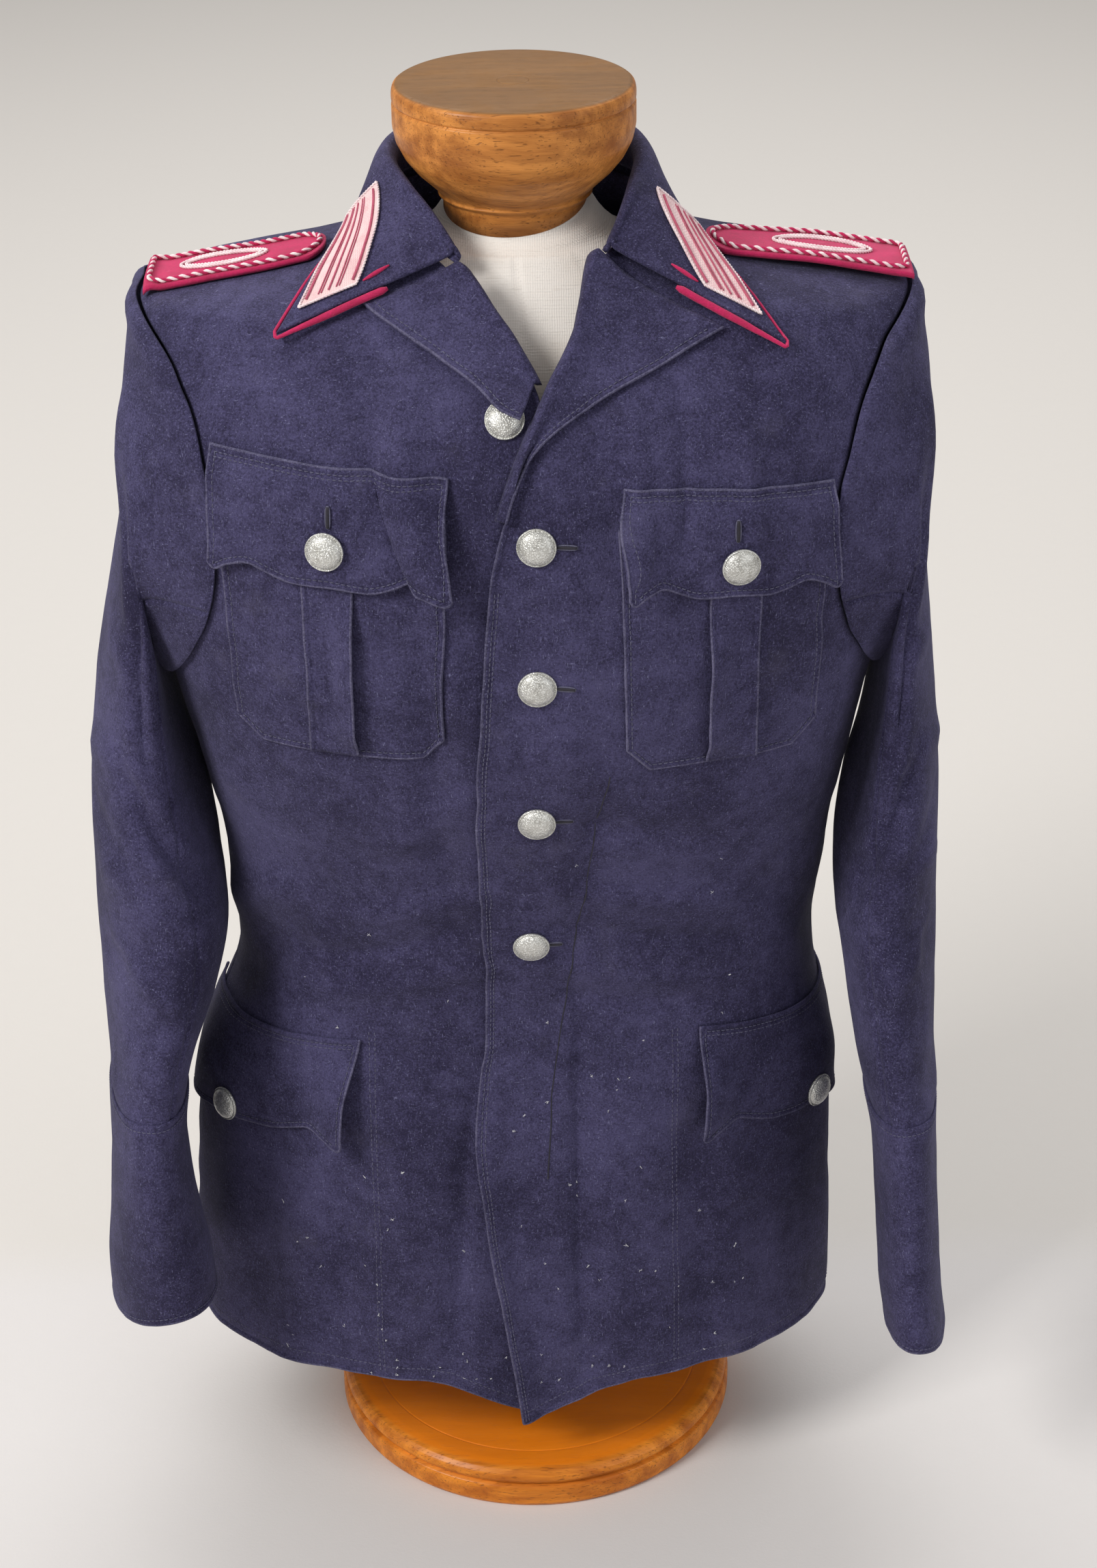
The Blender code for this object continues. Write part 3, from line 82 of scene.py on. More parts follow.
class EdgeKind(Enum):
    """How an edge of a cloth piece is finished."""

    TURNED = "turned in and stitched down"
    SEAM = "sewn to its neighbour"
    PLAIN = "hidden under another piece"


TURNED, SEAM, PLAIN = EdgeKind


def alike(*values: Array | float) -> list[Array]:
    """The values as number arrays of one shape."""
    return np.broadcast_arrays(*(np.asarray(value, float) for value in values))


def full_turn(count: int) -> Array:
    """Angles evenly round a circle."""
    return np.linspace(0, 2 * math.pi, count, endpoint=False)


def smoothstep(x: Array | float) -> Array:
    """0 below 0, 1 above 1 and an even rise between."""
    x = np.clip(x, 0.0, 1.0)
    return x * x * (3 - 2 * x)


def hermite(rows: Array, x: Array | float) -> Array:
    """Read a table by a smooth curve that never overshoots its rows.

    Args:
        rows: the table, with the place in its first column.
        x: the places to read.

    Returns:
        The other columns at each place, along the last axis.
    """
    rows = np.asarray(rows, float)
    x = np.clip(np.asarray(x, float), rows[0, 0], rows[-1, 0])
    places, values = rows[:, 0], rows[:, 1:]
    steps = np.diff(places)[:, None]
    slopes = np.diff(values, axis=0) / steps
    tangents = np.zeros_like(values)
    same_way = slopes[:-1] * slopes[1:] > 0
    middle = 2 * slopes[:-1] * slopes[1:] / np.where(same_way, slopes[:-1] + slopes[1:], 1.0)
    tangents[1:-1] = np.where(same_way, middle, 0.0)
    tangents[0], tangents[-1] = slopes[0], slopes[-1]
    index = np.clip(np.searchsorted(places, x, side="right") - 1, 0, len(places) - 2)
    width = places[index + 1] - places[index]
    t = ((x - places[index]) / width)[..., None]
    width = width[..., None]
    low = (2 * t**3 - 3 * t**2 + 1) * values[index] + (t**3 - 2 * t**2 + t) * width * tangents[index]
    return low + (-2 * t**3 + 3 * t**2) * values[index + 1] + (t**3 - t**2) * width * tangents[index + 1]


def smooth_rows(rows: Array, s: Array, per_point: bool = False) -> Array:
    """Read rows at real row numbers by a Catmull-Rom curve.

    Args:
        rows: values along the first axis; with per_point, (row, point, 3).
        s: the row numbers.
        per_point: each s reads its own point.

    Returns:
        The values at each s.
    """
    last = len(rows) - 1
    s = np.clip(np.asarray(s, float), 0, last)
    i = np.clip(np.floor(s).astype(int), 0, last - 1)
    t = (s - i)[..., None]
    picks = [np.maximum(i - 1, 0), i, i + 1, np.minimum(i + 2, last)]
    if per_point:
        p0, p1, p2, p3 = (rows[pick, np.arange(len(s))] for pick in picks)
    else:
        p0, p1, p2, p3 = (rows[pick] for pick in picks)
    curve = 2 * p1 + (p2 - p0) * t + (2 * p0 - 5 * p1 + 4 * p2 - p3) * t**2
    return 0.5 * (curve + (3 * p1 - p0 - 3 * p2 + p3) * t**3)


def lumps(points: Array, size: float, seed: int) -> Array:
    """Smooth seeded noise in space.

    Args:
        points: places, (..., 3).
        size: how wide one lump is.
        seed: picks another pattern.

    Returns:
        Values from -1 to 1.
    """
    cell = points / size + 1000.0
    low = np.floor(cell).astype(np.uint64)
    t = cell - low
    t = t * t * (3 - 2 * t)
    total = np.zeros(points.shape[:-1])
    for corner in np.ndindex(2, 2, 2):
        x, y, z = (low[..., k] + np.uint64(corner[k]) for k in range(3))
        code = x * np.uint64(73856093) ^ y * np.uint64(19349663) ^ z * np.uint64(83492791)
        code = (code + np.uint64(seed * 7919)) * np.uint64(2654435761) % np.uint64(2**32)
        code = (code ^ (code >> np.uint64(15))) * np.uint64(2246822519) % np.uint64(2**32)
        weight = np.prod([t[..., k] if corner[k] else 1 - t[..., k] for k in range(3)], axis=0)
        total += weight * (code / 2.0**31 - 1.0)
    return total


def cloth_waves(place: Array, waves: Sequence[Sequence[float]]) -> Array:
    """Seeded unevenness: rows of height, factor of Z, size and seed."""
    return sum(height * lumps(place * (1.0, 1.0, squash), size, seed) for height, squash, size, seed in waves)


def fold_height(folds: Sequence[Sequence[float]], a: Array, b: Array, a_scale: float, b_scale: float) -> Array:
    """Height of all the soft folds of a surface at a place.

    Args:
        folds: rows of both ends' places, half width and height (a trough's is negative).
        a: first coordinate of the place.
        b: second coordinate.
        a_scale: metres for one unit of a.
        b_scale: metres for one unit of b.

    Returns:
        The sum of the folds.
    """
    total = np.zeros(np.broadcast(a, b).shape)
    for a0, b0, a1, b1, half_width, height in folds:
        start = np.array([a0 * a_scale, b0 * b_scale])
        run = np.array([a1 * a_scale, b1 * b_scale]) - start
        px, py = a * a_scale - start[0], b * b_scale - start[1]
        along = (px * run[0] + py * run[1]) / run.dot(run)
        nearest = np.clip(along, 0.0, 1.0)
        distance = np.hypot(px - nearest * run[0], py - nearest * run[1])
        ends = smoothstep(1.6 * (0.62 - np.abs(along - 0.5)) + 0.35)
        total = total + height * ends * np.exp(-((distance / half_width) ** 2))
    return total


def unit(vectors: Array) -> Array:
    """Vectors at length one."""
    return vectors / np.maximum(np.linalg.norm(vectors, axis=-1, keepdims=True), 1e-12)


def offset_point(base: Callable[[Array, Array], Array], a: Array, b: Array, depth: Array,
                 a_step: float, b_step: float) -> Array:
    """Move a surface's point out along its normal.

    Args:
        base: the surface.
        a: its first coordinate.
        b: its second coordinate.
        depth: how far out.
        a_step: small step of a for the slope.
        b_step: small step of b.

    Returns:
        The moved points.
    """
    across = base(a + a_step, b) - base(a - a_step, b)
    upward = base(a, b + b_step) - base(a, b - b_step)
    return base(a, b) + unit(np.cross(across, upward)) * np.asarray(depth)[..., None]


def section_radius(angle: Array, half_width: Array, front: Array, back: Array, power: float) -> Array:
    """Distance from the axis to a squarish oval in the direction of angle (radians, 0 is -Y).

    Args:
        angle: the direction.
        half_width: of the oval.
        front: its depth towards -Y.
        back: its depth towards +Y.
        power: 2 for an ellipse, more for a squarer oval.

    Returns:
        The distance.
    """
    depth = np.where(np.cos(angle) >= 0, front, back)
    across = np.abs(np.sin(angle)) / half_width
    along = np.abs(np.cos(angle)) / depth
    return (across**power + along**power) ** (-1.0 / power)


@dataclass(frozen=True)
class BodySurface:
    """The tunic's body: an angle round the axis (0 in front, degrees), a height and a depth."""

    sections: tuple = (
        (0.06, 0.2203, 0.123, 0.13, -0.0148), (0.12, 0.2178, 0.121, 0.129, -0.0143),
        (0.2, 0.212, 0.118, 0.126, -0.012), (0.3, 0.2088, 0.114, 0.117, -0.0078),
        (0.39, 0.188, 0.108, 0.102, -0.001), (0.47, 0.1925, 0.117, 0.104, 0.0),
        (0.547, 0.2085, 0.137, 0.114, 0.0), (0.64, 0.227, 0.149, 0.126, 0.0),
        (0.7, 0.235, 0.15, 0.129, 0.0), (0.76, 0.238, 0.144, 0.123, 0.0015),
        (0.8, 0.2375, 0.126, 0.109, 0.0035), (0.822, 0.2345, 0.109, 0.0985, 0.0042),
        (0.836, 0.227, 0.096, 0.09, 0.0042), (0.843, 0.195, 0.0895, 0.085, 0.003),
        (0.85, 0.15, 0.0835, 0.08, 0.0018), (0.859, 0.11, 0.076, 0.075, 0.0006),
        (0.871, 0.086, 0.068, 0.0705, 0.0), (0.886, 0.0775, 0.061, 0.0665, 0.0),
        (0.9, 0.074, 0.057, 0.064, 0.0),
    )
    power: float = 2.35
    crease_gain: float = 2.0
    fold_turn: float = math.radians(0.17)
    shoulder_z: float = 0.815
    waves: tuple = ((0.0022, 0.55, 0.052, 3), (0.00075, 1.0, 0.019, 8))
    main_folds: tuple = (
        (-62.0, 0.44, -84.0, 0.35, 0.016, -0.005), (-58.0, 0.47, -86.0, 0.425, 0.014, 0.004),
        (-30.0, 0.33, -34.0, 0.1, 0.022, 0.0035), (20.0, 0.56, 9.0, 0.33, 0.016, -0.003),
        (34.0, 0.33, 38.0, 0.1, 0.024, 0.0045), (62.0, 0.33, 66.0, 0.095, 0.022, -0.0055),
        (60.0, 0.47, 84.0, 0.4, 0.015, -0.004), (-62.0, 0.33, -68.0, 0.095, 0.022, -0.005),
        (112.0, 0.36, 118.0, 0.095, 0.026, 0.007), (138.0, 0.34, 141.0, 0.095, 0.024, -0.006),
        (160.0, 0.33, 163.0, 0.095, 0.024, 0.0055), (-112.0, 0.36, -118.0, 0.095, 0.026, 0.007),
        (-138.0, 0.34, -141.0, 0.095, 0.024, -0.006), (-160.0, 0.33, -163.0, 0.095, 0.024, 0.0055),
        (128.0, 0.44, 168.0, 0.405, 0.014, -0.0045), (-128.0, 0.44, -168.0, 0.405, 0.014, -0.0045),
    )
    fine_folds: tuple = (
        (-19.0, 0.77, -23.0, 0.46, 0.012, -0.0024), (-33.0, 0.842, -17.0, 0.69, 0.0095, 0.0026),
        (-42.0, 0.832, -24.0, 0.712, 0.008, -0.0022),
        (-20.0, 0.69, -12.0, 0.6, 0.011, 0.0016), (27.0, 0.806, 23.0, 0.716, 0.0065, 0.0016),
        (37.0, 0.81, 33.0, 0.722, 0.006, -0.0015), (46.0, 0.8, 44.0, 0.72, 0.007, 0.0017),
        (-14.0, 0.56, -40.0, 0.5, 0.008, 0.0018), (9.0, 0.545, 44.0, 0.52, 0.008, -0.0018),
        (-12.0, 0.48, -48.0, 0.455, 0.007, 0.002), (-16.0, 0.452, -60.0, 0.418, 0.0065, -0.0021),
        (-14.0, 0.424, -56.0, 0.392, 0.0075, 0.0019), (-10.0, 0.52, -44.0, 0.502, 0.008, -0.0013),
        (8.0, 0.486, 52.0, 0.462, 0.0075, 0.0021), (7.0, 0.458, 60.0, 0.428, 0.007, -0.0021),
        (6.0, 0.428, 48.0, 0.404, 0.007, 0.0018), (12.0, 0.402, 58.0, 0.38, 0.0075, -0.0014),
        (8.0, 0.6, 22.0, 0.56, 0.009, 0.0014), (-16.0, 0.345, -18.0, 0.11, 0.012, -0.0022),
        (-46.0, 0.28, -50.0, 0.1, 0.013, -0.0024), (18.0, 0.4, 22.0, 0.105, 0.011, -0.0026),
        (27.0, 0.27, 30.0, 0.1, 0.011, 0.0018), (50.0, 0.285, 52.0, 0.1, 0.013, -0.0022),
        (80.0, 0.33, 84.0, 0.1, 0.014, 0.0026), (-82.0, 0.33, -86.0, 0.1, 0.014, 0.0026),
        (98.0, 0.47, 150.0, 0.44, 0.008, 0.002), (-98.0, 0.47, -150.0, 0.44, 0.008, 0.002),
        (120.0, 0.82, 150.0, 0.7, 0.012, 0.002), (-120.0, 0.82, -150.0, 0.7, 0.012, 0.002),
        (138.0, 0.77, 160.0, 0.6, 0.013, -0.0018), (-138.0, 0.77, -160.0, 0.6, 0.013, -0.0018),
        (172.0, 0.43, 174.0, 0.38, 0.009, 0.0016), (-172.0, 0.43, -174.0, 0.38, 0.009, 0.0016),
    )
    armhole_z: float = 0.717
    armhole_half_height: float = 0.1195
    armhole_half_angle: tuple = ((Side.RIGHT, 32.0), (Side.LEFT, 30.2))

    def oval(self, z: Array) -> tuple[Array, Array, Array, Array]:
        """Half width, depth in front, depth behind and shift of the section at a height."""
        return tuple(np.moveaxis(hermite(np.array(self.sections), z), -1, 0))

    def base(self, angle_deg: Array, z: Array) -> Array:
        """Points on the cloth's inner face.

        Args:
            angle_deg: round the axis.
            z: the height.

        Returns:
            The points.
        """
        angle_deg, z = alike(angle_deg, z)
        angle = np.radians(angle_deg)
        half_width, front, back, shift = self.oval(z)
        radius = section_radius(angle, half_width, front, back, self.power)
        wrapped = (angle_deg + 180.0) % 360.0 - 180.0
        radius = radius + fold_height(self.main_folds, wrapped, z, self.fold_turn, 1.0)
        quiet = 1 - smoothstep((z - self.shoulder_z) / 0.025)
        creases = fold_height(self.fine_folds, wrapped, z, self.fold_turn, 1.0)
        radius = radius + self.crease_gain * quiet * creases
        out = np.stack([np.sin(angle), -np.cos(angle), 0 * z], -1)
        place = out * radius[..., None] + np.stack([shift, 0 * z, z], -1)
        wave = cloth_waves(place, self.waves) * (0.25 + 0.75 * quiet)
        return place + out * wave[..., None]

    def point(self, angle_deg: Array, z: Array, depth: Array | float = 0.0) -> Array:
        """Points at a depth outside the cloth's inner face."""
        return offset_point(self.base, *alike(angle_deg, z, depth), 0.4, 0.0012)

    def angle_at_x(self, x: Array, z: Array) -> Array:
        """Angle of the place in front at a given x and height.

        Args:
            x: across the front.
            z: the height.

        Returns:
            The angle in degrees.
        """
        half_width, front, _, shift = self.oval(z)
        share = np.clip(np.abs(x - shift) / half_width, 0.0, 0.999)
        y = front * (1 - share**self.power) ** (1.0 / self.power)
        return np.degrees(np.arctan2(x - shift, y))

    def armhole_angle(self, side: Side, z: Array, front: bool) -> Array:
        """Angle of the side seam below the armpit and of the armhole above it.

        Args:
            side: which side.
            z: the height.
            front: the seam's front edge.

        Returns:
            The angle in degrees.
        """
        share = np.clip((z - self.armhole_z) / self.armhole_half_height, -1.0, 1.0)
        half = dict(self.armhole_half_angle)[side] * np.sqrt(1 - share**2)
        return 90.0 - half if front else 90.0 + half

    def shoulder_height(self, x: Array, y: Array, depth: Array) -> Array:
        """Height of a place a depth above the shoulder's cloth, by halving the span of heights.

        Args:
            x: across.
            y: from front to back.
            depth: above the cloth.

        Returns:
            The height.
        """
        low = np.full(np.broadcast(x, y).shape, 0.79)
        high = np.full(low.shape, 0.895)
        for _ in range(28):
            z = 0.5 * (low + high)
            half_width, front, back, shift = self.oval(z)
            edge = section_radius(np.arctan2(x - shift, -y), half_width, front, back, self.power)
            inside = np.hypot(x - shift, y) < edge
            low = np.where(inside, z, low)
            high = np.where(inside, high, z)
        return low + depth * 1.02


@dataclass(frozen=True)
class SleeveSurface:
    """A sleeve: a turn round it (0 outside, 90 in front, degrees), a ring number and a depth."""

    body: BodySurface
    side: Side
    rings: tuple
    lap: float = 0.0026
    room: float = 0.0022
    front_lift: float = 0.13
    crease_gain: float = 1.4
    girth: float = 0.07
    ring_pitch: float = 0.055
    body_reach: float = 0.03
    waves: tuple = ((0.0012, 0.6, 0.045, 21), (0.0004, 1.0, 0.017, 22))
    fullness: tuple = ((0.0, 0.0), (1.0, 0.004), (2.0, 0.0055), (3.0, 0.0075), (4.0, 0.0095), (5.0, 0.007),
                       (6.0, 0.002), (7.0, 0.0), (12.0, 0.0))
    folds: tuple = (
        (-55.0, 0.3, 55.0, 0.3, 0.014, 0.0032), (60.0, 4.4, 130.0, 5.4, 0.013, -0.005),
        (30.0, 5.6, 120.0, 5.0, 0.012, 0.004), (-60.0, 4.8, -120.0, 5.6, 0.013, -0.0045),
        (70.0, 1.4, 88.0, 4.0, 0.014, -0.0045), (-80.0, 1.6, -96.0, 4.2, 0.014, -0.0045),
        (20.0, 6.6, 100.0, 6.0, 0.012, -0.0035),
        (10.0, 4.6, 74.0, 4.3, 0.008, 0.0024), (15.0, 5.1, 90.0, 5.5, 0.008, -0.0024),
        (35.0, 6.3, 96.0, 6.9, 0.009, 0.0024), (50.0, 7.4, 106.0, 7.1, 0.009, -0.0022),
        (30.0, 3.4, 84.0, 3.0, 0.01, 0.002), (40.0, 1.0, 60.0, 2.6, 0.01, 0.0024),
        (-30.0, 1.0, -60.0, 3.0, 0.01, 0.0024), (-40.0, 5.6, -100.0, 6.4, 0.01, 0.0026),
        (8.0, 8.2, 70.0, 8.6, 0.011, 0.0018), (-20.0, 7.6, -90.0, 8.2, 0.011, -0.002),
    )

    def rows(self, turn_deg: Array) -> Array:
        """Points of the armhole and of every ring at the given turns.

        Args:
            turn_deg: round the sleeve.

        Returns:
            Points as (ring, turn, 3).
        """
        sign = self.side.value
        turn = np.radians(np.asarray(turn_deg, float))
        half_height = self.body.armhole_half_height
        half_angle = dict(self.body.armhole_half_angle)[self.side]
        height = half_height + np.where(np.cos(turn) < 0, self.lap, 0.4 * self.lap)
        angle = sign * (90.0 - half_angle * (1.0 + self.lap / half_height) * np.sin(turn))
        seam_z = self.body.armhole_z + height * np.cos(turn)
        found = [self.body.point(angle, seam_z, CLOTH + self.room)]
        for outer_x, outer_z, inner_x, inner_z, middle_y, half_depth, twist_deg in self.rings:
            twist = math.radians(twist_deg)
            reach = 0.5 * (outer_x - inner_x)
            lean = half_depth * math.sin(twist)
            width = math.sqrt(max(reach**2 - lean**2, (0.45 * reach) ** 2))
            centre = np.array([0.5 * (outer_x + inner_x), middle_y, 0.5 * (outer_z + inner_z)])
            out = np.array([width, -width * math.sin(twist), 0.5 * (outer_z - inner_z)])
            ahead = half_depth * np.array([-math.sin(twist), -math.cos(twist), self.front_lift])
            ring = centre + np.cos(turn)[..., None] * out + np.sin(turn)[..., None] * ahead
            ring[..., 0] *= sign
            found.append(ring)
        return np.stack(found, 0)

    def base(self, turn_deg: Array, ring_number: Array) -> Array:
        """Points on the sleeve's inner face.

        Args:
            turn_deg: round the sleeve.
            ring_number: 0 at the armhole.

        Returns:
            The points.
        """
        shape = np.broadcast(turn_deg, ring_number).shape
        turn_deg = np.broadcast_to(turn_deg, shape).ravel()
        ring_number = np.broadcast_to(ring_number, shape).ravel()
        return smooth_rows(self.rows(turn_deg), ring_number, per_point=True).reshape(*shape, 3)

    def point(self, turn_deg: Array, ring_number: Array, depth: Array | float) -> Array:
        """Points at a depth outside the sleeve's inner face, folds included.

        Args:
            turn_deg: round the sleeve.
            ring_number: 0 at the armhole.
            depth: how far out.

        Returns:
            The points.
        """
        turn_deg, ring_number, depth = alike(turn_deg, ring_number, depth)
        ring_number = np.clip(ring_number, END_GAP, len(self.rings) - END_GAP)
        wrapped = (turn_deg + 180.0) % 360.0 - 180.0
        creases = fold_height(self.folds, wrapped, ring_number, math.radians(self.girth), self.ring_pitch)
        lift = self.crease_gain * creases
        towards_body = np.exp(-((np.radians(180.0 - np.abs(wrapped)) * self.girth / self.body_reach) ** 2))
        lift = lift + hermite(np.array(self.fullness), ring_number)[..., 0] * towards_body
        place = self.base(turn_deg, ring_number)
        quiet = smoothstep((ring_number - 0.3) / 0.8)
        lift = lift + quiet * cloth_waves(place, self.waves)
        return offset_point(self.base, turn_deg, ring_number, self.side.value * (depth + lift), 1.5, 0.01)


@dataclass(frozen=True)
class CollarSurface:
    """One half of the collar: a station along it, a row across from the neck seam, and a depth."""

    body: BodySurface
    side: Side
    stations: tuple
    rolls: tuple = (0.0046, 0.0032)
    edge_row: int = 7

    @property
    def last(self) -> int:
        """Number of the station at the front edge."""
        return len(self.stations) - 1

    def section(self, u: Array) -> Array:
        """Middle line of the cloth at station u, from the neck seam to the outer edge.

        Args:
            u: number of the station, between two of them too.

        Returns:
            Points as (row, station, 3).
        """
        stations = np.array(self.stations)
        angle, height = np.moveaxis(smooth_rows(stations[:, :2], u), -1, 0)
        roll_and_edge = smooth_rows(stations[:, 2:], u)
        roll, edge = roll_and_edge[..., :3], roll_and_edge[..., 3:]
        seam = self.body.point(angle, height, 0.5 * CLOTH)
        seam = seam + np.array([0.0, 0.0, 0.5 * COLLAR_CLOTH + 3 * LAYER_GAP])
        radius = self.rolls[0] + (self.rolls[1] - self.rolls[0]) * smoothstep(u / self.last - 0.35)
        radius = radius[..., None]
        away = (edge - seam) * (1.0, 1.0, 0.0)
        away = unit(away)
        up = np.array([0.0, 0.0, 1.0])
        stand_top = roll - away * 0.2 * radius - up * 1.5 * radius
        crest = roll + away * 0.8 * radius
        fall_top = roll + away * 2.0 * radius - up * 1.3 * radius
        fall_upper = 0.62 * fall_top + 0.38 * edge + away * 0.0012
        fall_lower = 0.28 * fall_top + 0.72 * edge + away * 0.001
        return np.stack([seam, 0.5 * (seam + stand_top), stand_top, crest, fall_top, fall_upper,
                         fall_lower, edge], 0)

    def base(self, u: Array, v: Array) -> Array:
        """Points on the middle of the collar's cloth.

        Args:
            u: number of the station; below 0 on the other half.
            v: number of the row.

        Returns:
            The points.
        """
        shape = np.broadcast(u, v).shape
        u = np.broadcast_to(u, shape).ravel()
        v = np.broadcast_to(v, shape).ravel()
        point = smooth_rows(self.section(np.abs(u)), v, per_point=True)
        point[:, 0] *= self.side.value * np.where(u < 0, -1.0, 1.0)
        return point.reshape(*shape, 3)

    def point(self, u: Array, v: Array, depth: Array | float) -> Array:
        """Points at a depth outside the middle of the collar's cloth.

        Args:
            u: number of the station.
            v: number of the row.
            depth: how far out.

        Returns:
            The points.
        """
        u, v, depth = alike(u, v, depth)
        u = np.minimum(u, self.last - END_GAP)
        v = np.clip(v, END_GAP, self.edge_row - END_GAP)
        depth = depth + 0.0004 * lumps(self.base(u, v), 0.022, 31)
        return offset_point(self.base, u, v, self.side.value * depth, 0.01, 0.01)


def mesh_object(name: str, vertices: Array, faces: Sequence, materials: Sequence, slots: Array | None = None,
                creased: float = 180.0) -> bpy.types.Object:
    """Link a smooth-shaded mesh with its faces pointing out.

    Args:
        name: the piece's name.
        vertices: points, (count, 3).
        faces: vertex numbers of each face.
        materials: the finishes' materials.
        slots: material number of each face.
        creased: edges sharper than this many degrees stay sharp.

    Returns:
        The new object, at the origin.
    """
    mesh = bpy.data.meshes.new(name)
    mesh.from_pydata(np.asarray(vertices, float).tolist(), [], [list(map(int, face)) for face in faces])
    for material in materials:
        mesh.materials.append(material)
    if slots is not None:
        mesh.polygons.foreach_set("material_index", np.asarray(slots, np.int32))
    bm = bmesh.new()
    bm.from_mesh(mesh)
    bmesh.ops.recalc_face_normals(bm, faces=bm.faces)
    bm.to_mesh(mesh)
    bm.free()
    mesh.shade_smooth()
    if creased < 180.0:
        mesh.set_sharp_from_angle(angle=math.radians(creased))
    mesh.update()
    obj = bpy.data.objects.new(name, mesh)
    bpy.context.scene.collection.objects.link(obj)
    return obj


def quad_sheet(columns: int, rows: int, start: int = 0, closed: bool = False) -> Array:
    """Faces of a grid of points.

    Args:
        columns: how many columns of points.
        rows: how many points in each.
        start: number of the first point.
        closed: join the last column to the first.

    Returns:
        Four point numbers a face.
    """
    i, k = np.meshgrid(np.arange(columns if closed else columns - 1), np.arange(rows - 1), indexing="ij")
    j = (i + 1) % columns
    return np.stack([i * rows + k, j * rows + k, j * rows + k + 1, i * rows + k + 1], -1).reshape(-1, 4) + start


def closed_shell(inner: Array, outer: Array, closed: bool = False) -> tuple[Array, Array]:
    """A closed wall between two grids of points.

    Args:
        inner: (columns, rows, 3).
        outer: the same for the other face.
        closed: the last column joins the first.

    Returns:
        Points and faces.
    """
    columns, rows = inner.shape[:2]
    count = columns * rows
    faces = [quad_sheet(columns, rows, 0, closed), quad_sheet(columns, rows, count, closed)]
    number = np.arange(count).reshape(columns, rows)
    rims = [number[:, 0], number[:, -1]]
    if closed:
        rims = [np.append(rim, rim[0]) for rim in rims]
    else:
        rims += [number[0], number[-1]]
    for rim in rims:
        faces.append(np.stack([rim[:-1], rim[1:], rim[1:] + count, rim[:-1] + count], -1))
    return np.concatenate([inner.reshape(-1, 3), outer.reshape(-1, 3)]), np.concatenate(faces)


def run_lengths(points: Array) -> Array:
    """Distance gone at each point of a path."""
    return np.append(0.0, np.cumsum(np.linalg.norm(np.diff(points, axis=0), axis=-1)))


def read_along(values: Array, gone: Array, spots: Array) -> Array:
    """Values of a path's points at distances along it."""
    return np.stack([np.interp(spots, gone, values[:, k]) for k in range(3)], -1)


def path_frames(points: Array, closed: bool = False) -> tuple[Array, Array, Array]:
    """Run, side and up directions along a path, carried on without a jump.

    Args:
        points: the path.
        closed: it ends where it starts.

    Returns:
        Three sets of unit vectors.
    """
    ahead, behind = np.roll(points, -1, axis=0), np.roll(points, 1, axis=0)
    if not closed:
        ahead[-1], behind[0] = points[-1], points[0]
    run = unit(ahead - behind)
    up = np.zeros_like(run)
    carried = np.cross(run[0], (0.31, 0.22, 1.0))
    for i, direction in enumerate(run):
        carried = carried - direction * carried.dot(direction)
        carried = carried / np.linalg.norm(carried)
        up[i] = carried
    return run, np.cross(up, run), up


def tube(points: Array, radii: Array | float, sides: int = 8, closed: bool = False) -> tuple[Array, list]:
    """A round strand along a path.

    Args:
        points: the path.
        radii: its radius, one or one a point.
        sides: points round it.
        closed: the path ends where it starts.

    Returns:
        Points and faces.
    """
    points = np.asarray(points, float)
    radii = np.broadcast_to(np.asarray(radii, float), len(points))
    _, side, up = path_frames(points, closed)
    turn = full_turn(sides)
    ring = np.cos(turn)[None, :, None] * side[:, None] + np.sin(turn)[None, :, None] * up[:, None]
    grid = points[:, None] + ring * radii[:, None, None]
    grid = np.moveaxis(grid, 1, 0)
    rows = grid.shape[1]
    if closed:
        grid = np.concatenate([grid, grid[:, :1]], axis=1)
        rows += 1
    faces = quad_sheet(sides, rows, 0, True).tolist()
    if not closed:
        faces.append([i * rows for i in range(sides)])
        faces.append([i * rows + rows - 1 for i in range(sides)])
    return grid.reshape(-1, 3), faces


def lathe(profile: Sequence[Sequence[float]], steps: int) -> tuple[Array, list]:
    """A turned solid about Z.

    Args:
        profile: radius and height from the top of the axis to its foot.
        steps: points round it.

    Returns:
        Points and faces.
    """
    turn = full_turn(steps)
    rings = np.array(profile[1:-1])
    grid = np.stack([rings[None, :, 0] * np.cos(turn)[:, None], rings[None, :, 0] * np.sin(turn)[:, None],
                     np.broadcast_to(rings[:, 1], (steps, len(rings)))], -1)
    rows = len(rings)
    faces = quad_sheet(steps, rows, 0, True).tolist()
    top, foot = steps * rows, steps * rows + 1
    for i in range(steps):
        j = (i + 1) % steps
        faces.append([top, i * rows, j * rows])
        faces.append([foot, j * rows + rows - 1, i * rows + rows - 1])
    ends = np.array([(0.0, 0.0, profile[0][1]), (0.0, 0.0, profile[-1][1])])
    return np.concatenate([grid.reshape(-1, 3), ends]), faces


def rounded(profile: Sequence[Sequence[float]], radius: float = 0.0007, steps: int = 3) -> list:
    """A profile whose corners are rounded.

    Args:
        profile: radius and height of each corner.
        radius: most that a corner is cut back.
        steps: points on each corner.

    Returns:
        The finer profile.
    """
    corners = np.array(profile, float)
    found = [tuple(corners[0])]
    for before, here, after in zip(corners[:-2], corners[1:-1], corners[2:]):
        to_before, to_after = before - here, after - here
        reach = min(radius, 0.4 * np.linalg.norm(to_before), 0.4 * np.linalg.norm(to_after))
        a, b = here + reach * unit(to_before), here + reach * unit(to_after)
        for t in np.linspace(0, 1, steps + 1):
            found.append(tuple((1 - t) ** 2 * a + 2 * t * (1 - t) * here + t**2 * b))
    return found + [tuple(corners[-1])]


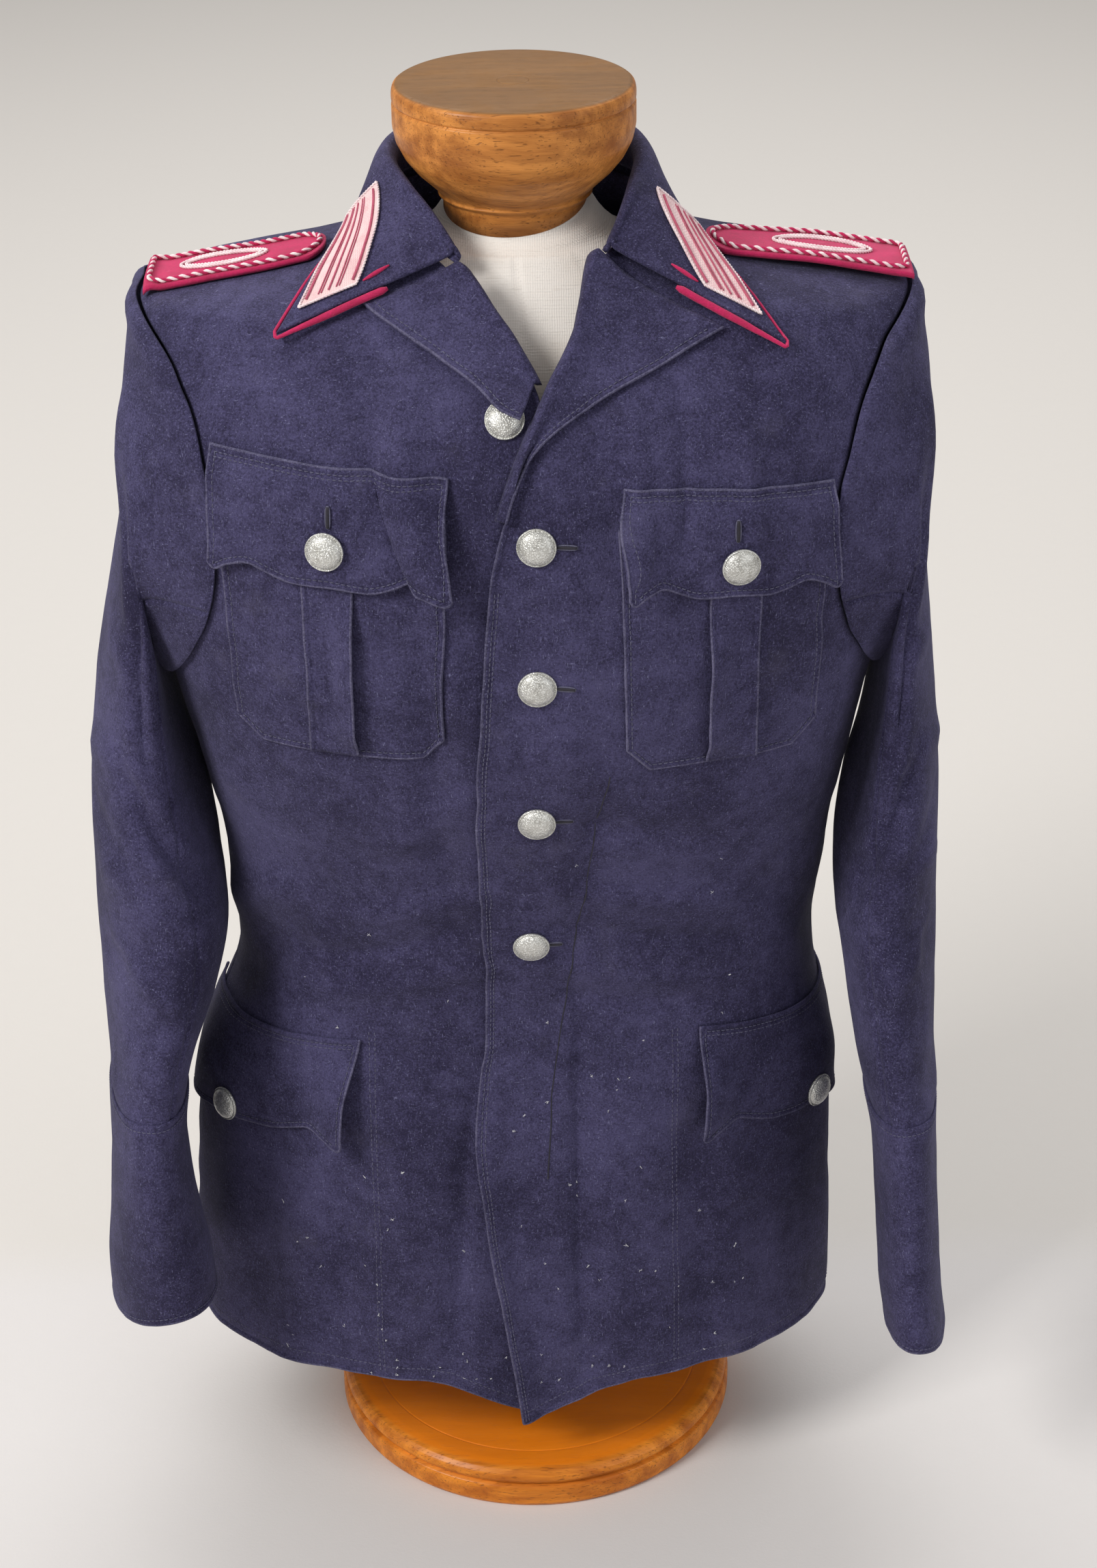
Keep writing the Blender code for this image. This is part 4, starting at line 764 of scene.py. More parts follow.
def joined(parts: Sequence[tuple[Array, Sequence]]) -> tuple[Array, list]:
    """Several sets of points and faces as one.

    Args:
        parts: the sets.

    Returns:
        Points and faces.
    """
    vertices, faces, start = [], [], 0
    for points, part_faces in parts:
        vertices.append(np.asarray(points, float))
        faces += [[int(v) + start for v in face] for face in part_faces]
        start += len(points)
    return np.concatenate(vertices), faces


class Value:
    """A node's output that takes part in Python expressions."""

    def __init__(self, shade: "Shade", socket: bpy.types.NodeSocket) -> None:
        """Keep the tree and the socket."""
        self.shade = shade
        self.socket = socket

    def _math(self, operation: str, first: "Value | float", second: "Value | float" = 0.0) -> "Value":
        """One Math node."""
        return self.shade.node("ShaderNodeMath", {"operation": operation}, {0: first, 1: second})

    def __add__(self, other: "Value | float") -> "Value":
        """Sum."""
        return self._math("ADD", self, other)

    __radd__ = __add__

    def __sub__(self, other: "Value | float") -> "Value":
        """Difference."""
        return self._math("SUBTRACT", self, other)

    def __rsub__(self, other: float) -> "Value":
        """A number less this."""
        return self._math("SUBTRACT", other, self)

    def __mul__(self, other: "Value | float") -> "Value":
        """Product."""
        return self._math("MULTIPLY", self, other)

    __rmul__ = __mul__

    def clamp(self) -> "Value":
        """Kept between 0 and 1."""
        return self._math("MINIMUM", self._math("MAXIMUM", self, 0.0), 1.0)

    def wave(self) -> "Value":
        """Sine of this."""
        return self._math("SINE", self)


class Shade:
    """A material's node tree, made from Python expressions."""

    def __init__(self, name: str) -> None:
        """Start with an empty Principled material.

        Args:
            name: the material's name.
        """
        self.material = bpy.data.materials.new(name)
        self.material.use_nodes = True
        self.nodes = self.material.node_tree.nodes
        self.links = self.material.node_tree.links
        self.shader = self.nodes["Principled BSDF"]

    def node(self, kind: str, settings: dict, sockets: dict, output: int | str = 0) -> Value:
        """Make any node.

        Args:
            kind: Blender's node type.
            settings: the node's own properties, which are set first.
            sockets: values or links of its inputs.
            output: which output to give back.

        Returns:
            The output as a value.
        """
        node = self.nodes.new(kind)
        for key, setting in settings.items():
            setattr(node, key, setting)
        for key, value in sockets.items():
            if isinstance(value, Value):
                self.links.new(value.socket, node.inputs[key])
            else:
                node.inputs[key].default_value = value
        return Value(self, node.outputs[output])

    def place(self, scale: Sequence[float] = (1, 1, 1), bend: "Value | None" = None) -> Value:
        """Object coordinates in metres, stretched, with a bend added.

        Args:
            scale: factor of each axis.
            bend: what is added first.

        Returns:
            The coordinates.
        """
        coords = self.node("ShaderNodeTexCoord", {}, {}, "Object")
        if bend is not None:
            coords = self.node("ShaderNodeVectorMath", {"operation": "ADD"}, {0: coords, 1: bend})
        return self.node("ShaderNodeVectorMath", {"operation": "MULTIPLY"}, {0: coords, 1: tuple(scale)})

    def noise(self, scale: float, detail: float = 2.0, stretch: Sequence[float] = (1, 1, 1),
              roughness: float = 0.55, output: str = "Fac") -> Value:
        """Noise over the object, 0 to 1."""
        sockets = {"Vector": self.place(stretch), "Scale": scale, "Detail": detail, "Roughness": roughness}
        return self.node("ShaderNodeTexNoise", {}, sockets, output)

    def axis(self, letter: str) -> Value:
        """One coordinate of the place on the object."""
        coords = self.node("ShaderNodeTexCoord", {}, {}, "Object")
        return self.node("ShaderNodeSeparateXYZ", {}, {0: coords}, letter)

    def step(self, value: Value, low: float, high: float) -> Value:
        """0 below low, 1 above high and an even rise between."""
        settings = {"interpolation_type": "SMOOTHSTEP"}
        return self.node("ShaderNodeMapRange", settings, {0: value, 1: low, 2: high, 3: 0.0, 4: 1.0})

    def mix(self, factor: "Value | float", a: "Value | Sequence", b: "Value | Sequence") -> Value:
        """Colour a going over to colour b."""
        colour = [c if isinstance(c, Value) else (*c[:3], 1.0) for c in (a, b)]
        return self.node("ShaderNodeMix", {"data_type": "RGBA"}, {0: factor, 6: colour[0], 7: colour[1]}, 2)

    def bump(self, height: Value, distance: float, strength: float, normal: "Value | None" = None) -> Value:
        """A Bump node.

        Args:
            height: the relief.
            distance: what a height of 1 means, in metres.
            strength: share of it.
            normal: a coarser relief below.

        Returns:
            The new normal.
        """
        sockets = {"Height": height, "Distance": distance, "Strength": strength}
        if normal is not None:
            sockets["Normal"] = normal
        return self.node("ShaderNodeBump", {}, sockets)

    def finish(self, **sockets: "Value | float | Sequence") -> bpy.types.Material:
        """Set the shader's sockets; a name's underscores stand for spaces.

        Args:
            sockets: a value or link for each.

        Returns:
            The material.
        """
        for name, value in sockets.items():
            socket = self.shader.inputs[name.replace("_", " ")]
            if isinstance(value, Value):
                self.links.new(value.socket, socket)
            else:
                socket.default_value = value
        return self.material


@dataclass(frozen=True)
class Wool:
    """Milled uniform wool: heathered navy violet with pale fibre flecks and a dull nap."""

    name: str = "navy_wool"
    deep: tuple = (0.0175, 0.0145, 0.042)
    heather: tuple = (0.072, 0.065, 0.148)
    fleck: tuple = (0.19, 0.19, 0.33)
    fleck_share: float = 0.62

    def material(self) -> bpy.types.Material:
        """Build the wool.

        Returns:
            The material.
        """
        s = Shade(self.name)
        cloud = s.noise(11.0, 3.0)
        mottle = s.noise(95.0, 4.0, roughness=0.65)
        grit = s.noise(760.0, 3.0, roughness=0.75)
        down = s.noise(1.0, 2.0, (1500, 1500, 330))
        over = s.noise(1.0, 2.0, (360, 360, 1500))
        tone = cloud * 0.62 + mottle * 0.4 + grit * 0.85 - 0.45
        base = s.mix(s.step(tone, 0.28, 0.74), self.deep, self.heather)
        fibres = s.step(down, 0.62, 0.74) + s.step(over, 0.64, 0.76)
        colour = s.mix((fibres * self.fleck_share).clamp(), base, self.fleck)
        worn = s.step(s.noise(26.0, 3.0), 0.58, 0.8) * 0.16
        colour = s.mix(worn, colour, (0.12, 0.112, 0.165))
        nap = s.bump(grit * 0.6 + down * 0.5 + over * 0.4, 0.0008, 0.75)
        lie = s.bump(mottle, 0.0012, 0.35, nap)
        return s.finish(Base_Color=colour, Roughness=0.62 + grit * 0.55, Normal=lie, Sheen_Weight=0.1,
                        Sheen_Roughness=0.45, Sheen_Tint=(0.62, 0.62, 0.82, 1.0), Specular_IOR_Level=0.22)


@dataclass(frozen=True)
class Felt:
    """Dense dyed felt with short loose fibres."""

    name: str = "magenta_felt"
    deep: tuple = (0.33, 0.0045, 0.052)
    light: tuple = (0.62, 0.01, 0.115)

    def material(self) -> bpy.types.Material:
        """Build the felt.

        Returns:
            The material.
        """
        s = Shade(self.name)
        fibre = s.noise(620.0, 4.0, (1.0, 2.2, 1.6), 0.72)
        cloud = s.noise(70.0, 3.0)
        tone = fibre * 0.7 + cloud * 0.5 - 0.1
        colour = s.mix(s.step(tone, 0.25, 0.78), self.deep, self.light)
        dust = s.step(s.noise(240.0, 3.0), 0.62, 0.8) * 0.14
        colour = s.mix(dust, colour, (0.62, 0.3, 0.38))
        return s.finish(Base_Color=colour, Roughness=0.7 + fibre * 0.35, Normal=s.bump(fibre, 0.0006, 0.6),
                        Sheen_Weight=0.25, Sheen_Roughness=0.5, Sheen_Tint=(1.0, 0.45, 0.6, 1.0))


@dataclass(frozen=True)
class Yarn:
    """Spun yarn, as in braid, cord and stitching: fine fibres, and shade where it is soiled."""

    name: str
    colour: tuple
    soiled: tuple
    grain: float = 1400.0
    sheen: float = 0.15
    roughness: float = 0.62

    def material(self) -> bpy.types.Material:
        """Build the yarn.

        Returns:
            The material.
        """
        s = Shade(self.name)
        fibre = s.noise(self.grain, 3.0, (1.0, 1.0, 0.5), 0.7)
        soil = s.noise(130.0, 3.0)
        colour = s.mix(s.step(soil * 0.6 + fibre * 0.5, 0.38, 0.78), self.colour, self.soiled)
        return s.finish(Base_Color=colour, Roughness=self.roughness + fibre * 0.25 - 0.1,
                        Normal=s.bump(fibre, 0.00035, 0.6), Sheen_Weight=self.sheen, Sheen_Roughness=0.4)


@dataclass(frozen=True)
class RibbedBraid:
    """Woven collar braid: pale ground with fine cross ribs."""

    name: str = "pale_braid"
    ground: tuple = (0.86, 0.66, 0.65)
    shade: tuple = (0.66, 0.36, 0.39)

    def material(self) -> bpy.types.Material:
        """Build the braid.

        Returns:
            The material.
        """
        s = Shade(self.name)
        ribs = (s.axis("X") * 5200.0 + s.noise(300.0) * 2.0).wave() * 0.5 + 0.5
        picks = (s.axis("Z") * 6200.0 + s.noise(260.0) * 2.0).wave() * 0.5 + 0.5
        weave = ribs * picks
        soil = s.step(s.noise(110.0, 3.0), 0.45, 0.75)
        colour = s.mix(soil * 0.45 + (1 - weave) * 0.35, self.ground, self.shade)
        return s.finish(Base_Color=colour, Roughness=0.52 + weave * 0.2, Normal=s.bump(weave, 0.0003, 0.7),
                        Sheen_Weight=0.2, Sheen_Roughness=0.35)


@dataclass(frozen=True)
class VarnishedWood:
    """Turned hardwood under orange-brown varnish, with long grain, pores and ring marks of the tool."""

    name: str
    dark: tuple
    light: tuple
    # Flat tone of the top face: painted light and shade for how light falls there.
    top: tuple
    top_z: float
    coat: float = 0.25

    def material(self) -> bpy.types.Material:
        """Build the wood.

        Returns:
            The material.
        """
        s = Shade(self.name)
        sway = s.noise(9.0, 2.0, output="Color")
        bend = s.node("ShaderNodeVectorMath", {"operation": "SCALE"}, {0: sway, "Scale": 0.035})
        grain_place = s.place((9.0, 125.0, 95.0), bend)
        bands = s.node("ShaderNodeTexNoise", {}, {"Vector": grain_place, "Scale": 1.0, "Detail": 4.0,
                                                  "Roughness": 0.6})
        pores = s.noise(1.0, 2.0, (90.0, 1300.0, 900.0))
        cloud = s.noise(14.0, 2.0)
        tone = bands * 0.95 + cloud * 0.25 - 0.12
        colour = s.mix(s.step(tone, 0.26, 0.72), self.dark, self.light)
        colour = s.mix(s.step(pores, 0.56, 0.7) * 0.62, colour, tuple(0.4 * c for c in self.dark))
        # Painted light and shade: the top face takes a flat tone of its own, set for how the light falls on it.
        colour = s.mix(s.step(s.axis("Z"), self.top_z - 0.0012, self.top_z) * 0.84, colour, self.top)
        smudge = s.step(s.noise(38.0, 3.0), 0.42, 0.7)
        turned = (s.axis("Z") * 5600.0 + bands * 3.0).wave()
        height = bands * 0.5 - s.step(pores, 0.6, 0.74) * 0.8 + turned * 0.1
        return s.finish(Base_Color=colour, Roughness=0.36 + smudge * 0.16, Normal=s.bump(height, 0.0003, 0.6),
                        Coat_Weight=self.coat, Coat_Roughness=0.22,
                        Specular_IOR_Level=0.2)


@dataclass(frozen=True)
class Linen:
    """Off-white linen of the torso, plain weave, a little yellowed."""

    name: str = "white_linen"
    clean: tuple = (0.88, 0.835, 0.785)
    aged: tuple = (0.74, 0.67, 0.59)

    def material(self) -> bpy.types.Material:
        """Build the linen.

        Returns:
            The material.
        """
        s = Shade(self.name)
        warp = (s.axis("X") * 4600.0 + s.noise(180.0) * 5.0).wave() * 0.5 + 0.5
        weft = (s.axis("Z") * 4600.0 + s.noise(190.0) * 5.0).wave() * 0.5 + 0.5
        depth = (s.axis("Y") * 4600.0 + s.noise(170.0) * 5.0).wave() * 0.5 + 0.5
        weave = (warp + weft + depth) * 0.34
        slub = s.step(s.noise(1.0, 2.0, (60.0, 60.0, 900.0)), 0.6, 0.76)
        aged = s.step(s.noise(16.0, 3.0), 0.42, 0.74)
        # Yellowing and slubs are the linen's own; the (1 - weave) term darkens the weave's hollows as painted
        # shade.
        colour = s.mix(aged * 0.6 + slub * 0.2 + (1 - weave) * 0.15, self.clean, self.aged)
        return s.finish(Base_Color=colour, Roughness=0.8 + weave * 0.12,
                        Normal=s.bump(weave + slub * 0.8, 0.00035, 0.6), Sheen_Weight=0.15)


@dataclass(frozen=True)
class SilveredMetal:
    """Silver-white metal of the buttons: pebbled dome, greyer in the hollows."""

    name: str = "silver_metal"
    bright: tuple = (0.86, 0.865, 0.83)
    tarnish: tuple = (0.36, 0.35, 0.32)

    def material(self) -> bpy.types.Material:
        """Build the metal.

        Returns:
            The material.
        """
        s = Shade(self.name)
        cells = s.node("ShaderNodeTexVoronoi", {"feature": "SMOOTH_F1"},
                       {"Vector": s.place(), "Scale": 1050.0, "Smoothness": 0.6}, "Distance")
        pits = s.step(cells, 0.2, 0.62)
        dull = s.step(s.noise(150.0, 4.0), 0.45, 0.72)
        colour = s.mix(pits * 0.55 + dull * 0.3, self.bright, self.tarnish)
        return s.finish(Base_Color=colour, Metallic=0.62 + dull * 0.2, Normal=s.bump(1 - pits, 0.00028, 0.8),
                        Roughness=0.3 + dull * 0.22 + pits * 0.1)


@dataclass(frozen=True)
class PaintedPost:
    """Grey painted steel of the post, rubbed and dusty."""

    name: str = "painted_post"

    def material(self) -> bpy.types.Material:
        """Build the paint.

        Returns:
            The material.
        """
        s = Shade(self.name)
        rub = s.step(s.noise(60.0, 4.0, (1.0, 1.0, 0.2)), 0.55, 0.72)
        peel = s.noise(900.0, 2.0)
        colour = s.mix(rub * 0.7, (0.085, 0.08, 0.076), (0.23, 0.215, 0.2))
        return s.finish(Base_Color=colour, Roughness=0.34 + rub * 0.3, Metallic=rub * 0.5,
                        Normal=s.bump(peel + rub, 0.00012, 0.5))


@dataclass(frozen=True)
class Backdrop:
    """Pale studio floor with a faint mottle, a little darker far behind the stand."""

    name: str = "pale_floor"
    near: tuple = (0.7, 0.672, 0.658)
    far: tuple = (0.68, 0.648, 0.612)

    def material(self) -> bpy.types.Material:
        """Build the floor.

        Returns:
            The material.
        """
        s = Shade(self.name)
        away = s.step(s.axis("Y") + s.noise(2.0) * 0.05, 0.12, 0.21)
        dust = s.noise(70.0, 4.0) * 0.05
        colour = s.mix(away, self.near, self.far)
        colour = s.mix(dust, colour, (0.45, 0.43, 0.41))
        grit = s.bump(s.noise(420.0, 3.0), 0.0004, 0.3)
        return s.finish(Base_Color=colour, Roughness=0.75 + dust, Normal=grit, Specular_IOR_Level=0.2)


@dataclass(frozen=True)
class Finishes:
    """Every material of the scene, built once."""

    wool: bpy.types.Material
    # A paler copy of the wool for the edge rolls: partly nap paled by wear, partly painted highlight along the
    # turned edges.
    worn: bpy.types.Material
    felt: bpy.types.Material
    braid: bpy.types.Material
    stripe: bpy.types.Material
    cord: bpy.types.Material
    thread: bpy.types.Material
    # Near-black: painted shade for the buttonhole slits and the dart seam's groove.
    slit: bpy.types.Material
    lint: bpy.types.Material
    linen: bpy.types.Material
    metal: bpy.types.Material
    cap_wood: bpy.types.Material
    base_wood: bpy.types.Material
    post: bpy.types.Material
    floor: bpy.types.Material

    @classmethod
    def build(cls) -> "Finishes":
        """Make them all.

        Returns:
            The materials.
        """
        return cls(
            wool=Wool().material(),
            # Paler wool for the edge rolls: partly nap paled by wear, partly painted highlight where the turned
            # edges catch the light.
            worn=Wool("worn_wool", (0.045, 0.042, 0.085), (0.135, 0.126, 0.215), (0.26, 0.26, 0.4)).material(),
            felt=Felt().material(), braid=RibbedBraid().material(),
            stripe=Yarn("rose_stripe", (0.5, 0.09, 0.16), (0.33, 0.045, 0.09)).material(),
            cord=Yarn("pale_cord", (0.88, 0.79, 0.79), (0.7, 0.47, 0.51)).material(),
            thread=Yarn("navy_thread", (0.11, 0.108, 0.18), (0.05, 0.048, 0.085)).material(),
            # Near-black strands: painted shade, standing for the open buttonhole slits and the groove of the
            # dart's seam.
            slit=Yarn("slit_and_groove_shade", (0.016, 0.014, 0.026), (0.006, 0.005, 0.01)).material(),
            lint=Yarn("white_lint", (0.7, 0.7, 0.73), (0.42, 0.42, 0.48)).material(),
            linen=Linen().material(), metal=SilveredMetal().material(),
            # Each wood's third colour is the flat tone of its top face: painted light and shade for how the
            # light falls there.
            cap_wood=VarnishedWood("cap_wood", (0.33, 0.112, 0.024), (0.7, 0.285, 0.066),
                                   (0.14, 0.066, 0.01), 0.9551, 0.04).material(),
            base_wood=VarnishedWood("base_wood", (0.46, 0.12, 0.01), (0.85, 0.29, 0.03),
                                    (0.79, 0.2, 0.004), 0.0296, 0.12).material(),
            post=PaintedPost().material(), floor=Backdrop().material())


def seat(obj: bpy.types.Object, slot: str, *nodes: str) -> bpy.types.Object:
    """Let a piece ride on the stand and hide the CAD nodes that it stands for.

    Args:
        obj: the finished piece.
        slot: not used.
        nodes: CAD nodes it stands for.

    Returns:
        The piece.
    """
    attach(obj, "root")
    if nodes:
        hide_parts(*nodes)
    return obj


@dataclass
class ClothPiece:
    """A cut piece of cloth: place(s, t, depth) over the unit square, with its four edges' finish.

    The edges are those at s = 0, s = 1, t = 0 and t = 1. The piece is a closed shell whose turned
    edges are rounded and dip along their stitching, and whose seams sink towards the neighbour.
    """

    name: str
    place: Place
    thickness: float
    edges: tuple
    step: float = 0.0058
    closed: bool = False
    lengths: Array = field(init=False)
    widths: Array = field(init=False)
    area: float = field(init=False)

    MARKS = {
        TURNED: (0.0, 0.0003, 0.0008, 0.0016, 0.0026, 0.0036, 0.0042, 0.0048, 0.0058, 0.0072),
        SEAM: (0.0, 0.0006, 0.0014, 0.0024, 0.0036, 0.005),
        PLAIN: (0.0,),
    }

    def __post_init__(self) -> None:
        """Measure the piece on a coarse grid."""
        s, t = np.meshgrid(MEASURES, MEASURES, indexing="ij")
        middle = self.place(s, t, np.full(s.shape, 0.5 * self.thickness))
        self.widths = np.linalg.norm(np.diff(middle, axis=0), axis=-1).sum(0)
        self.lengths = np.linalg.norm(np.diff(middle, axis=1), axis=-1).sum(1)
        first, second = np.diff(middle, axis=0)[:, :-1], np.diff(middle, axis=1)[:-1]
        self.area = float(np.linalg.norm(np.cross(first, second), axis=-1).sum())

    def marks(self, size: float, count: int, low: EdgeKind, high: EdgeKind) -> Array:
        """Places of grid lines from 0 to 1, close together along finished edges.

        Args:
            size: length of the run.
            count: lines in the open middle.
            low: finish of the edge at 0.
            high: finish of the edge at 1.

        Returns:
            The places.
        """
        start, end = np.array(self.MARKS[low]), np.array(self.MARKS[high])
        shrink = min(1.0, 0.42 * size / max(start[-1] + end[-1], 1e-9))
        start, end = start * shrink, end * shrink
        middle = np.linspace(start[-1], size - end[-1], count + 2)[1:-1]
        return np.concatenate([start, middle, size - end[::-1]]) / size

    def grid(self) -> tuple[Array, Array]:
        """Both parameters of every grid point.

        Returns:
            s and t, each as (column, row).
        """
        size = float(np.median(self.lengths))
        t = self.marks(size, max(2, int(size / self.step)), self.edges[2], self.edges[3])
        widths = np.interp(t, MEASURES, self.widths)
        if self.closed:
            count = int(self.widths.max() / self.step)
            s = np.repeat(np.linspace(0, 1, count, endpoint=False)[:, None], len(t), axis=1)
        else:
            count = max(2, int(self.widths.max() / self.step))
            s = np.stack([self.marks(max(w, 0.004), count, self.edges[0], self.edges[1]) for w in widths], 1)
        return s, np.broadcast_to(t, s.shape)

    @staticmethod
    def relief(kind: EdgeKind, distance: Array, thickness: float) -> tuple[Array, Array]:
        """How far the outer and the inner face come in at a distance from an edge.

        Args:
            kind: the edge's finish.
            distance: from the edge.
            thickness: of the cloth.

        Returns:
            How far each face comes in.
        """
        if kind is PLAIN:
            return 0 * distance, 0 * distance
        if kind is SEAM:
            groove = 0.001 * (1 - smoothstep(distance / 0.0026))
            swell = 0.0003 * np.exp(-(((distance - 0.004) / 0.0016) ** 2))
            return groove - swell, 0 * distance
        x = np.clip(distance / (0.62 * thickness), 0.0, 1.0)
        turn = 0.46 * thickness * (1 - np.sqrt(np.maximum(1 - (1 - x) ** 2, 0.0)))
        valley = 0.0005 * np.exp(-(((distance - 0.0042) / 0.001) ** 2))
        swell = 0.0003 * np.exp(-(((distance - 0.0022) / 0.0013) ** 2))
        return turn + valley - swell, turn

    def faces(self) -> tuple[Array, Array]:
        """The inner and outer faces' points, relief included.

        Returns:
            Both as (column, row, 3).
        """
        s, t = self.grid()
        middle = self.place(s, t, np.full(s.shape, 0.5 * self.thickness))
        across = np.linalg.norm(np.diff(middle, axis=0), axis=-1)
        along = np.linalg.norm(np.diff(middle, axis=1), axis=-1)
        from_left = np.concatenate([np.zeros((1, s.shape[1])), np.cumsum(across, axis=0)])
        from_low = np.concatenate([np.zeros((s.shape[0], 1)), np.cumsum(along, axis=1)], axis=1)
        distances = (from_left, from_left[-1:] - from_left, from_low, from_low[:, -1:] - from_low)
        drop, rise = np.zeros(s.shape), np.zeros(s.shape)
        for kind, distance in zip(self.edges, distances):
            outer, inner = self.relief(kind, distance, self.thickness)
            drop = np.where(outer > 0, np.maximum(drop, outer), drop + np.minimum(outer, 0.0) * (drop < 1e-5))
            rise = np.maximum(rise, inner)
        drop = np.minimum(drop, 0.47 * self.thickness + 0.0008 * (drop > 0.47 * self.thickness) * (rise < 1e-9))
        return self.place(s, t, rise), self.place(s, t, self.thickness - drop)

    def build(self, material: bpy.types.Material) -> bpy.types.Object:
        """Make the piece's mesh in its material.

        Args:
            material: the cloth.

        Returns:
            The piece.
        """
        inner, outer = self.faces()
        vertices, faces = closed_shell(inner, outer, self.closed)
        return mesh_object(self.name, vertices, faces, [material])

    def sewn(self, material: bpy.types.Material, node: str, held: str, *rests_on: str) -> bpy.types.Object:
        """Args:
            material: the cloth.
            node: the CAD node that it stands for.
            held: not used.
            rests_on: not used.

        Returns:
            The piece.
        """
        obj = seat(self.build(material), "wool", node)
        return obj

    def line(self, edge: int, inset: float, start: float = 0.0, end: float = 1.0, lift: float = 0.0,
             count: int = 160) -> tuple[Array, Array]:
        """A line on the outer face, beside an edge.

        Args:
            edge: 0 to 3, as the edges are listed.
            inset: distance from that edge.
            start: where it starts along the edge, 0 to 1.
            end: where it ends.
            lift: how far above the face.
            count: how many points.

        Returns:
            Points and the face's outward directions.
        """
        along = np.linspace(start, end, count)
        if edge < 2:
            share = inset / np.interp(along, MEASURES, self.widths)
            s, t = (share if edge == 0 else 1 - share), along
        else:
            share = inset / np.interp(along, MEASURES, self.lengths)
            s, t = along, (share if edge == 2 else 1 - share)
        return self.on_face(s, t, lift)

    def on_face(self, s: Array, t: Array, lift: float = 0.0) -> tuple[Array, Array]:
        """Points a lift above the outer face, and its outward directions.

        Args:
            s: across the piece.
            t: along it.
            lift: above the face.

        Returns:
            Points and directions.
        """
        depth = np.full(np.shape(s), self.thickness + lift)
        points = self.place(s, t, depth)
        return points, unit(self.place(s, t, depth + 0.002) - points)


@dataclass
class Stitching:
    """Rows of hand and machine stitches that belong to one piece of the tunic."""

    name: str
    parts: list = field(default_factory=list)

    SHAPE = ((-0.5, 0.35, -0.9), (-0.36, 0.9, -0.1), (0.0, 1.0, 0.25), (0.36, 0.9, -0.1), (0.5, 0.35, -0.9))

    def row(self, points: Array, normals: Array, pitch: float = 0.0034, length: float = 0.0025,
            radius: float = 0.00032) -> None:
        """Add one row of stitches.

        Args:
            points: a path on the cloth's face.
            normals: the face's outward directions along it.
            pitch: from one stitch to the next.
            length: of a stitch.
            radius: of the thread.
        """
        gone = run_lengths(points)
        spots = np.arange(0.5 * pitch, gone[-1] - 0.4 * length, pitch)
        if not len(spots):
            return
        centre, normal = read_along(points, gone, spots), unit(read_along(normals, gone, spots))
        reach = 0.3 * length
        run = unit(read_along(points, gone, spots + reach) - read_along(points, gone, spots - reach))
        side = unit(np.cross(normal, run))
        turn = full_turn(6)
        grid = []
        for share, thick, sink in self.SHAPE:
            middle = centre + run * share * length + normal * sink * radius
            ring = np.cos(turn)[None, :, None] * side[:, None] + np.sin(turn)[None, :, None] * normal[:, None]
            grid.append(middle[:, None] + ring * thick * radius)
        grid = np.stack(grid, 2)
        bead = quad_sheet(6, 5, 0, True).tolist() + [[i * 5 for i in range(6)], [i * 5 + 4 for i in range(6)]]
        self.parts += [(stitch.reshape(-1, 3), bead) for stitch in grid]

    def build(self, material: bpy.types.Material) -> bpy.types.Object:
        """Make one piece of every row."""
        obj = mesh_object(self.name, *joined(self.parts), [material])
        return seat(obj, "cord")


@dataclass
class EdgeRolls:
    """Cloth rolled over the turned edges, in a paler wool: partly nap paled by wear, partly painted highlight
    along the edges.
    """

    name: str
    radius: float = 0.00085
    inset: float = 0.0008
    sink: float = 0.0004
    parts: list = field(default_factory=list)

    def add(self, piece: ClothPiece, edge: int, start: float = 0.0, end: float = 1.0, count: int = 110) -> None:
        """Add the roll of one edge of a piece.

        Args:
            piece: the piece of cloth.
            edge: 0 to 3, as the piece lists them.
            start: where the roll starts.
            end: where it ends.
            count: points along it.
        """
        path, _ = piece.line(edge, self.inset, start, end, -self.sink, count)
        uneven = 1 + 0.22 * lumps(path, 0.006, 61)
        uneven[[0, -1]] *= 0.4
        self.parts.append(tube(path, self.radius * uneven, 6))

    def build(self, material: bpy.types.Material) -> bpy.types.Object:
        """Make one piece of every roll."""
        return seat(mesh_object(self.name, *joined(self.parts), [material]), "wool")


FRONT_EDGES = {
    Side.LEFT: np.array([
        (0.06, 4.6), (0.11, 2.5), (0.169, -2.2), (0.235, -8.5), (0.308, -12.5), (0.4, -13.5),
        (0.49, -13.0), (0.629, -9.3), (0.71, -6.4), (0.742, -3.7), (0.776, 0.5), (0.808, 7.5),
        (0.835, 19.5), (0.85, 27.5), (0.86, 33.0), (0.869, 40.0), (0.877, 52.0), (0.8815, 68.0),
        (NECK_Z, 90.0),
    ]),
    Side.RIGHT: np.array([
        (0.06, 12.0), (0.3, 10.0), (0.7, 8.0), (0.776, 7.5), (0.792, 6.0), (0.808, 3.8),
        (0.831, -3.5), (0.848, -13.5), (0.86, -24.5), (0.869, -35.0), (0.877, -52.0),
        (0.8815, -68.0), (NECK_Z, -90.0),
    ]),
}
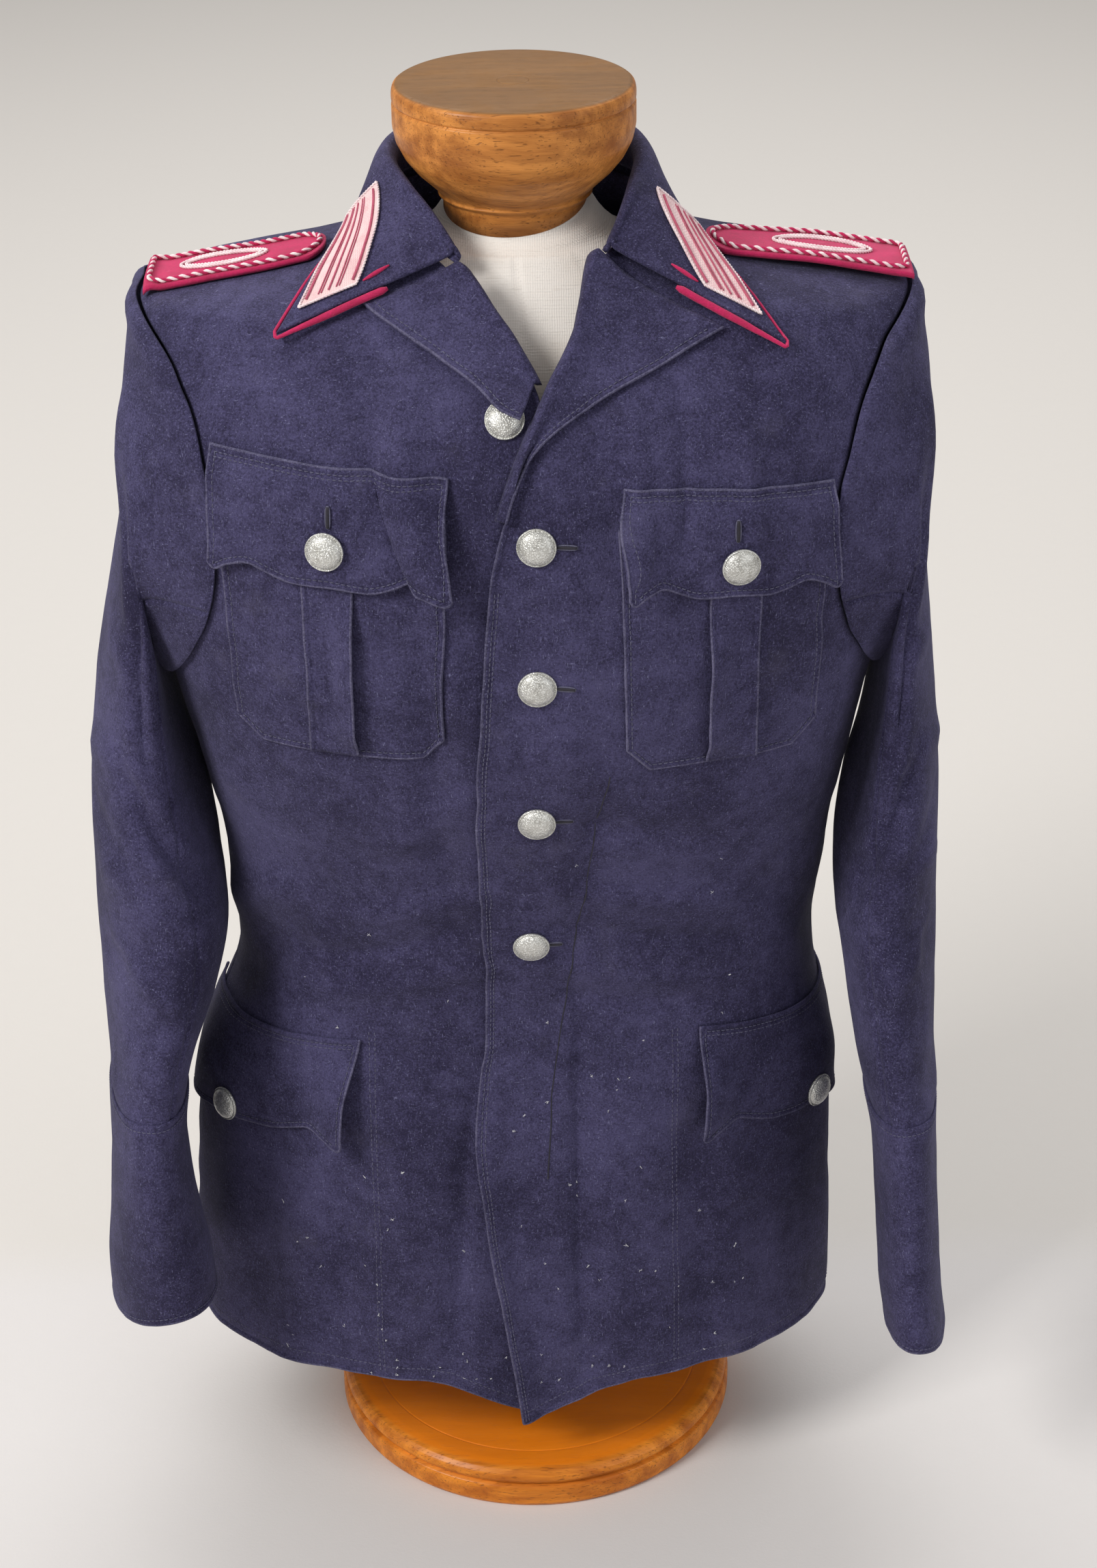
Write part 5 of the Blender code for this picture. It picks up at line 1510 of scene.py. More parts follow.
SLEEVE_RINGS = {
    Side.RIGHT: (
        (0.235, 0.8, 0.2262, 0.592, -0.002, 0.088, 3.0), (0.242, 0.725, 0.225, 0.572, -0.004, 0.084, 4.0),
        (0.256, 0.655, 0.2215, 0.545, -0.008, 0.08, 6.0), (0.269, 0.59, 0.215, 0.512, -0.014, 0.078, 8.0),
        (0.2765, 0.52, 0.206, 0.47, -0.026, 0.076, 10.0), (0.2785, 0.45, 0.1965, 0.428, -0.042, 0.076, 12.0),
        (0.276, 0.395, 0.2035, 0.388, -0.058, 0.073, 12.0), (0.275, 0.345, 0.219, 0.345, -0.072, 0.07, 11.0),
        (0.2752, 0.295, 0.2275, 0.298, -0.084, 0.067, 10.0), (0.277, 0.243, 0.224, 0.248, -0.095, 0.064, 11.0),
        (0.2805, 0.2, 0.2165, 0.208, -0.103, 0.061, 14.0), (0.28, 0.168, 0.214, 0.176, -0.107, 0.06, 15.0),
    ),
    Side.LEFT: (
        (0.245, 0.795, 0.2265, 0.592, -0.002, 0.088, 3.0), (0.2485, 0.72, 0.225, 0.572, -0.004, 0.084, 4.0),
        (0.252, 0.655, 0.2215, 0.545, -0.008, 0.08, 5.0), (0.2575, 0.59, 0.215, 0.512, -0.014, 0.078, 6.0),
        (0.264, 0.52, 0.2075, 0.47, -0.024, 0.076, 6.0), (0.264, 0.455, 0.2035, 0.43, -0.038, 0.075, 6.0),
        (0.2645, 0.395, 0.2085, 0.385, -0.052, 0.073, 5.0), (0.264, 0.338, 0.217, 0.335, -0.066, 0.07, 4.0),
        (0.2642, 0.28, 0.229, 0.28, -0.082, 0.067, 3.0), (0.2668, 0.218, 0.233, 0.224, -0.096, 0.064, 3.0),
        (0.2705, 0.17, 0.236, 0.178, -0.107, 0.062, 4.0), (0.274, 0.142, 0.24, 0.151, -0.113, 0.061, 5.0),
    ),
}
COLLAR_STATIONS = {
    Side.RIGHT: (
        (180.0, 0.888, 0.0, 0.0765, 0.918, 0.0, 0.09, 0.875),
        (150.0, 0.8878, 0.0405, 0.0645, 0.9175, 0.0465, 0.077, 0.8755),
        (118.0, 0.886, 0.0645, 0.037, 0.9165, 0.0775, 0.0465, 0.8812),
        (90.0, NECK_Z, 0.0712, 0.0, 0.9145, 0.0905, -0.002, 0.8838),
        (62.0, 0.88, 0.061, -0.033, 0.9075, 0.102, -0.037, 0.874),
        (42.0, 0.8735, 0.047, -0.051, 0.8955, 0.119, -0.067, 0.8582),
        (25.0, 0.8645, 0.0325, -0.068, 0.877, 0.137, -0.0932, 0.8366),
    ),
    Side.LEFT: (
        (180.0, 0.888, 0.0, 0.0765, 0.918, 0.0, 0.09, 0.875),
        (150.0, 0.8878, 0.0405, 0.0645, 0.9175, 0.0465, 0.077, 0.8755),
        (118.0, 0.886, 0.0645, 0.037, 0.9165, 0.0785, 0.0465, 0.879),
        (90.0, NECK_Z, 0.0712, 0.0, 0.9145, 0.093, -0.002, 0.88),
        (66.0, 0.8812, 0.0665, -0.031, 0.9065, 0.11, -0.037, 0.87),
        (51.0, 0.8765, 0.0605, -0.05, 0.895, 0.131, -0.067, 0.852),
        (39.0, 0.869, 0.052, -0.066, 0.879, 0.154, -0.0965, 0.8282),
    ),
}
FLAP_SCALLOP = (
    (0.0, 0.003), (0.3, 0.0022), (0.52, 0.0058), (0.68, 0.009), (0.84, 0.0055), (0.95, 0.0014), (1.0, 0.005),
)


@dataclass
class DressForm:
    """The stand: turned base, painted post, linen torso and turned neck cap."""

    base_radius: float = 0.14
    base_top: float = 0.03
    cap_top: float = 0.9554
    cap_radius: float = 0.071
    neck_radius: float = 0.0425
    cut_z: float = 0.886
    cut_tilt: float = 14.0
    cut_roll: float = 4.0
    torso_bottom: float = 0.15
    post_radius: float = 0.02
    torso_steps: int = 144
    seam_angles: tuple = (0, 38, 142, 180, 218, 322)
    torso: tuple = (
        (0.15, 0.145, 0.082, 0.088), (0.165, 0.156, 0.092, 0.098), (0.26, 0.166, 0.097, 0.102),
        (0.39, 0.14, 0.088, 0.086), (0.52, 0.16, 0.108, 0.094), (0.64, 0.182, 0.13, 0.108),
        (0.72, 0.19, 0.13, 0.11), (0.78, 0.192, 0.112, 0.098), (0.808, 0.189, 0.094, 0.087),
        (0.826, 0.184, 0.079, 0.076), (0.836, 0.176, 0.071, 0.07), (0.852, 0.11, 0.06, 0.061),
        (0.862, 0.072, 0.0535, 0.056), (0.872, 0.052, 0.048, 0.05), (0.88, 0.0455, 0.0445, 0.0455),
    )

    def neck_cut(self, x: Array, y: Array) -> Array:
        """Height of the tilted cut between the torso's neck and the cap."""
        slope_y, slope_x = math.tan(math.radians(self.cut_tilt)), math.tan(math.radians(self.cut_roll))
        return self.cut_z + slope_y * y + slope_x * x

    def torso_mesh(self, body: BodySurface) -> tuple[Array, list]:
        """The torso as rings up to the tilted cut.

        Args:
            body: the tunic's surface, which rests on the torso's shoulders.

        Returns:
            Points and faces.
        """
        count = self.torso_steps
        angle = full_turn(count)
        heights = np.concatenate([[0.15, 0.1515, 0.155, 0.16], np.linspace(0.167, 0.836, 84),
                                  np.linspace(0.8385, 0.866, 12)])
        rings = []
        for z in heights:
            half_width, front, back = hermite(np.array(self.torso), z)
            tunic_half_width, _, _, shift = hermite(np.array(body.sections), z)
            on_seat = smoothstep((z - 0.838) / 0.004) * (1 - smoothstep((z - 0.85) / 0.006))
            half_width = half_width + on_seat * max(tunic_half_width - 0.003 - half_width, 0.0)
            half_width = min(half_width, tunic_half_width - 0.0034)
            hem = 0.004 * math.exp(-(((z - 0.1515) / 0.002) ** 2))
            seams = 0.0011 * sum(np.exp(-((np.sin(0.5 * (angle - math.radians(a))) / 0.006) ** 2))
                                 for a in self.seam_angles)
            radius = section_radius(angle, half_width, front, back, body.power) - hem - seams
            rings.append(np.stack([shift + radius * np.sin(angle), -radius * np.cos(angle), 0 * angle + z], -1))
        for lean, z in ((0.25, 0.8695), (0.5, 0.873), (0.8, 0.88), (0.95, 0.8835), (1.0, self.cut_z - 0.0002)):
            half_width, front, back = (hermite(np.array(self.torso), z) if lean < 0.9
                                       else np.full(3, self.neck_radius))
            radius = section_radius(angle, half_width, front, back, body.power) if lean < 0.9 else half_width
            x, y = radius * np.sin(angle), -radius * np.cos(angle)
            rings.append(np.stack([x, y, z + lean * (self.neck_cut(x, y) - self.cut_z)], -1))
        grid = np.stack(rings, 1)
        rows = grid.shape[1]
        faces = quad_sheet(count, rows, 0, True).tolist()
        faces += [[i * rows for i in range(count)], [i * rows + rows - 1 for i in range(count)]]
        return grid.reshape(-1, 3), faces

    def cap_object(self, material: bpy.types.Material) -> bpy.types.Object:
        """The turned neck cap, cut off below by the tilted plane.

        Args:
            material: its wood.

        Returns:
            The cap.
        """
        r, top = self.cap_radius, self.cap_top
        profile = [
            (0.0, top), (0.0085, top), (0.0092, top - 0.0004), (0.01, top), (r - 0.0035, top),
            (r - 0.0008, top - 0.0016), (r, top - 0.005), (r, 0.9462), (r - 0.0014, 0.945), (r, 0.9438),
            (r, 0.931), (0.0693, 0.9225), (0.0645, 0.913), (0.058, 0.905), (0.051, 0.8985),
            (0.0462, 0.894), (0.045, 0.892), (0.0456, 0.8905), (self.neck_radius, 0.888),
            (self.neck_radius, 0.86), (0.0, 0.86),
        ]
        vertices, faces = lathe(rounded(profile, 0.0012, 3), 128)
        obj = mesh_object("neck_cap", vertices, faces, [material], creased=50.0)
        bm = bmesh.new()
        bm.from_mesh(obj.data)
        normal = Vector((-math.tan(math.radians(self.cut_roll)), -math.tan(math.radians(self.cut_tilt)), 1.0))
        cut = bmesh.ops.bisect_plane(bm, geom=bm.verts[:] + bm.edges[:] + bm.faces[:], dist=1e-6,
                                     plane_co=Vector((0, 0, self.cut_z + 0.0002)),
                                     plane_no=normal.normalized(), clear_inner=True)
        rim = [item for item in cut["geom_cut"] if isinstance(item, bmesh.types.BMEdge)]
        bmesh.ops.holes_fill(bm, edges=rim)
        bm.to_mesh(obj.data)
        bm.free()
        return obj

    def build(self, body: BodySurface, finishes: Finishes) -> list[bpy.types.Object]:
        """Make the four pieces of the stand.

        Args:
            body: the tunic's surface.
            finishes: the materials.

        Returns:
            The pieces.
        """
        r, top = self.base_radius, self.base_top
        profile = [(0.0, top), (r - 0.024, top), (r - 0.0232, top - 0.0006), (r - 0.0224, top),
                   (r - 0.013, top), (r - 0.0095, top - 0.0006), (r - 0.0055, top - 0.0018),
                   (r - 0.002, top - 0.005), (r - 0.0012, top - 0.0085), (r - 0.003, top - 0.0118),
                   (r - 0.0042, top - 0.0126), (r - 0.001, top - 0.014), (r, top - 0.0165), (r, 0.003),
                   (r - 0.0016, 0.0), (0.0, 0.0)]
        base = mesh_object("base", *lathe(rounded(profile, 0.001, 3), 160), [finishes.base_wood], creased=50.0)
        seat(base, "wood", "form_base")
        post_profile = [(0.0, self.torso_bottom - 0.0003), (self.post_radius, self.torso_bottom - 0.0003),
                        (self.post_radius, 0.044), (self.post_radius + 0.003, 0.0425),
                        (self.post_radius + 0.0034, 0.033), (self.post_radius + 0.006, top + 0.0003),
                        (0.0, top + 0.0003)]
        post = mesh_object("post", *lathe(rounded(post_profile, 0.0008), 64), [finishes.post], creased=50.0)
        seat(post, "post", "form_post")
        torso = mesh_object("torso", *self.torso_mesh(body), [finishes.linen], creased=60.0)
        seat(torso, "linen", "form_torso")
        cap = seat(self.cap_object(finishes.cap_wood), "wood", "form_neck_cap")
        return [base, post, torso, cap]


@dataclass
class BodyPanels:
    """Two fronts and two back halves."""

    body: BodySurface
    point_drop: float = 0.028
    flare: float = 0.007
    flare_dip: float = 0.0018
    under_sink: float = 0.003
    overlap_end: float = 0.052
    overlap_ramp: float = 0.03
    pocket_lines: tuple = ((Side.RIGHT, ((-0.102, -0.0985), -0.002)), (Side.LEFT, ((0.092, 0.0955), 0.001)))
    dart: tuple = ((0.05, 0.576), (0.031, 0.442), (0.015, 0.324), (0.011, 0.264))
    inner_z: tuple = (HEM_Z, 0.13, 0.18, 0.23, 0.28, 0.325, 0.365, 0.4, 0.435, 0.475, 0.52, 0.565,
                      0.612, 0.655, 0.695, 0.73, 0.762, 0.788, 0.812, 0.833, 0.849, 0.862, 0.873, NECK_Z)
    back_z: tuple = (HEM_Z, 0.145, 0.205, 0.265, 0.32, 0.365, 0.405, 0.445, 0.5, 0.555, 0.608, 0.655,
                     0.7, 0.74, 0.775, 0.806, 0.832, 0.852, 0.866, 0.874, 0.881, 0.888)

    def overlap(self, angle_deg: Array, z: Array) -> Array:
        """How far out the left front lies, on top of the right one near the middle."""
        x = self.body.base(angle_deg, z)[..., 0]
        return (CLOTH + 2 * LAYER_GAP) * smoothstep((self.overlap_end - x) / self.overlap_ramp)

    def front_depth(self, side: Side, angle_deg: Array, z: Array) -> Array:
        """Depth of a front's outer face."""
        extra = self.overlap(angle_deg, z) if side is Side.LEFT else 0.0 * np.asarray(angle_deg, float)
        return CLOTH + extra

    def armhole_row(self, number: Array, first: float, last: float) -> Array:
        """Height on the armhole, evenly up it between two row numbers."""
        turn = math.pi * np.clip((number - first) / (last - first), 0.0, 1.0)
        return self.body.armhole_z - self.body.armhole_half_height * np.cos(turn)

    def front_place(self, side: Side, s: Array, t: Array, depth: Array) -> Array:
        """The surface of one front.

        Args:
            side: which side.
            s: from the front's edge to the side seam, 0 to 1.
            t: from hem to neck, 0 to 1.
            depth: above the cloth's inner face.

        Returns:
            Points of the front.
        """
        rows = np.array([(k, z) for k, z in enumerate(self.inner_z)], float)
        low_rows = np.array([*rows[:12].tolist(), (12.0, self.body.armhole_z - self.body.armhole_half_height)])
        number = 23.0 * t
        inner_z = hermite(rows, number)[..., 0]
        outer_z = np.where(number < 12, hermite(low_rows, number)[..., 0], self.armhole_row(number, 12, 23))
        inner_angle = hermite(FRONT_EDGES[side], inner_z)[..., 0]
        outer_angle = side.value * self.body.armhole_angle(side, outer_z, front=True)
        drop = self.point_drop * smoothstep(1 - s / 0.4) * smoothstep((0.3 - inner_z) / (0.3 - HEM_Z))
        angle = inner_angle + s * (outer_angle - inner_angle)
        height = inner_z + s * (outer_z - inner_z) - drop
        if side is Side.LEFT:
            low = smoothstep((0.38 - height) / 0.16)
            dip = self.flare_dip * np.exp(-(((s - 0.15) / 0.05) ** 2))
            flare = low * (self.flare * (1 - smoothstep(s / 0.09)) - dip)
            depth = depth + self.overlap(angle, height) + flare
        else:
            depth = depth - self.under_sink * smoothstep((0.6 - height) / 0.2) * (1 - smoothstep(s / 0.2))
        return self.body.point(angle, height, depth)

    def back_place(self, side: Side, s: Array, t: Array, depth: Array) -> Array:
        """The surface of one back half.

        Args:
            side: which side.
            s: from the centre back seam to the side seam, 0 to 1.
            t: from hem to neck, 0 to 1.
            depth: above the cloth's inner face.

        Returns:
            Points of the back half.
        """
        rows = np.array([(k, z) for k, z in enumerate(self.back_z)], float)
        low = np.array([*rows[:10].tolist(), (10.0, self.body.armhole_z - self.body.armhole_half_height)])
        top_z = self.body.armhole_z + self.body.armhole_half_height
        high = np.array([(18.0, top_z), (19.0, 0.845), (20.0, 0.858), (21.0, NECK_Z)])
        number = 21.0 * t
        inner_z = hermite(rows, number)[..., 0]
        upper_z = np.where(number < 18, self.armhole_row(number, 10, 18), hermite(high, number)[..., 0])
        outer_z = np.where(number < 10, hermite(low, number)[..., 0], upper_z)
        outer_angle = self.body.armhole_angle(side, outer_z, front=False)
        angle = side.value * (180.0 + s * (outer_angle - 180.0))
        return self.body.point(angle, inner_z + s * (outer_z - inner_z), depth)

    def build(self, finishes: Finishes) -> list[bpy.types.Object]:
        """Make the four panels with their stitching.

        Args:
            finishes: the materials.

        Returns:
            The panels, the dart, rolls and stitches.
        """
        made = []
        rows, rolls = Stitching("body_stitching"), EdgeRolls("body_edges")
        for side in Side:
            front = ClothPiece(f"front_panel_{side.word}", partial(self.front_place, side), CLOTH,
                               (TURNED, SEAM, TURNED, SEAM), step=0.0056)
            made.append(front.sewn(finishes.wool, f"front_{side.word}", "hung", "torso"))
            back = ClothPiece(f"back_panel_{side.word}", partial(self.back_place, side), CLOTH,
                              (SEAM, SEAM, TURNED, PLAIN), step=0.0062)
            made.append(back.sewn(finishes.wool, f"back_{side.word}", "hung", "torso"))
            rows.row(*front.line(2, HEM_STITCH, 0.02, 0.99, count=260))
            rows.row(*back.line(2, HEM_STITCH, 0.01, 0.99, count=200))
            if side is Side.LEFT:
                rolls.add(front, 0, 0.0, 0.7, 300)
                for inset in (EDGE_STITCH, INNER_STITCH):
                    rows.row(*front.line(0, inset, 0.003, 0.62, count=500))
            line_places, drift = dict(self.pocket_lines)[side]
            for line_x in line_places:
                z = np.linspace(0.368, 0.103, 200)
                x = line_x + drift * smoothstep((0.3 - z) / 0.2)
                angle = self.body.angle_at_x(x, z)
                depth = self.front_depth(side, angle, z)
                path = self.body.point(angle, z, depth)
                rows.row(path, unit(self.body.point(angle, z, depth + 0.002) - path), 0.0037)
            rolls.add(front, 2, count=200)
            rolls.add(back, 2, count=200)
        dart = np.array(self.dart)
        x, z = dart[:, 0], dart[:, 1]
        fine_z = np.linspace(z[0], z[-1], 120)
        fine_x = np.interp(-fine_z, -z, x)
        angle = self.body.angle_at_x(fine_x, fine_z)
        path = self.body.point(angle, fine_z, self.front_depth(Side.LEFT, angle, fine_z) - 0.0001)
        # The dart's seam is a thin near-black strand sunk into the cloth: painted shade of its groove.
        seam = mesh_object("dart_seam_shade", *tube(path, 0.00042, 6), [finishes.slit])
        return [*made, seat(seam, "cord"), rolls.build(finishes.worn), rows.build(finishes.thread)]


@dataclass
class Sleeves:
    """Two-piece sleeves with a turn-back cuff lying on each."""

    body: BodySurface
    seams: tuple = (-112.0, 112.0)
    cuff_from: float = 8.5
    last_ring: float = 11.989
    front_rise: float = 0.3

    def mouth(self, turn_deg: Array) -> Array:
        """Ring number of the sleeve's end, a little higher in front than behind."""
        return self.last_ring - self.front_rise * np.maximum(np.sin(np.radians(turn_deg)), 0.0) ** 2

    def surface(self, side: Side) -> SleeveSurface:
        """The sleeve's surface on one side."""
        return SleeveSurface(self.body, side, SLEEVE_RINGS[side])

    def piece_place(self, side: Side, start: float, end: float, s: Array, t: Array, depth: Array) -> Array:
        """A sleeve piece between two turns.

        Args:
            side: which side.
            start: turn of the first seam.
            end: turn of the other seam.
            s: round the sleeve between its two seams, 0 to 1.
            t: from the armhole to the mouth.
            depth: above the sleeve's inner face.

        Returns:
            Points of the sleeve piece.
        """
        surface = self.surface(side)
        turn = start + (end - start) * s
        ring = END_GAP + (self.mouth(turn) - END_GAP) * t
        return surface.point(turn + 0 * ring, ring, depth)

    def cuff_place(self, side: Side, s: Array, t: Array, depth: Array) -> Array:
        """The turn-back, all the way round the sleeve's end.

        Args:
            side: which side.
            s: round the sleeve, 0 to 1.
            t: from the cuff's upper edge to the mouth.
            depth: above the cuff's under face.

        Returns:
            Points of the cuff.
        """
        surface = self.surface(side)
        turn = self.seams[0] + 360.0 * s
        ring = self.cuff_from + (self.mouth(turn) - self.cuff_from) * t
        start = smoothstep(t / 0.05)
        over = (CLOTH - 0.0003) + (0.0003 + LAYER_GAP * 0.6) * start
        return surface.point(turn + 0 * ring, ring, depth + over)

    def build(self, finishes: Finishes) -> list[bpy.types.Object]:
        """Make both sleeves and cuffs.

        Args:
            finishes: the materials.

        Returns:
            The pieces.
        """
        made = []
        rows, rolls = Stitching("cuff_stitching"), EdgeRolls("cuff_edges")
        first, second = self.seams
        for side in Side:
            word = side.word
            for kind, start, end in (("upper", first, second), ("under", second, first + 360.0)):
                piece = ClothPiece(f"{kind}_sleeve_{word}", partial(self.piece_place, side, start, end), CLOTH,
                                   (SEAM, SEAM, SEAM, TURNED))
                made.append(piece.sewn(finishes.wool, f"sleeve_{kind}_{word}", "hung", f"front_panel_{word}"))
            cuff = ClothPiece(f"turnback_{word}", partial(self.cuff_place, side), POCKET_CLOTH,
                              (PLAIN, PLAIN, TURNED, TURNED), step=0.004, closed=True)
            made.append(cuff.sewn(finishes.wool, f"cuff_{word}", "folded",
                                  f"upper_sleeve_{word}", f"under_sleeve_{word}"))
            rows.row(*cuff.line(3, 0.006, 0.0, 1.0, count=300))
            rows.row(*cuff.line(2, 0.0045, 0.0, 1.0, count=300))
            rolls.add(cuff, 3, count=200)
        return [*made, rolls.build(finishes.worn), rows.build(finishes.thread)]


@dataclass
class Lapels:
    """The turned-back tops of the fronts, from the free edge to the fold over the front's own edge."""

    body: BodySurface
    panels: BodyPanels
    edges: tuple = (
        (Side.RIGHT, ((0.795, -0.8), (0.8, -6.0), (0.8095, -12.5), (0.82, -21.0), (0.832, -33.0),
                      (0.847, -49.5))),
        (Side.LEFT, ((0.744, -3.2), (0.764, -0.8), (0.784, 5.2), (0.801, 17.0), (0.814, 31.0), (0.834, 52.0))),
    )
    folds: tuple = ((Side.RIGHT, (0.8125, 0.8605)), (Side.LEFT, (0.744, 0.865)))
    lifts: tuple = ((Side.RIGHT, 0.01), (Side.LEFT, 0.0022))
    roll: float = 0.004
    corner_rise: float = 0.007

    def lapel_place(self, side: Side, s: Array, t: Array, depth: Array) -> Array:
        """The turned-back lapel.

        Args:
            side: which side.
            s: from the free edge to the fold; the last tenth comes down before the front's edge.
            t: from foot to corner.
            depth: above the lapel's under face.

        Returns:
            Points of the lapel.
        """
        edge = np.array(dict(self.edges)[side])
        start_z, end_z = dict(self.folds)[side]
        turn_share = 0.9
        s, t, depth = alike(s, t, depth)
        across = np.clip(s / turn_share, 0.0, 1.0)
        edge_rows = smooth_rows(edge, t * (len(edge) - 1))
        edge_z, edge_angle = edge_rows[..., 0], edge_rows[..., 1]
        fold_z = start_z + (end_z - start_z) * t
        fold_angle = hermite(FRONT_EDGES[side], fold_z)[..., 0]
        fold_z = fold_z + self.corner_rise * smoothstep((t - 0.5) / 0.5)
        angle = edge_angle + across * (fold_angle - edge_angle)
        height = edge_z + across * (fold_z - edge_z)
        lift = dict(self.lifts)[side] * (1 - smoothstep(across / 0.8)) * (1 - smoothstep(t / 0.75))
        roll = self.roll * smoothstep((across - 0.45) / 0.55) * smoothstep(t / 0.25)
        base = self.panels.front_depth(side, angle, height) + LAYER_GAP + lift + roll
        flat = self.body.point(angle, height, base + depth)
        over = np.clip((s - turn_share) / (1 - turn_share), 0.0, 1.0)
        tip_depth = np.maximum(self.panels.front_depth(side, fold_angle, fold_z) - 0.5 * CLOTH, 0.0008)
        share = depth / COLLAR_CLOTH
        beyond = fold_angle - side.value * np.degrees((0.0016 + 0.0028 * share) / 0.11)
        tip = self.body.point(beyond, fold_z, tip_depth)
        bow = self.body.point(fold_angle - side.value * np.degrees(0.003 * share / 0.11), fold_z,
                              base + depth * 0.92)
        k = over[..., None]
        turned = (1 - k) ** 2 * flat + 2 * k * (1 - k) * bow + k**2 * tip
        return np.where(k > 0, turned, flat)

    def build(self, finishes: Finishes) -> list[bpy.types.Object]:
        """Make both lapels.

        Args:
            finishes: the materials.

        Returns:
            The pieces.
        """
        made = []
        rows, rolls = Stitching("lapel_stitching"), EdgeRolls("lapel_edges")
        for side in Side:
            piece = ClothPiece(f"turned_lapel_{side.word}", partial(self.lapel_place, side), COLLAR_CLOTH,
                               (TURNED, PLAIN, PLAIN, SEAM), step=0.0028)
            made.append(piece.sewn(finishes.wool, f"lapel_{side.word}", "folded", f"front_panel_{side.word}"))
            rows.row(*piece.line(0, 0.0044, 0.03, 0.97))
            rolls.add(piece, 0)
        return [*made, rolls.build(finishes.worn), rows.build(finishes.thread)]


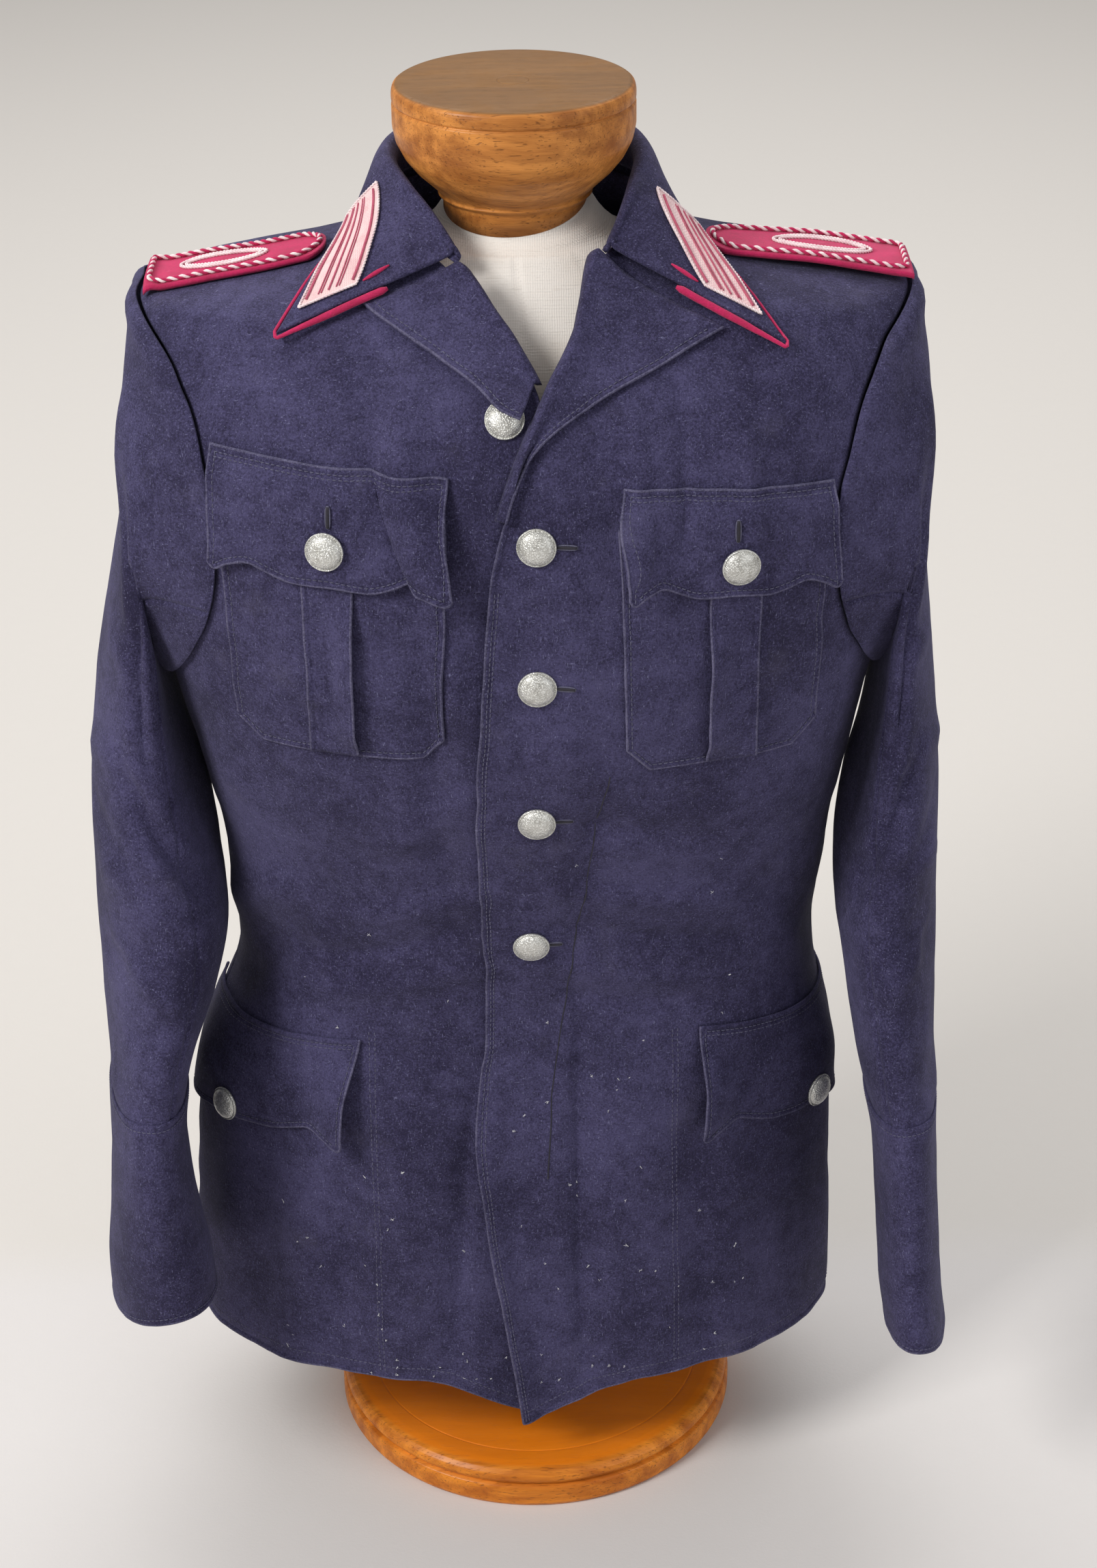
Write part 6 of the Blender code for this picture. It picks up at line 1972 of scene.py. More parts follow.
@dataclass
class Collar:
    """The stand-and-fall collar with its piping, braid patches and their cord border."""

    body: BodySurface
    patch_length: tuple = ((Side.RIGHT, 2.05), (Side.LEFT, 1.8))
    piping: tuple = (0.0011, 0.0022)
    piping_gap: float = 0.0004
    patch_rows: tuple = (5.38, 6.58)
    patch_inset: float = 0.32

    def half(self, side: Side) -> CollarSurface:
        """One half's surface."""
        return CollarSurface(self.body, side, COLLAR_STATIONS[side])

    def collar_place(self, s: Array, t: Array, depth: Array) -> Array:
        """The whole collar, both halves in one.

        Args:
            s: from the right front edge round the neck to the left one.
            t: from the neck seam to the outer edge.
            depth: above the collar's under face.

        Returns:
            Points of the collar.
        """
        halves = {side: self.half(side) for side in Side}
        last = halves[Side.RIGHT].last - END_GAP
        rows = 7 - 2 * END_GAP
        s, t, depth = alike(s, t, depth)
        u = last * np.abs(2 * s - 1)
        v = END_GAP + rows * t
        right = halves[Side.RIGHT].point(u, v, depth - 0.5 * COLLAR_CLOTH)
        left = halves[Side.LEFT].point(u, v, depth - 0.5 * COLLAR_CLOTH)
        return np.where((s < 0.5)[..., None], right, left)

    def edge_path(self) -> tuple[Array, Array]:
        """Points just outside the collar's free edges, and the piping's radius at each.

        Returns:
            Points and radii.
        """
        halves = []
        for side in Side:
            half = self.half(side)
            last = half.last
            v_front = np.linspace(4.9, 6.989, 26)
            u_edge = np.linspace(last - END_GAP, 0.0, 90)
            front = self.moved(half.point(last - END_GAP, v_front, 0.0), half.point(last - 0.1, v_front, 0.0),
                               self.piping[1] + self.piping_gap)
            edge = self.moved(half.point(u_edge, 6.989, 0.0), half.point(u_edge, 6.9, 0.0),
                              self.piping[0] + self.piping_gap)
            tip = half.point(np.array([last - END_GAP]), np.array([6.989]), 0.0)[0]
            corner = tip + 0.95 * (front[-1] + edge[0] - 2 * tip)
            path = np.concatenate([front, corner[None], edge[1:]])
            thick = np.full(len(path), self.piping[0])
            fade = smoothstep(np.linspace(1.6, 0.0, len(front)))
            thick[:len(front)] = self.piping[0] + (self.piping[1] - self.piping[0]) * fade
            thick[0] *= 0.5
            halves.append((path, thick))
        (right, right_thick), (left, left_thick) = halves
        path = np.concatenate([right, left[-2::-1]])
        thick = np.concatenate([right_thick, left_thick[-2::-1]])
        return path + 0.00012 * lumps(path, 0.004, 41)[:, None], thick

    @staticmethod
    def moved(points: Array, inner: Array, distance: float) -> Array:
        """An edge moved away from points further in, square to its own run.

        Args:
            points: the edge.
            inner: the points further in.
            distance: how far.

        Returns:
            The moved edge.
        """
        run = unit(np.gradient(points, axis=0))
        out = points - inner
        out = out - run * np.sum(out * run, axis=-1, keepdims=True)
        return points + distance * unit(out)

    def patch_place(self, side: Side, s: Array, t: Array, depth: Array) -> Array:
        """A parallelogram on the collar's fall.

        Args:
            side: which side.
            s: along the collar, 0 to 1.
            t: across it, 0 to 1.
            depth: above the fall's outer face.

        Returns:
            Points of the patch.
        """
        half = self.half(side)
        length = dict(self.patch_length)[side]
        inner_v = self.patch_rows[0] - s
        v = inner_v + (self.patch_rows[1] - inner_v) * t
        u = half.last - self.patch_inset - 0.08 * t - s * length
        return half.point(u, v, 0.5 * COLLAR_CLOTH + 0.0003 + depth)

    def patch_trim(self, side: Side, finishes: Finishes) -> list[bpy.types.Object]:
        """The patch of one side with its raised stripes and twisted border.

        Args:
            side: which side.
            finishes: the materials.

        Returns:
            The pieces.
        """
        piece = ClothPiece(f"braid_patch_{side.word}", partial(self.patch_place, side), 0.0012,
                           (PLAIN,) * 4, step=0.0012)
        patch = seat(piece.build(finishes.braid), "braid", f"collar_patch_{side.word}")
        stripes = []
        for middle, radius in ((0.095, 0.00085), (0.315, 0.00042), (0.365, 0.00042), (0.5, 0.0006),
                               (0.635, 0.00042), (0.685, 0.00042), (0.905, 0.00085)):
            path, _ = piece.on_face(np.linspace(0.05, 0.95, 60), np.full(60, middle), 0.0002)
            stripes.append(tube(path, radius, 6))
        bars = seat(mesh_object(f"patch_stripes_{side.word}", *joined(stripes), [finishes.stripe]), "braid")
        ends = np.linspace(0.0, 1.0, 60)
        s = np.concatenate([ends, np.ones(30), ends[::-1], np.zeros(30)])
        t = np.concatenate([np.zeros(60), np.linspace(0, 1, 30), np.ones(60), np.linspace(1, 0, 30)])
        keep = np.append(True, (np.abs(np.diff(s)) + np.abs(np.diff(t))) > 1e-6)
        path, _ = piece.on_face(s[keep][:-1], t[keep][:-1], 0.0002)
        border = twisted(f"patch_border_{side.word}", path, 0.00085, 0.004, 2, [finishes.cord], closed=True)
        half = self.half(side)
        tab_u, tab_v = half.last - np.linspace(0.34, 0.41, 12), np.linspace(5.26, 4.8, 12)
        thick = 0.0013 * np.sin(np.linspace(0.35, math.pi - 0.35, 12))
        tab = tube(half.point(tab_u, tab_v, 0.5 * COLLAR_CLOTH + 0.0006), thick, 8)
        felt_bit = seat(mesh_object(f"felt_bit_{side.word}", *tab, [finishes.felt]), "felt")
        return [patch, bars, seat(border, "cord"), felt_bit]

    def build(self, finishes: Finishes) -> list[bpy.types.Object]:
        """Make the collar and its trim.

        Args:
            finishes: the materials.

        Returns:
            The pieces.
        """
        piece = ClothPiece("turned_collar", self.collar_place, COLLAR_CLOTH, (TURNED, TURNED, SEAM, TURNED),
                           step=0.0032)
        made = [piece.sewn(finishes.wool, "collar", "folded", "front_panel_left", "front_panel_right")]
        path, radii = self.edge_path()
        piping = mesh_object("felt_piping", *tube(path, radii, 10), [finishes.felt])
        made.append(seat(piping, "felt", "collar_piping"))
        for side in Side:
            made += self.patch_trim(side, finishes)
        return made


def twisted(name: str, path: Array, radius: float, pitch: float, strands: int, yarns: Sequence,
            closed: bool = False) -> bpy.types.Object:
    """A cord laid from helical strands.

    Args:
        name: the piece's name.
        path: the cord's middle.
        radius: of the whole cord.
        pitch: length of one turn.
        strands: how many strands.
        yarns: the strands' materials, taken in turn.
        closed: the path ends where it starts.

    Returns:
        The cord.
    """
    if closed:
        path = np.concatenate([path, path[:1]])
    gone = run_lengths(path)
    turns = max(1, round(gone[-1] / pitch))
    count = turns * 8 + (0 if closed else 1)
    spots = np.linspace(0, gone[-1], count, endpoint=not closed)
    fine = read_along(path, gone, spots)
    _, side, up = path_frames(fine, closed)
    if closed:
        start = np.arctan2(np.dot(up[-1], side[0]), np.dot(up[-1], up[0]))
    else:
        start = 0.0
    strand = radius * 0.56
    parts = []
    for number in range(strands):
        turn = (2 * math.pi * turns + start) * spots / gone[-1] + 2 * math.pi * number / strands
        middle = fine + (radius - strand) * (np.cos(turn)[:, None] * side + np.sin(turn)[:, None] * up)
        parts.append(tube(middle, strand, 7, closed))
    slots = np.concatenate([np.full(len(part[1]), number % len(yarns)) for number, part in enumerate(parts)])
    return mesh_object(name, *joined(parts), yarns, slots)


def scallop(s: Array) -> Array:
    """How far a flap's lower edge rises at s along it: nothing at the three points, most between."""
    return hermite(np.array(FLAP_SCALLOP), np.abs(2 * s - 1))[..., 0]


@dataclass
class ChestPockets:
    """Patch pockets with a raised box pleat and a shaped flap."""

    body: BodySurface
    panels: BodyPanels
    pockets: tuple = (
        (Side.RIGHT, (-0.1735, -0.041, 0.752, 0.5895, 0.0035, 0.014)),
        (Side.LEFT, (0.1765, 0.057, 0.737, 0.579, 0.003, 0.016)),
    )
    flaps: tuple = (
        (Side.RIGHT, (-0.1755, -0.039, 0.776, 0.767, 0.0715, -0.002)),
        (Side.LEFT, (0.18, 0.06, 0.751, 0.761, 0.0655, 0.004)),
    )
    pleat_half_width: float = 0.0145
    pleat_gap: float = 0.0058
    flap_stand: float = 0.008
    pleat_shifts: tuple = ((Side.RIGHT, -0.003), (Side.LEFT, 0.006))

    def on_front(self, side: Side, x: Array, z: Array, depth: Array) -> Array:
        """Points at a depth above the front's outer face, from their x and height."""
        angle = self.body.angle_at_x(x, z)
        return self.body.point(angle, z, self.panels.front_depth(side, angle, z) + depth)

    def pocket_place(self, side: Side, s: Array, t: Array, depth: Array) -> Array:
        """The patch, with its foot's corners cut.

        Args:
            side: which side.
            s: from the outer to the inner edge.
            t: from the foot up.
            depth: above the patch's under face.

        Returns:
            Points of the patch, bellied out a little between its edges.
        """
        outer_x, inner_x, top_z, bottom_z, narrowing, chamfer = dict(self.pockets)[side]
        middle, half = 0.5 * (outer_x + inner_x), 0.5 * (inner_x - outer_x)
        across = 2 * s - 1
        bottom = bottom_z + chamfer * np.clip((np.abs(across) - 0.74) / 0.26, 0.0, 1.0)
        height = bottom + (top_z - bottom) * t
        x = middle + half * across * (1 - narrowing / abs(half) * (1 - t))
        belly = 0.0012 * (1 - across**2) * np.sin(math.pi * np.clip(t, 0, 1))
        return self.on_front(side, x, height, LAYER_GAP * 0.6 + belly * 0.25 + depth)

    def pleat_place(self, side: Side, s: Array, t: Array, depth: Array) -> Array:
        """The box pleat; the edge towards the tunic's middle stands open.

        Args:
            side: which side.
            s: from the edge away from the tunic's middle to the other.
            t: from the foot up.
            depth: above the pleat's under face.

        Returns:
            Points of the pleat.
        """
        outer_x, inner_x, top_z, bottom_z, _, _ = dict(self.pockets)[side]
        middle = 0.5 * (outer_x + inner_x) + dict(self.pleat_shifts)[side]
        across = (2 * s - 1) * -side.value
        height = bottom_z + 0.0015 + (top_z - 0.008 - bottom_z) * t
        free = smoothstep(t / 0.12) * (1 - smoothstep((t - 0.48) / 0.22))
        open_edge = self.pleat_gap * smoothstep((s - 0.4) / 0.6) * free
        shut_edge = 0.0008 * smoothstep((0.3 - s) / 0.3)
        x = middle + self.pleat_half_width * across
        return self.on_front(side, x, height, POCKET_CLOTH + 1.3 * LAYER_GAP + open_edge + shut_edge + depth)

    def flap_place(self, side: Side, s: Array, t: Array, depth: Array) -> Array:
        """The flap, sewn down along its top edge.

        Args:
            side: which side.
            s: from the outer to the inner end.
            t: downwards.
            depth: above the flap's under face.

        Returns:
            Points of the flap; the lower part of its inner end stands off.
        """
        outer_x, inner_x, outer_z, inner_z, flap_drop, _ = dict(self.flaps)[side]
        under = 2 * POCKET_CLOTH + 2.4 * LAYER_GAP
        top = outer_z + (inner_z - outer_z) * s
        bottom = top - flap_drop + scallop(s)
        height = top + (bottom - top) * t
        x = outer_x + (inner_x - outer_x) * s + 0 * t
        stand = self.flap_stand * smoothstep((s - 0.76) / 0.24) * smoothstep((t - 0.12) / 0.6)
        stand = stand + 0.0022 * smoothstep((0.22 - s) / 0.22) * smoothstep((t - 0.3) / 0.6)
        stand = stand + 0.0012 * smoothstep((t - 0.6) / 0.4)
        return self.on_front(side, x, height, LAYER_GAP + under * smoothstep(t / 0.28) + stand + depth)

    def button_spot(self, side: Side) -> tuple[float, float, float]:
        """Angle, height and depth of the flap's button.

        Args:
            side: which side.

        Returns:
            The three numbers.
        """
        outer_x, inner_x, outer_z, inner_z, flap_drop, shift = dict(self.flaps)[side]
        x, z = 0.5 * (outer_x + inner_x) + shift, 0.5 * (outer_z + inner_z) - 0.65 * flap_drop
        angle = float(self.body.angle_at_x(x, z))
        return angle, z, float(self.panels.front_depth(side, angle, z)) + 3 * POCKET_CLOTH + 3.4 * LAYER_GAP

    def build(self, finishes: Finishes) -> list[bpy.types.Object]:
        """Make pockets, pleats and flaps with their stitching.

        Args:
            finishes: the materials.

        Returns:
            The pieces.
        """
        made = []
        rows, rolls = Stitching("pocket_stitching"), EdgeRolls("pocket_edges")
        for side in Side:
            word = side.word
            pocket = ClothPiece(f"patch_pocket_{word}", partial(self.pocket_place, side), POCKET_CLOTH,
                                (TURNED, TURNED, TURNED, PLAIN), step=0.0034)
            pleat = ClothPiece(f"box_pleat_{word}", partial(self.pleat_place, side), POCKET_CLOTH,
                               (TURNED, TURNED, PLAIN, PLAIN), step=0.0022)
            flap = ClothPiece(f"shaped_flap_{word}", partial(self.flap_place, side), POCKET_CLOTH,
                              (TURNED,) * 4, step=0.0024)
            made.append(pocket.sewn(finishes.wool, f"chest_pocket_{word}", "laid", f"front_panel_{word}"))
            made.append(pleat.sewn(finishes.wool, f"pocket_pleat_{word}", "folded", pocket.name))
            made.append(flap.sewn(finishes.wool, f"chest_flap_{word}", "hung", f"front_panel_{word}"))
            for edge in (0, 1, 2):
                rows.row(*pocket.line(edge, EDGE_STITCH, 0.03, 0.97))
            for edge, start, end in ((0, 0.05, 0.97), (1, 0.05, 0.97), (2, 0.02, 0.98), (3, 0.03, 0.97)):
                rows.row(*flap.line(edge, EDGE_STITCH, start, end))
            rows.row(*flap.line(2, INNER_STITCH, 0.02, 0.98))
            for edge in (0, 1, 2):
                rolls.add(pocket, edge)
                rolls.add(flap, edge)
            rolls.add(flap, 3, count=180)
            rolls.add(pleat, 0)
            rolls.add(pleat, 1)
        return [*made, rolls.build(finishes.worn), rows.build(finishes.thread)]


@dataclass
class LowerPockets:
    """The flaps of the pockets let into the skirt; their front edges curl out."""

    body: BodySurface
    flaps: tuple = (
        (Side.RIGHT, (-47.0, -97.0, 0.3615, 0.3425, 0.076, -73.0, 0.287)),
        (Side.LEFT, (49.5, 98.0, 0.367, 0.3445, 0.08, 76.0, 0.286)),
    )
    lift: float = 0.0016
    curl: float = 0.012

    def flap_place(self, side: Side, s: Array, t: Array, depth: Array) -> Array:
        """A flap, whose front end curls out.

        Args:
            side: which side.
            s: from the front to the back end.
            t: downwards.
            depth: above the flap's under face.

        Returns:
            Points of the flap.
        """
        front_angle, back_angle, front_z, back_z, flap_drop, _, _ = dict(self.flaps)[side]
        top = front_z + (back_z - front_z) * s
        bottom = top - flap_drop + scallop(s)
        height = top + (bottom - top) * t
        angle = front_angle + (back_angle - front_angle) * s + 0 * t
        curl = self.curl * smoothstep((0.22 - s) / 0.22) ** 1.3 * smoothstep((t - 0.05) / 0.6)
        base = CLOTH + LAYER_GAP + self.lift * smoothstep(t) + curl
        return self.body.point(angle, height, base + depth)

    def button_spot(self, side: Side) -> tuple[float, float, float]:
        """Angle, height and depth of the flap's button."""
        angle, z = dict(self.flaps)[side][5:]
        return angle, z, CLOTH + LAYER_GAP + POCKET_CLOTH + self.lift

    def build(self, finishes: Finishes) -> list[bpy.types.Object]:
        """Make both flaps.

        Args:
            finishes: the materials.

        Returns:
            The pieces.
        """
        made = []
        rows, rolls = Stitching("lower_flap_stitching"), EdgeRolls("lower_flap_edges")
        for side in Side:
            flap = ClothPiece(f"skirt_flap_{side.word}", partial(self.flap_place, side), POCKET_CLOTH,
                              (TURNED,) * 4, step=0.0032)
            made.append(flap.sewn(finishes.wool, f"lower_flap_{side.word}", "hung", f"front_panel_{side.word}"))
            for edge, start, end in ((0, 0.06, 0.96), (1, 0.06, 0.96), (2, 0.03, 0.97), (3, 0.04, 0.96)):
                rows.row(*flap.line(edge, EDGE_STITCH, start, end))
            rows.row(*flap.line(2, 0.0072, 0.03, 0.97))
            for edge in (0, 1, 3):
                rolls.add(flap, edge, count=150)
        return [*made, rolls.build(finishes.worn), rows.build(finishes.thread)]


@dataclass
class ShoulderBoards:
    """Felt boards along the shoulders, edged with twisted cord round an inner loop."""

    body: BodySurface
    boards: tuple = (
        (Side.RIGHT, (0.112, 0.219, -0.008, 0.0235, 0.0)),
        (Side.LEFT, (0.112, 0.233, -0.006, 0.025, 0.004)),
    )
    thickness: float = 0.0028
    bend_x: float = 0.2215
    taper: float = 0.16
    blunt: float = 0.013
    droop: float = 0.45
    cord_radius: float = 0.0016

    def board_place(self, side: Side, s: Array, t: Array, depth: Array) -> Array:
        """A board, blunt at the neck and bent down over the sleeve.

        Args:
            side: which side.
            s: from the sleeve to the neck.
            t: from back to front.
            depth: above the board's under face.

        Returns:
            Points of the board.
        """
        inner_x, outer_x, middle_y, half_width, rise = dict(self.boards)[side]
        s, t, depth = alike(s, t, depth)
        across = 2 * t - 1
        half = half_width * (1 - self.taper * smoothstep((s - 0.2) / 0.8))
        blunt = self.blunt * (1 - np.sqrt(1 - (0.96 * across) ** 2)) * smoothstep((s - 0.75) / 0.25)
        x = outer_x + (inner_x - outer_x) * s + blunt
        y = middle_y + half * across
        beyond = np.maximum(x - self.bend_x, 0.0)
        lift = CLOTH + 2 * LAYER_GAP + 0.0032 * smoothstep((0.12 - s) / 0.12)
        lift = lift + rise * smoothstep((1 - s) / 0.55)
        z = self.body.shoulder_height(side.value * (x - beyond), y, lift + depth) - self.droop * beyond
        return np.stack([side.value * x, y, z], -1)

    def loop(self, inset_s: float, inset_t: float, count: int = 60) -> tuple[Array, Array]:
        """Parameters of a rounded loop that keeps clear of the board's edges.

        Args:
            inset_s: from both ends.
            inset_t: from both long edges.
            count: points on each long side.

        Returns:
            Both parameters along the loop.
        """
        low, high = inset_t, 1 - inset_t
        straight = np.linspace(inset_s + 0.05, 1 - inset_s - 0.1, count)
        turn = np.linspace(-0.5 * math.pi, 0.5 * math.pi, 14)[1:-1]
        end_s = 1 - inset_s - 0.1 + 0.1 * np.cos(turn)
        end_t = 0.5 + (0.5 - inset_t) * np.sin(turn)
        start_t = np.linspace(high - 0.05, low + 0.05, 8)
        s = np.concatenate([straight, end_s, straight[::-1], np.full(8, inset_s)])
        t = np.concatenate([np.full(count, low), end_t, np.full(count, high), start_t])
        return s, t

    def build(self, finishes: Finishes) -> list[bpy.types.Object]:
        """Make boards and cords.

        Args:
            finishes: the materials.

        Returns:
            The pieces.
        """
        made = []
        yarns = [finishes.cord, finishes.felt]
        for side in Side:
            word = side.word
            board = ClothPiece(f"felt_board_{word}", partial(self.board_place, side), self.thickness,
                               (PLAIN,) * 4, step=0.0022)
            made.append(seat(board.build(finishes.felt), "felt", f"shoulder_board_{word}"))
            path, _ = board.on_face(*self.loop(0.03, 0.08), self.cord_radius * 0.9)
            edge = twisted(f"edge_cord_{word}", path, self.cord_radius, 0.0075, 2, yarns, closed=True)
            made.append(seat(edge, "cord", f"board_cord_{word}"))
            for number, half_width in enumerate((0.235, 0.165), start=1):
                turn = full_turn(120)
                s = 0.43 - (0.27 - 0.03 * number) * np.cos(turn)
                t = 0.54 + half_width * np.sign(np.sin(turn)) * np.abs(np.sin(turn)) ** 1.15
                path, _ = board.on_face(s, t, 0.0008)
                inner = twisted(f"inner_cord_{number}_{word}", path, 0.0011, 0.0042, 2, yarns[:1], closed=True)
                made.append(seat(inner, "cord"))
        return made


@dataclass
class Buttons:
    """Pebbled metal buttons, with the slits that they sit in."""

    body: BodySurface
    panels: BodyPanels
    radius: float = 0.0115
    dome: float = 0.0062
    front: tuple = ((0.7965, -4.6), (0.729, 3.8), (0.64, 3.5), (0.5445, 3.2), (0.444, 1.4))

    def profile(self) -> list:
        """Radius and height of the dome, its step and its rolled rim.

        Returns:
            Places from the top of the axis to its foot.
        """
        r, h = self.radius, self.dome
        turns = np.linspace(0, 1.45, 15)[1:]
        curve = [(0.9 * r * math.sin(a), 0.2 * h + 0.8 * h * math.cos(a)) for a in turns]
        rim = [(0.915 * r, 0.24 * h), (0.935 * r, 0.31 * h), (0.97 * r, 0.33 * h), (0.998 * r, 0.25 * h),
               (r, 0.14 * h), (0.975 * r, 0.03 * h), (0.94 * r, 0.0)]
        return [(0.0, h), *curve, *rim, (0.0, 0.0)]

    def frame_at(self, angle: float, z: float, depth: float) -> Matrix:
        """Where a button sits and which way it faces.

        Args:
            angle: round the tunic.
            z: the height.
            depth: above the cloth's inner face.

        Returns:
            The button's own frame.
        """
        point = Vector(self.body.point(angle, z, depth))
        normal = (Vector(self.body.point(angle, z, depth + 0.01)) - point).normalized()
        return Matrix.Translation(point) @ normal.to_track_quat("Z", "Y").to_matrix().to_4x4()

    def button(self, name: str, spot: tuple, finishes: Finishes, *nodes: str) -> bpy.types.Object:
        """One button with small dents.

        Args:
            name: the piece's name.
            spot: angle, height and depth.
            finishes: the materials.
            nodes: the CAD node that it stands for.

        Returns:
            The button.
        """
        vertices, faces = lathe(self.profile(), 72)
        matrix = np.array(self.frame_at(*spot))
        seed = int(spot[1] * 1000)
        dent = 0.00012 * lumps(vertices + (0.0, 0.0, spot[1]), 0.0021, seed)
        vertices = vertices + (0, 0, 1) * dent[:, None]
        placed = vertices @ matrix[:3, :3].T + matrix[:3, 3]
        return seat(mesh_object(name, placed, faces, [finishes.metal]), "metal", *nodes)

    def slit(self, angle: float, z: float, depth: float, run: tuple, length: float) -> list:
        """A worked buttonhole: a raised rim of thread round a dark core, which is painted shade standing for
        the open slit.

        Args:
            angle: of its middle.
            z: its height.
            depth: of the face it is cut in.
            run: its direction as (across, up).
            length: end to end.

        Returns:
            The rim's and the slit's points and faces.
        """
        matrix = np.array(self.frame_at(angle, z, depth))
        up = np.array((0.0, 0.0, 1.0))
        normal = matrix[:3, 2]
        up = unit(up - normal * up.dot(normal))
        across = np.cross(up, normal)
        turn = full_turn(40)
        long_way = (np.abs(np.cos(turn)) ** 0.6) * np.sign(np.cos(turn)) * 0.5 * length
        short_way = np.sin(turn) * 0.0013
        along = run[0] * across + run[1] * up
        beside = np.cross(normal, along)
        ring = matrix[:3, 3] + long_way[:, None] * along + short_way[:, None] * beside + normal * 0.0001
        # The core is painted shade: a near-black strand where the slit opens.
        core = matrix[:3, 3] + np.linspace(-0.48, 0.48, 9)[:, None] * length * along + normal * 0.0001
        return [tube(ring, 0.0005, 6, closed=True), tube(core, 0.0011, 6)]

    def build(self, chest: ChestPockets, lower: LowerPockets, finishes: Finishes) -> list[bpy.types.Object]:
        """Make every button and buttonhole.

        Args:
            chest: the chest pockets.
            lower: the lower pockets.
            finishes: the materials.

        Returns:
            The pieces.
        """
        made, holes = [], []
        for number, (z, angle) in enumerate(self.front, start=1):
            side = Side.RIGHT if number == 1 else Side.LEFT
            depth = float(self.panels.front_depth(side, angle, z))
            spot = (angle, z, depth + 0.0002)
            made.append(self.button(f"domed_button_{number}", spot, finishes, f"front_button_{number}"))
            if number > 1:
                holes.append(self.slit(angle + 6.4, z - 0.0005, depth, (1.0, -0.06), 0.012))
        for side in Side:
            word = side.word
            angle, z, depth = chest.button_spot(side)
            spot = (angle, z, depth + 0.0016)
            made.append(self.button(f"pocket_button_{word}", spot, finishes, f"chest_button_{word}"))
            holes.append(self.slit(angle, z + 0.0195, depth + 0.0008, (0.0, 1.0), 0.013))
            angle, z, depth = lower.button_spot(side)
            spot = (angle, z, depth + 0.0003)
            made.append(self.button(f"skirt_button_{word}", spot, finishes, f"lower_button_{word}"))
        rims, cores = zip(*holes)
        rim_piece = mesh_object("buttonhole_rims", *joined(rims), [finishes.thread])
        # The cores in near-black are painted shade of the slits.
        core_piece = mesh_object("buttonhole_slit_shade", *joined(cores), [finishes.slit])
        return [*made, seat(rim_piece, "cord"), seat(core_piece, "cord")]


@dataclass
class Lint:
    """White lint that has settled on the cloth: tangled short fibres in small tufts."""

    body: BodySurface
    panels: BodyPanels
    dust_count: int = 60
    seed: int = 17
    spots: tuple = (
        (0.1204, 0.4978, 1.0), (0.1143, 0.4709, 1.2), (0.1278, 0.4006, 1.1), (0.0627, 0.3376, 0.9),
        (0.0559, 0.3368, 0.7), (0.012, 0.3208, 1.0), (-0.0104, 0.301, 0.8), (0.0229, 0.2576, 1.1),
        (0.1144, 0.2224, 0.9), (0.1367, 0.1868, 1.0), (0.1439, 0.1576, 0.8), (0.0696, 0.1864, 0.9),
        (0.0792, 0.1844, 0.7), (0.0402, 0.1097, 0.9), (0.0491, 0.111, 1.0), (0.058, 0.1099, 0.8),
        (0.1248, 0.1196, 1.0), (0.0316, 0.2574, 0.8), (0.0114, 0.3798, 0.7), (0.0304, 0.5077, 0.7),
        (-0.1214, 0.3672, 0.8), (-0.1089, 0.2586, 0.9), (-0.0821, 0.2674, 0.8), (-0.1033, 0.1742, 0.8),
        (-0.0922, 0.1077, 0.9), (-0.068, 0.1018, 0.7), (-0.0483, 0.1198, 0.8), (-0.1505, 0.2024, 0.9),
        (-0.1312, 0.1334, 0.8), (-0.0981, 0.4448, 0.7), (-0.1031, 0.1498, 0.7), (-0.0927, 0.2215, 0.7),
    )

    def build(self, finishes: Finishes) -> bpy.types.Object:
        """Scatter the lint.

        Args:
            finishes: the materials.

        Returns:
            One piece of all the tufts.
        """
        rng = np.random.default_rng(self.seed)
        parts = []
        dust = [(rng.uniform(-0.17, 0.17), 0.1 + 0.3 * rng.random() ** 2, rng.uniform(0.15, 0.35))
                for _ in range(self.dust_count)]
        for x, z, size in (*self.spots, *dust):
            side = Side.LEFT if x > -0.02 else Side.RIGHT
            angle = self.body.angle_at_x(x, z)
            depth = self.panels.front_depth(side, angle, z) + 0.0002
            middle = self.body.point(angle, z, depth)
            normal = unit(self.body.point(angle, z, depth + 0.002) - middle)
            for _ in range(int(rng.integers(2, 5))):
                heading = rng.normal(size=3)
                heading = unit(heading - normal * heading.dot(normal))
                bend = unit(np.cross(normal, heading)) * rng.normal() * 0.0006
                length = size * rng.uniform(0.001, 0.0021)
                start = middle + rng.normal(size=3) * 0.0003
                path = [start + heading * length * k + bend * math.sin(3.0 * k) + normal * 0.00025
                        for k in np.linspace(-0.5, 0.5, 6)]
                parts.append(tube(np.array(path), rng.uniform(0.0001, 0.00022), 5))
        return seat(mesh_object("lint_tufts", *joined(parts), [finishes.lint]), "cord")


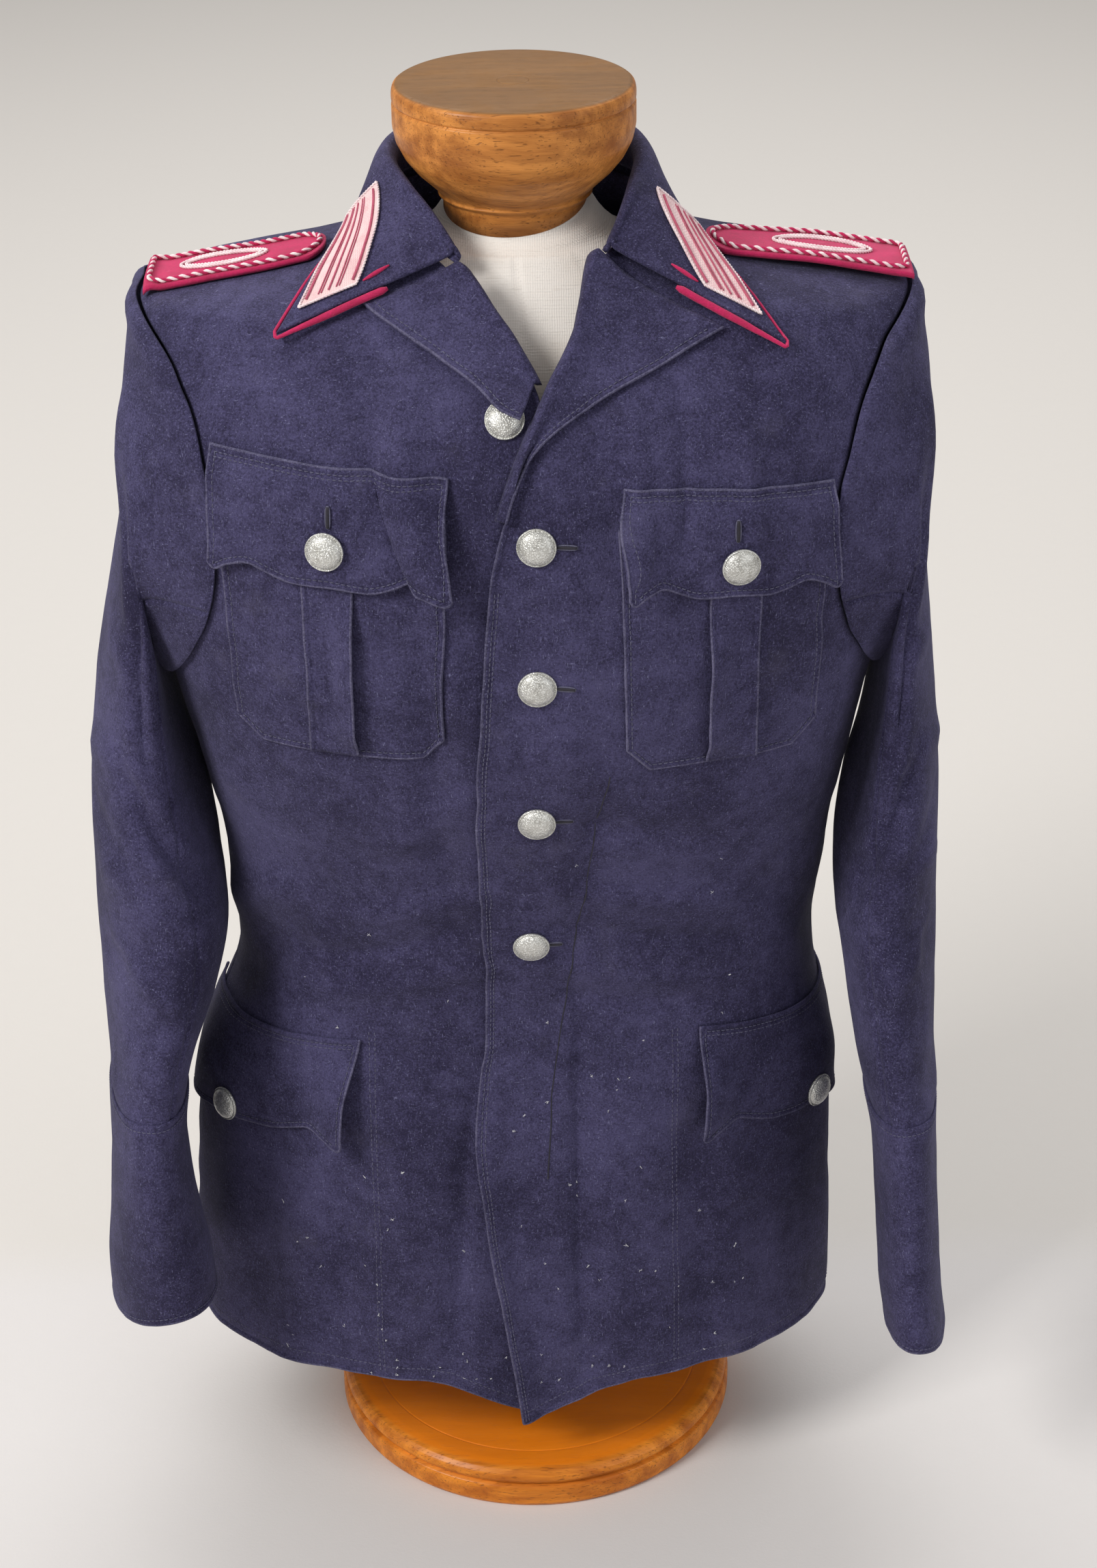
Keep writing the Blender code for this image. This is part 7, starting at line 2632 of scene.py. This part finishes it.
@dataclass
class Studio:
    """Camera at the photograph's angle, pale floor and soft studio light."""

    camera_place: tuple = (0.0149, -1.6792, 1.4123)
    pitch: float = 28.715
    roll: float = -0.751
    lens: float = 67.42
    lights: tuple = (
        ("key", (-1.95, -1.45, 2.4), (0.0, 0.0, 0.55), 1.0, 68.0, (1.0, 0.985, 0.96)),
        ("fill", (2.2, -1.6, 1.7), (0.0, 0.0, 0.5), 2.0, 20.0, (0.97, 0.98, 1.0)),
        ("wash", (0.0, 2.1, 3.0), (0.0, 2.1, 0.0), 3.6, 82.0, (1.0, 1.0, 1.0)),
    )
    ambient: float = 0.36
    floor_reach: float = 40.0

    def camera(self) -> None:
        """Place the camera."""
        data = bpy.data.cameras.new("camera")
        data.lens, data.sensor_width, data.sensor_fit = self.lens, 36.0, "AUTO"
        camera = bpy.data.objects.new("camera", data)
        turn = Matrix.Rotation(math.radians(90.0 - self.pitch), 4, "X")
        turn = turn @ Matrix.Rotation(math.radians(self.roll), 4, "Z")
        camera.matrix_world = Matrix.Translation(self.camera_place) @ turn
        bpy.context.scene.collection.objects.link(camera)
        bpy.context.scene.camera = camera

    @staticmethod
    def light(name: str, place: tuple, aim: tuple, size: float, power: float, colour: tuple) -> None:
        """One soft box.

        Args:
            name: the light's name.
            place: where it hangs.
            aim: what it points at.
            size: its side.
            power: in watts.
            colour: of its light.
        """
        data = bpy.data.lights.new(name, "AREA")
        data.shape, data.size, data.size_y = "RECTANGLE", size, size
        data.energy, data.color = power, colour
        obj = bpy.data.objects.new(name, data)
        obj.location = place
        obj.rotation_euler = (Vector(aim) - Vector(place)).to_track_quat("-Z", "Y").to_euler()
        bpy.context.scene.collection.objects.link(obj)

    def build(self, finishes: Finishes) -> None:
        """Set up the floor, the light and the camera.

        Args:
            finishes: the materials.
        """
        self.camera()
        reach = self.floor_reach
        corners = [(-reach, -reach, 0.0), (reach, -reach, 0.0), (reach, reach, 0.0), (-reach, reach, 0.0)]
        floor = mesh_object("floor", np.array(corners), [[0, 1, 2, 3]], [finishes.floor])
        for row in self.lights:
            self.light(*row)
        world = bpy.data.worlds.new("studio")
        bpy.context.scene.world = world
        world.use_nodes = True
        background = world.node_tree.nodes["Background"]
        background.inputs["Color"].default_value = (1.0, 0.985, 0.97, 1.0)
        background.inputs["Strength"].default_value = self.ambient
        bpy.context.scene.view_settings.view_transform = "Standard"


def main() -> None:
    """Build the stand, the tunic and the studio in order."""
    logging.basicConfig(level=logging.INFO, format="%(name)s: %(message)s")
    finishes = Finishes.build()
    body = BodySurface()
    panels = BodyPanels(body)
    chest, lower = ChestPockets(body, panels), LowerPockets(body)
    made = {
        "stand": DressForm().build(body, finishes),
        "body": panels.build(finishes),
        "sleeves": Sleeves(body).build(finishes),
        "lapels": Lapels(body, panels).build(finishes),
        "collar": Collar(body).build(finishes),
        "chest pockets": chest.build(finishes),
        "lower pockets": lower.build(finishes),
        "shoulder boards": ShoulderBoards(body).build(finishes),
        "buttons": Buttons(body, panels).build(chest, lower, finishes),
        "lint": [Lint(body, panels).build(finishes)],
    }
    for name, pieces in made.items():
        LOG.info("%s: %d pieces, %s", name, len(pieces), ", ".join(piece.name for piece in pieces))
    Studio().build(finishes)


if __name__ == "__main__":
    main()
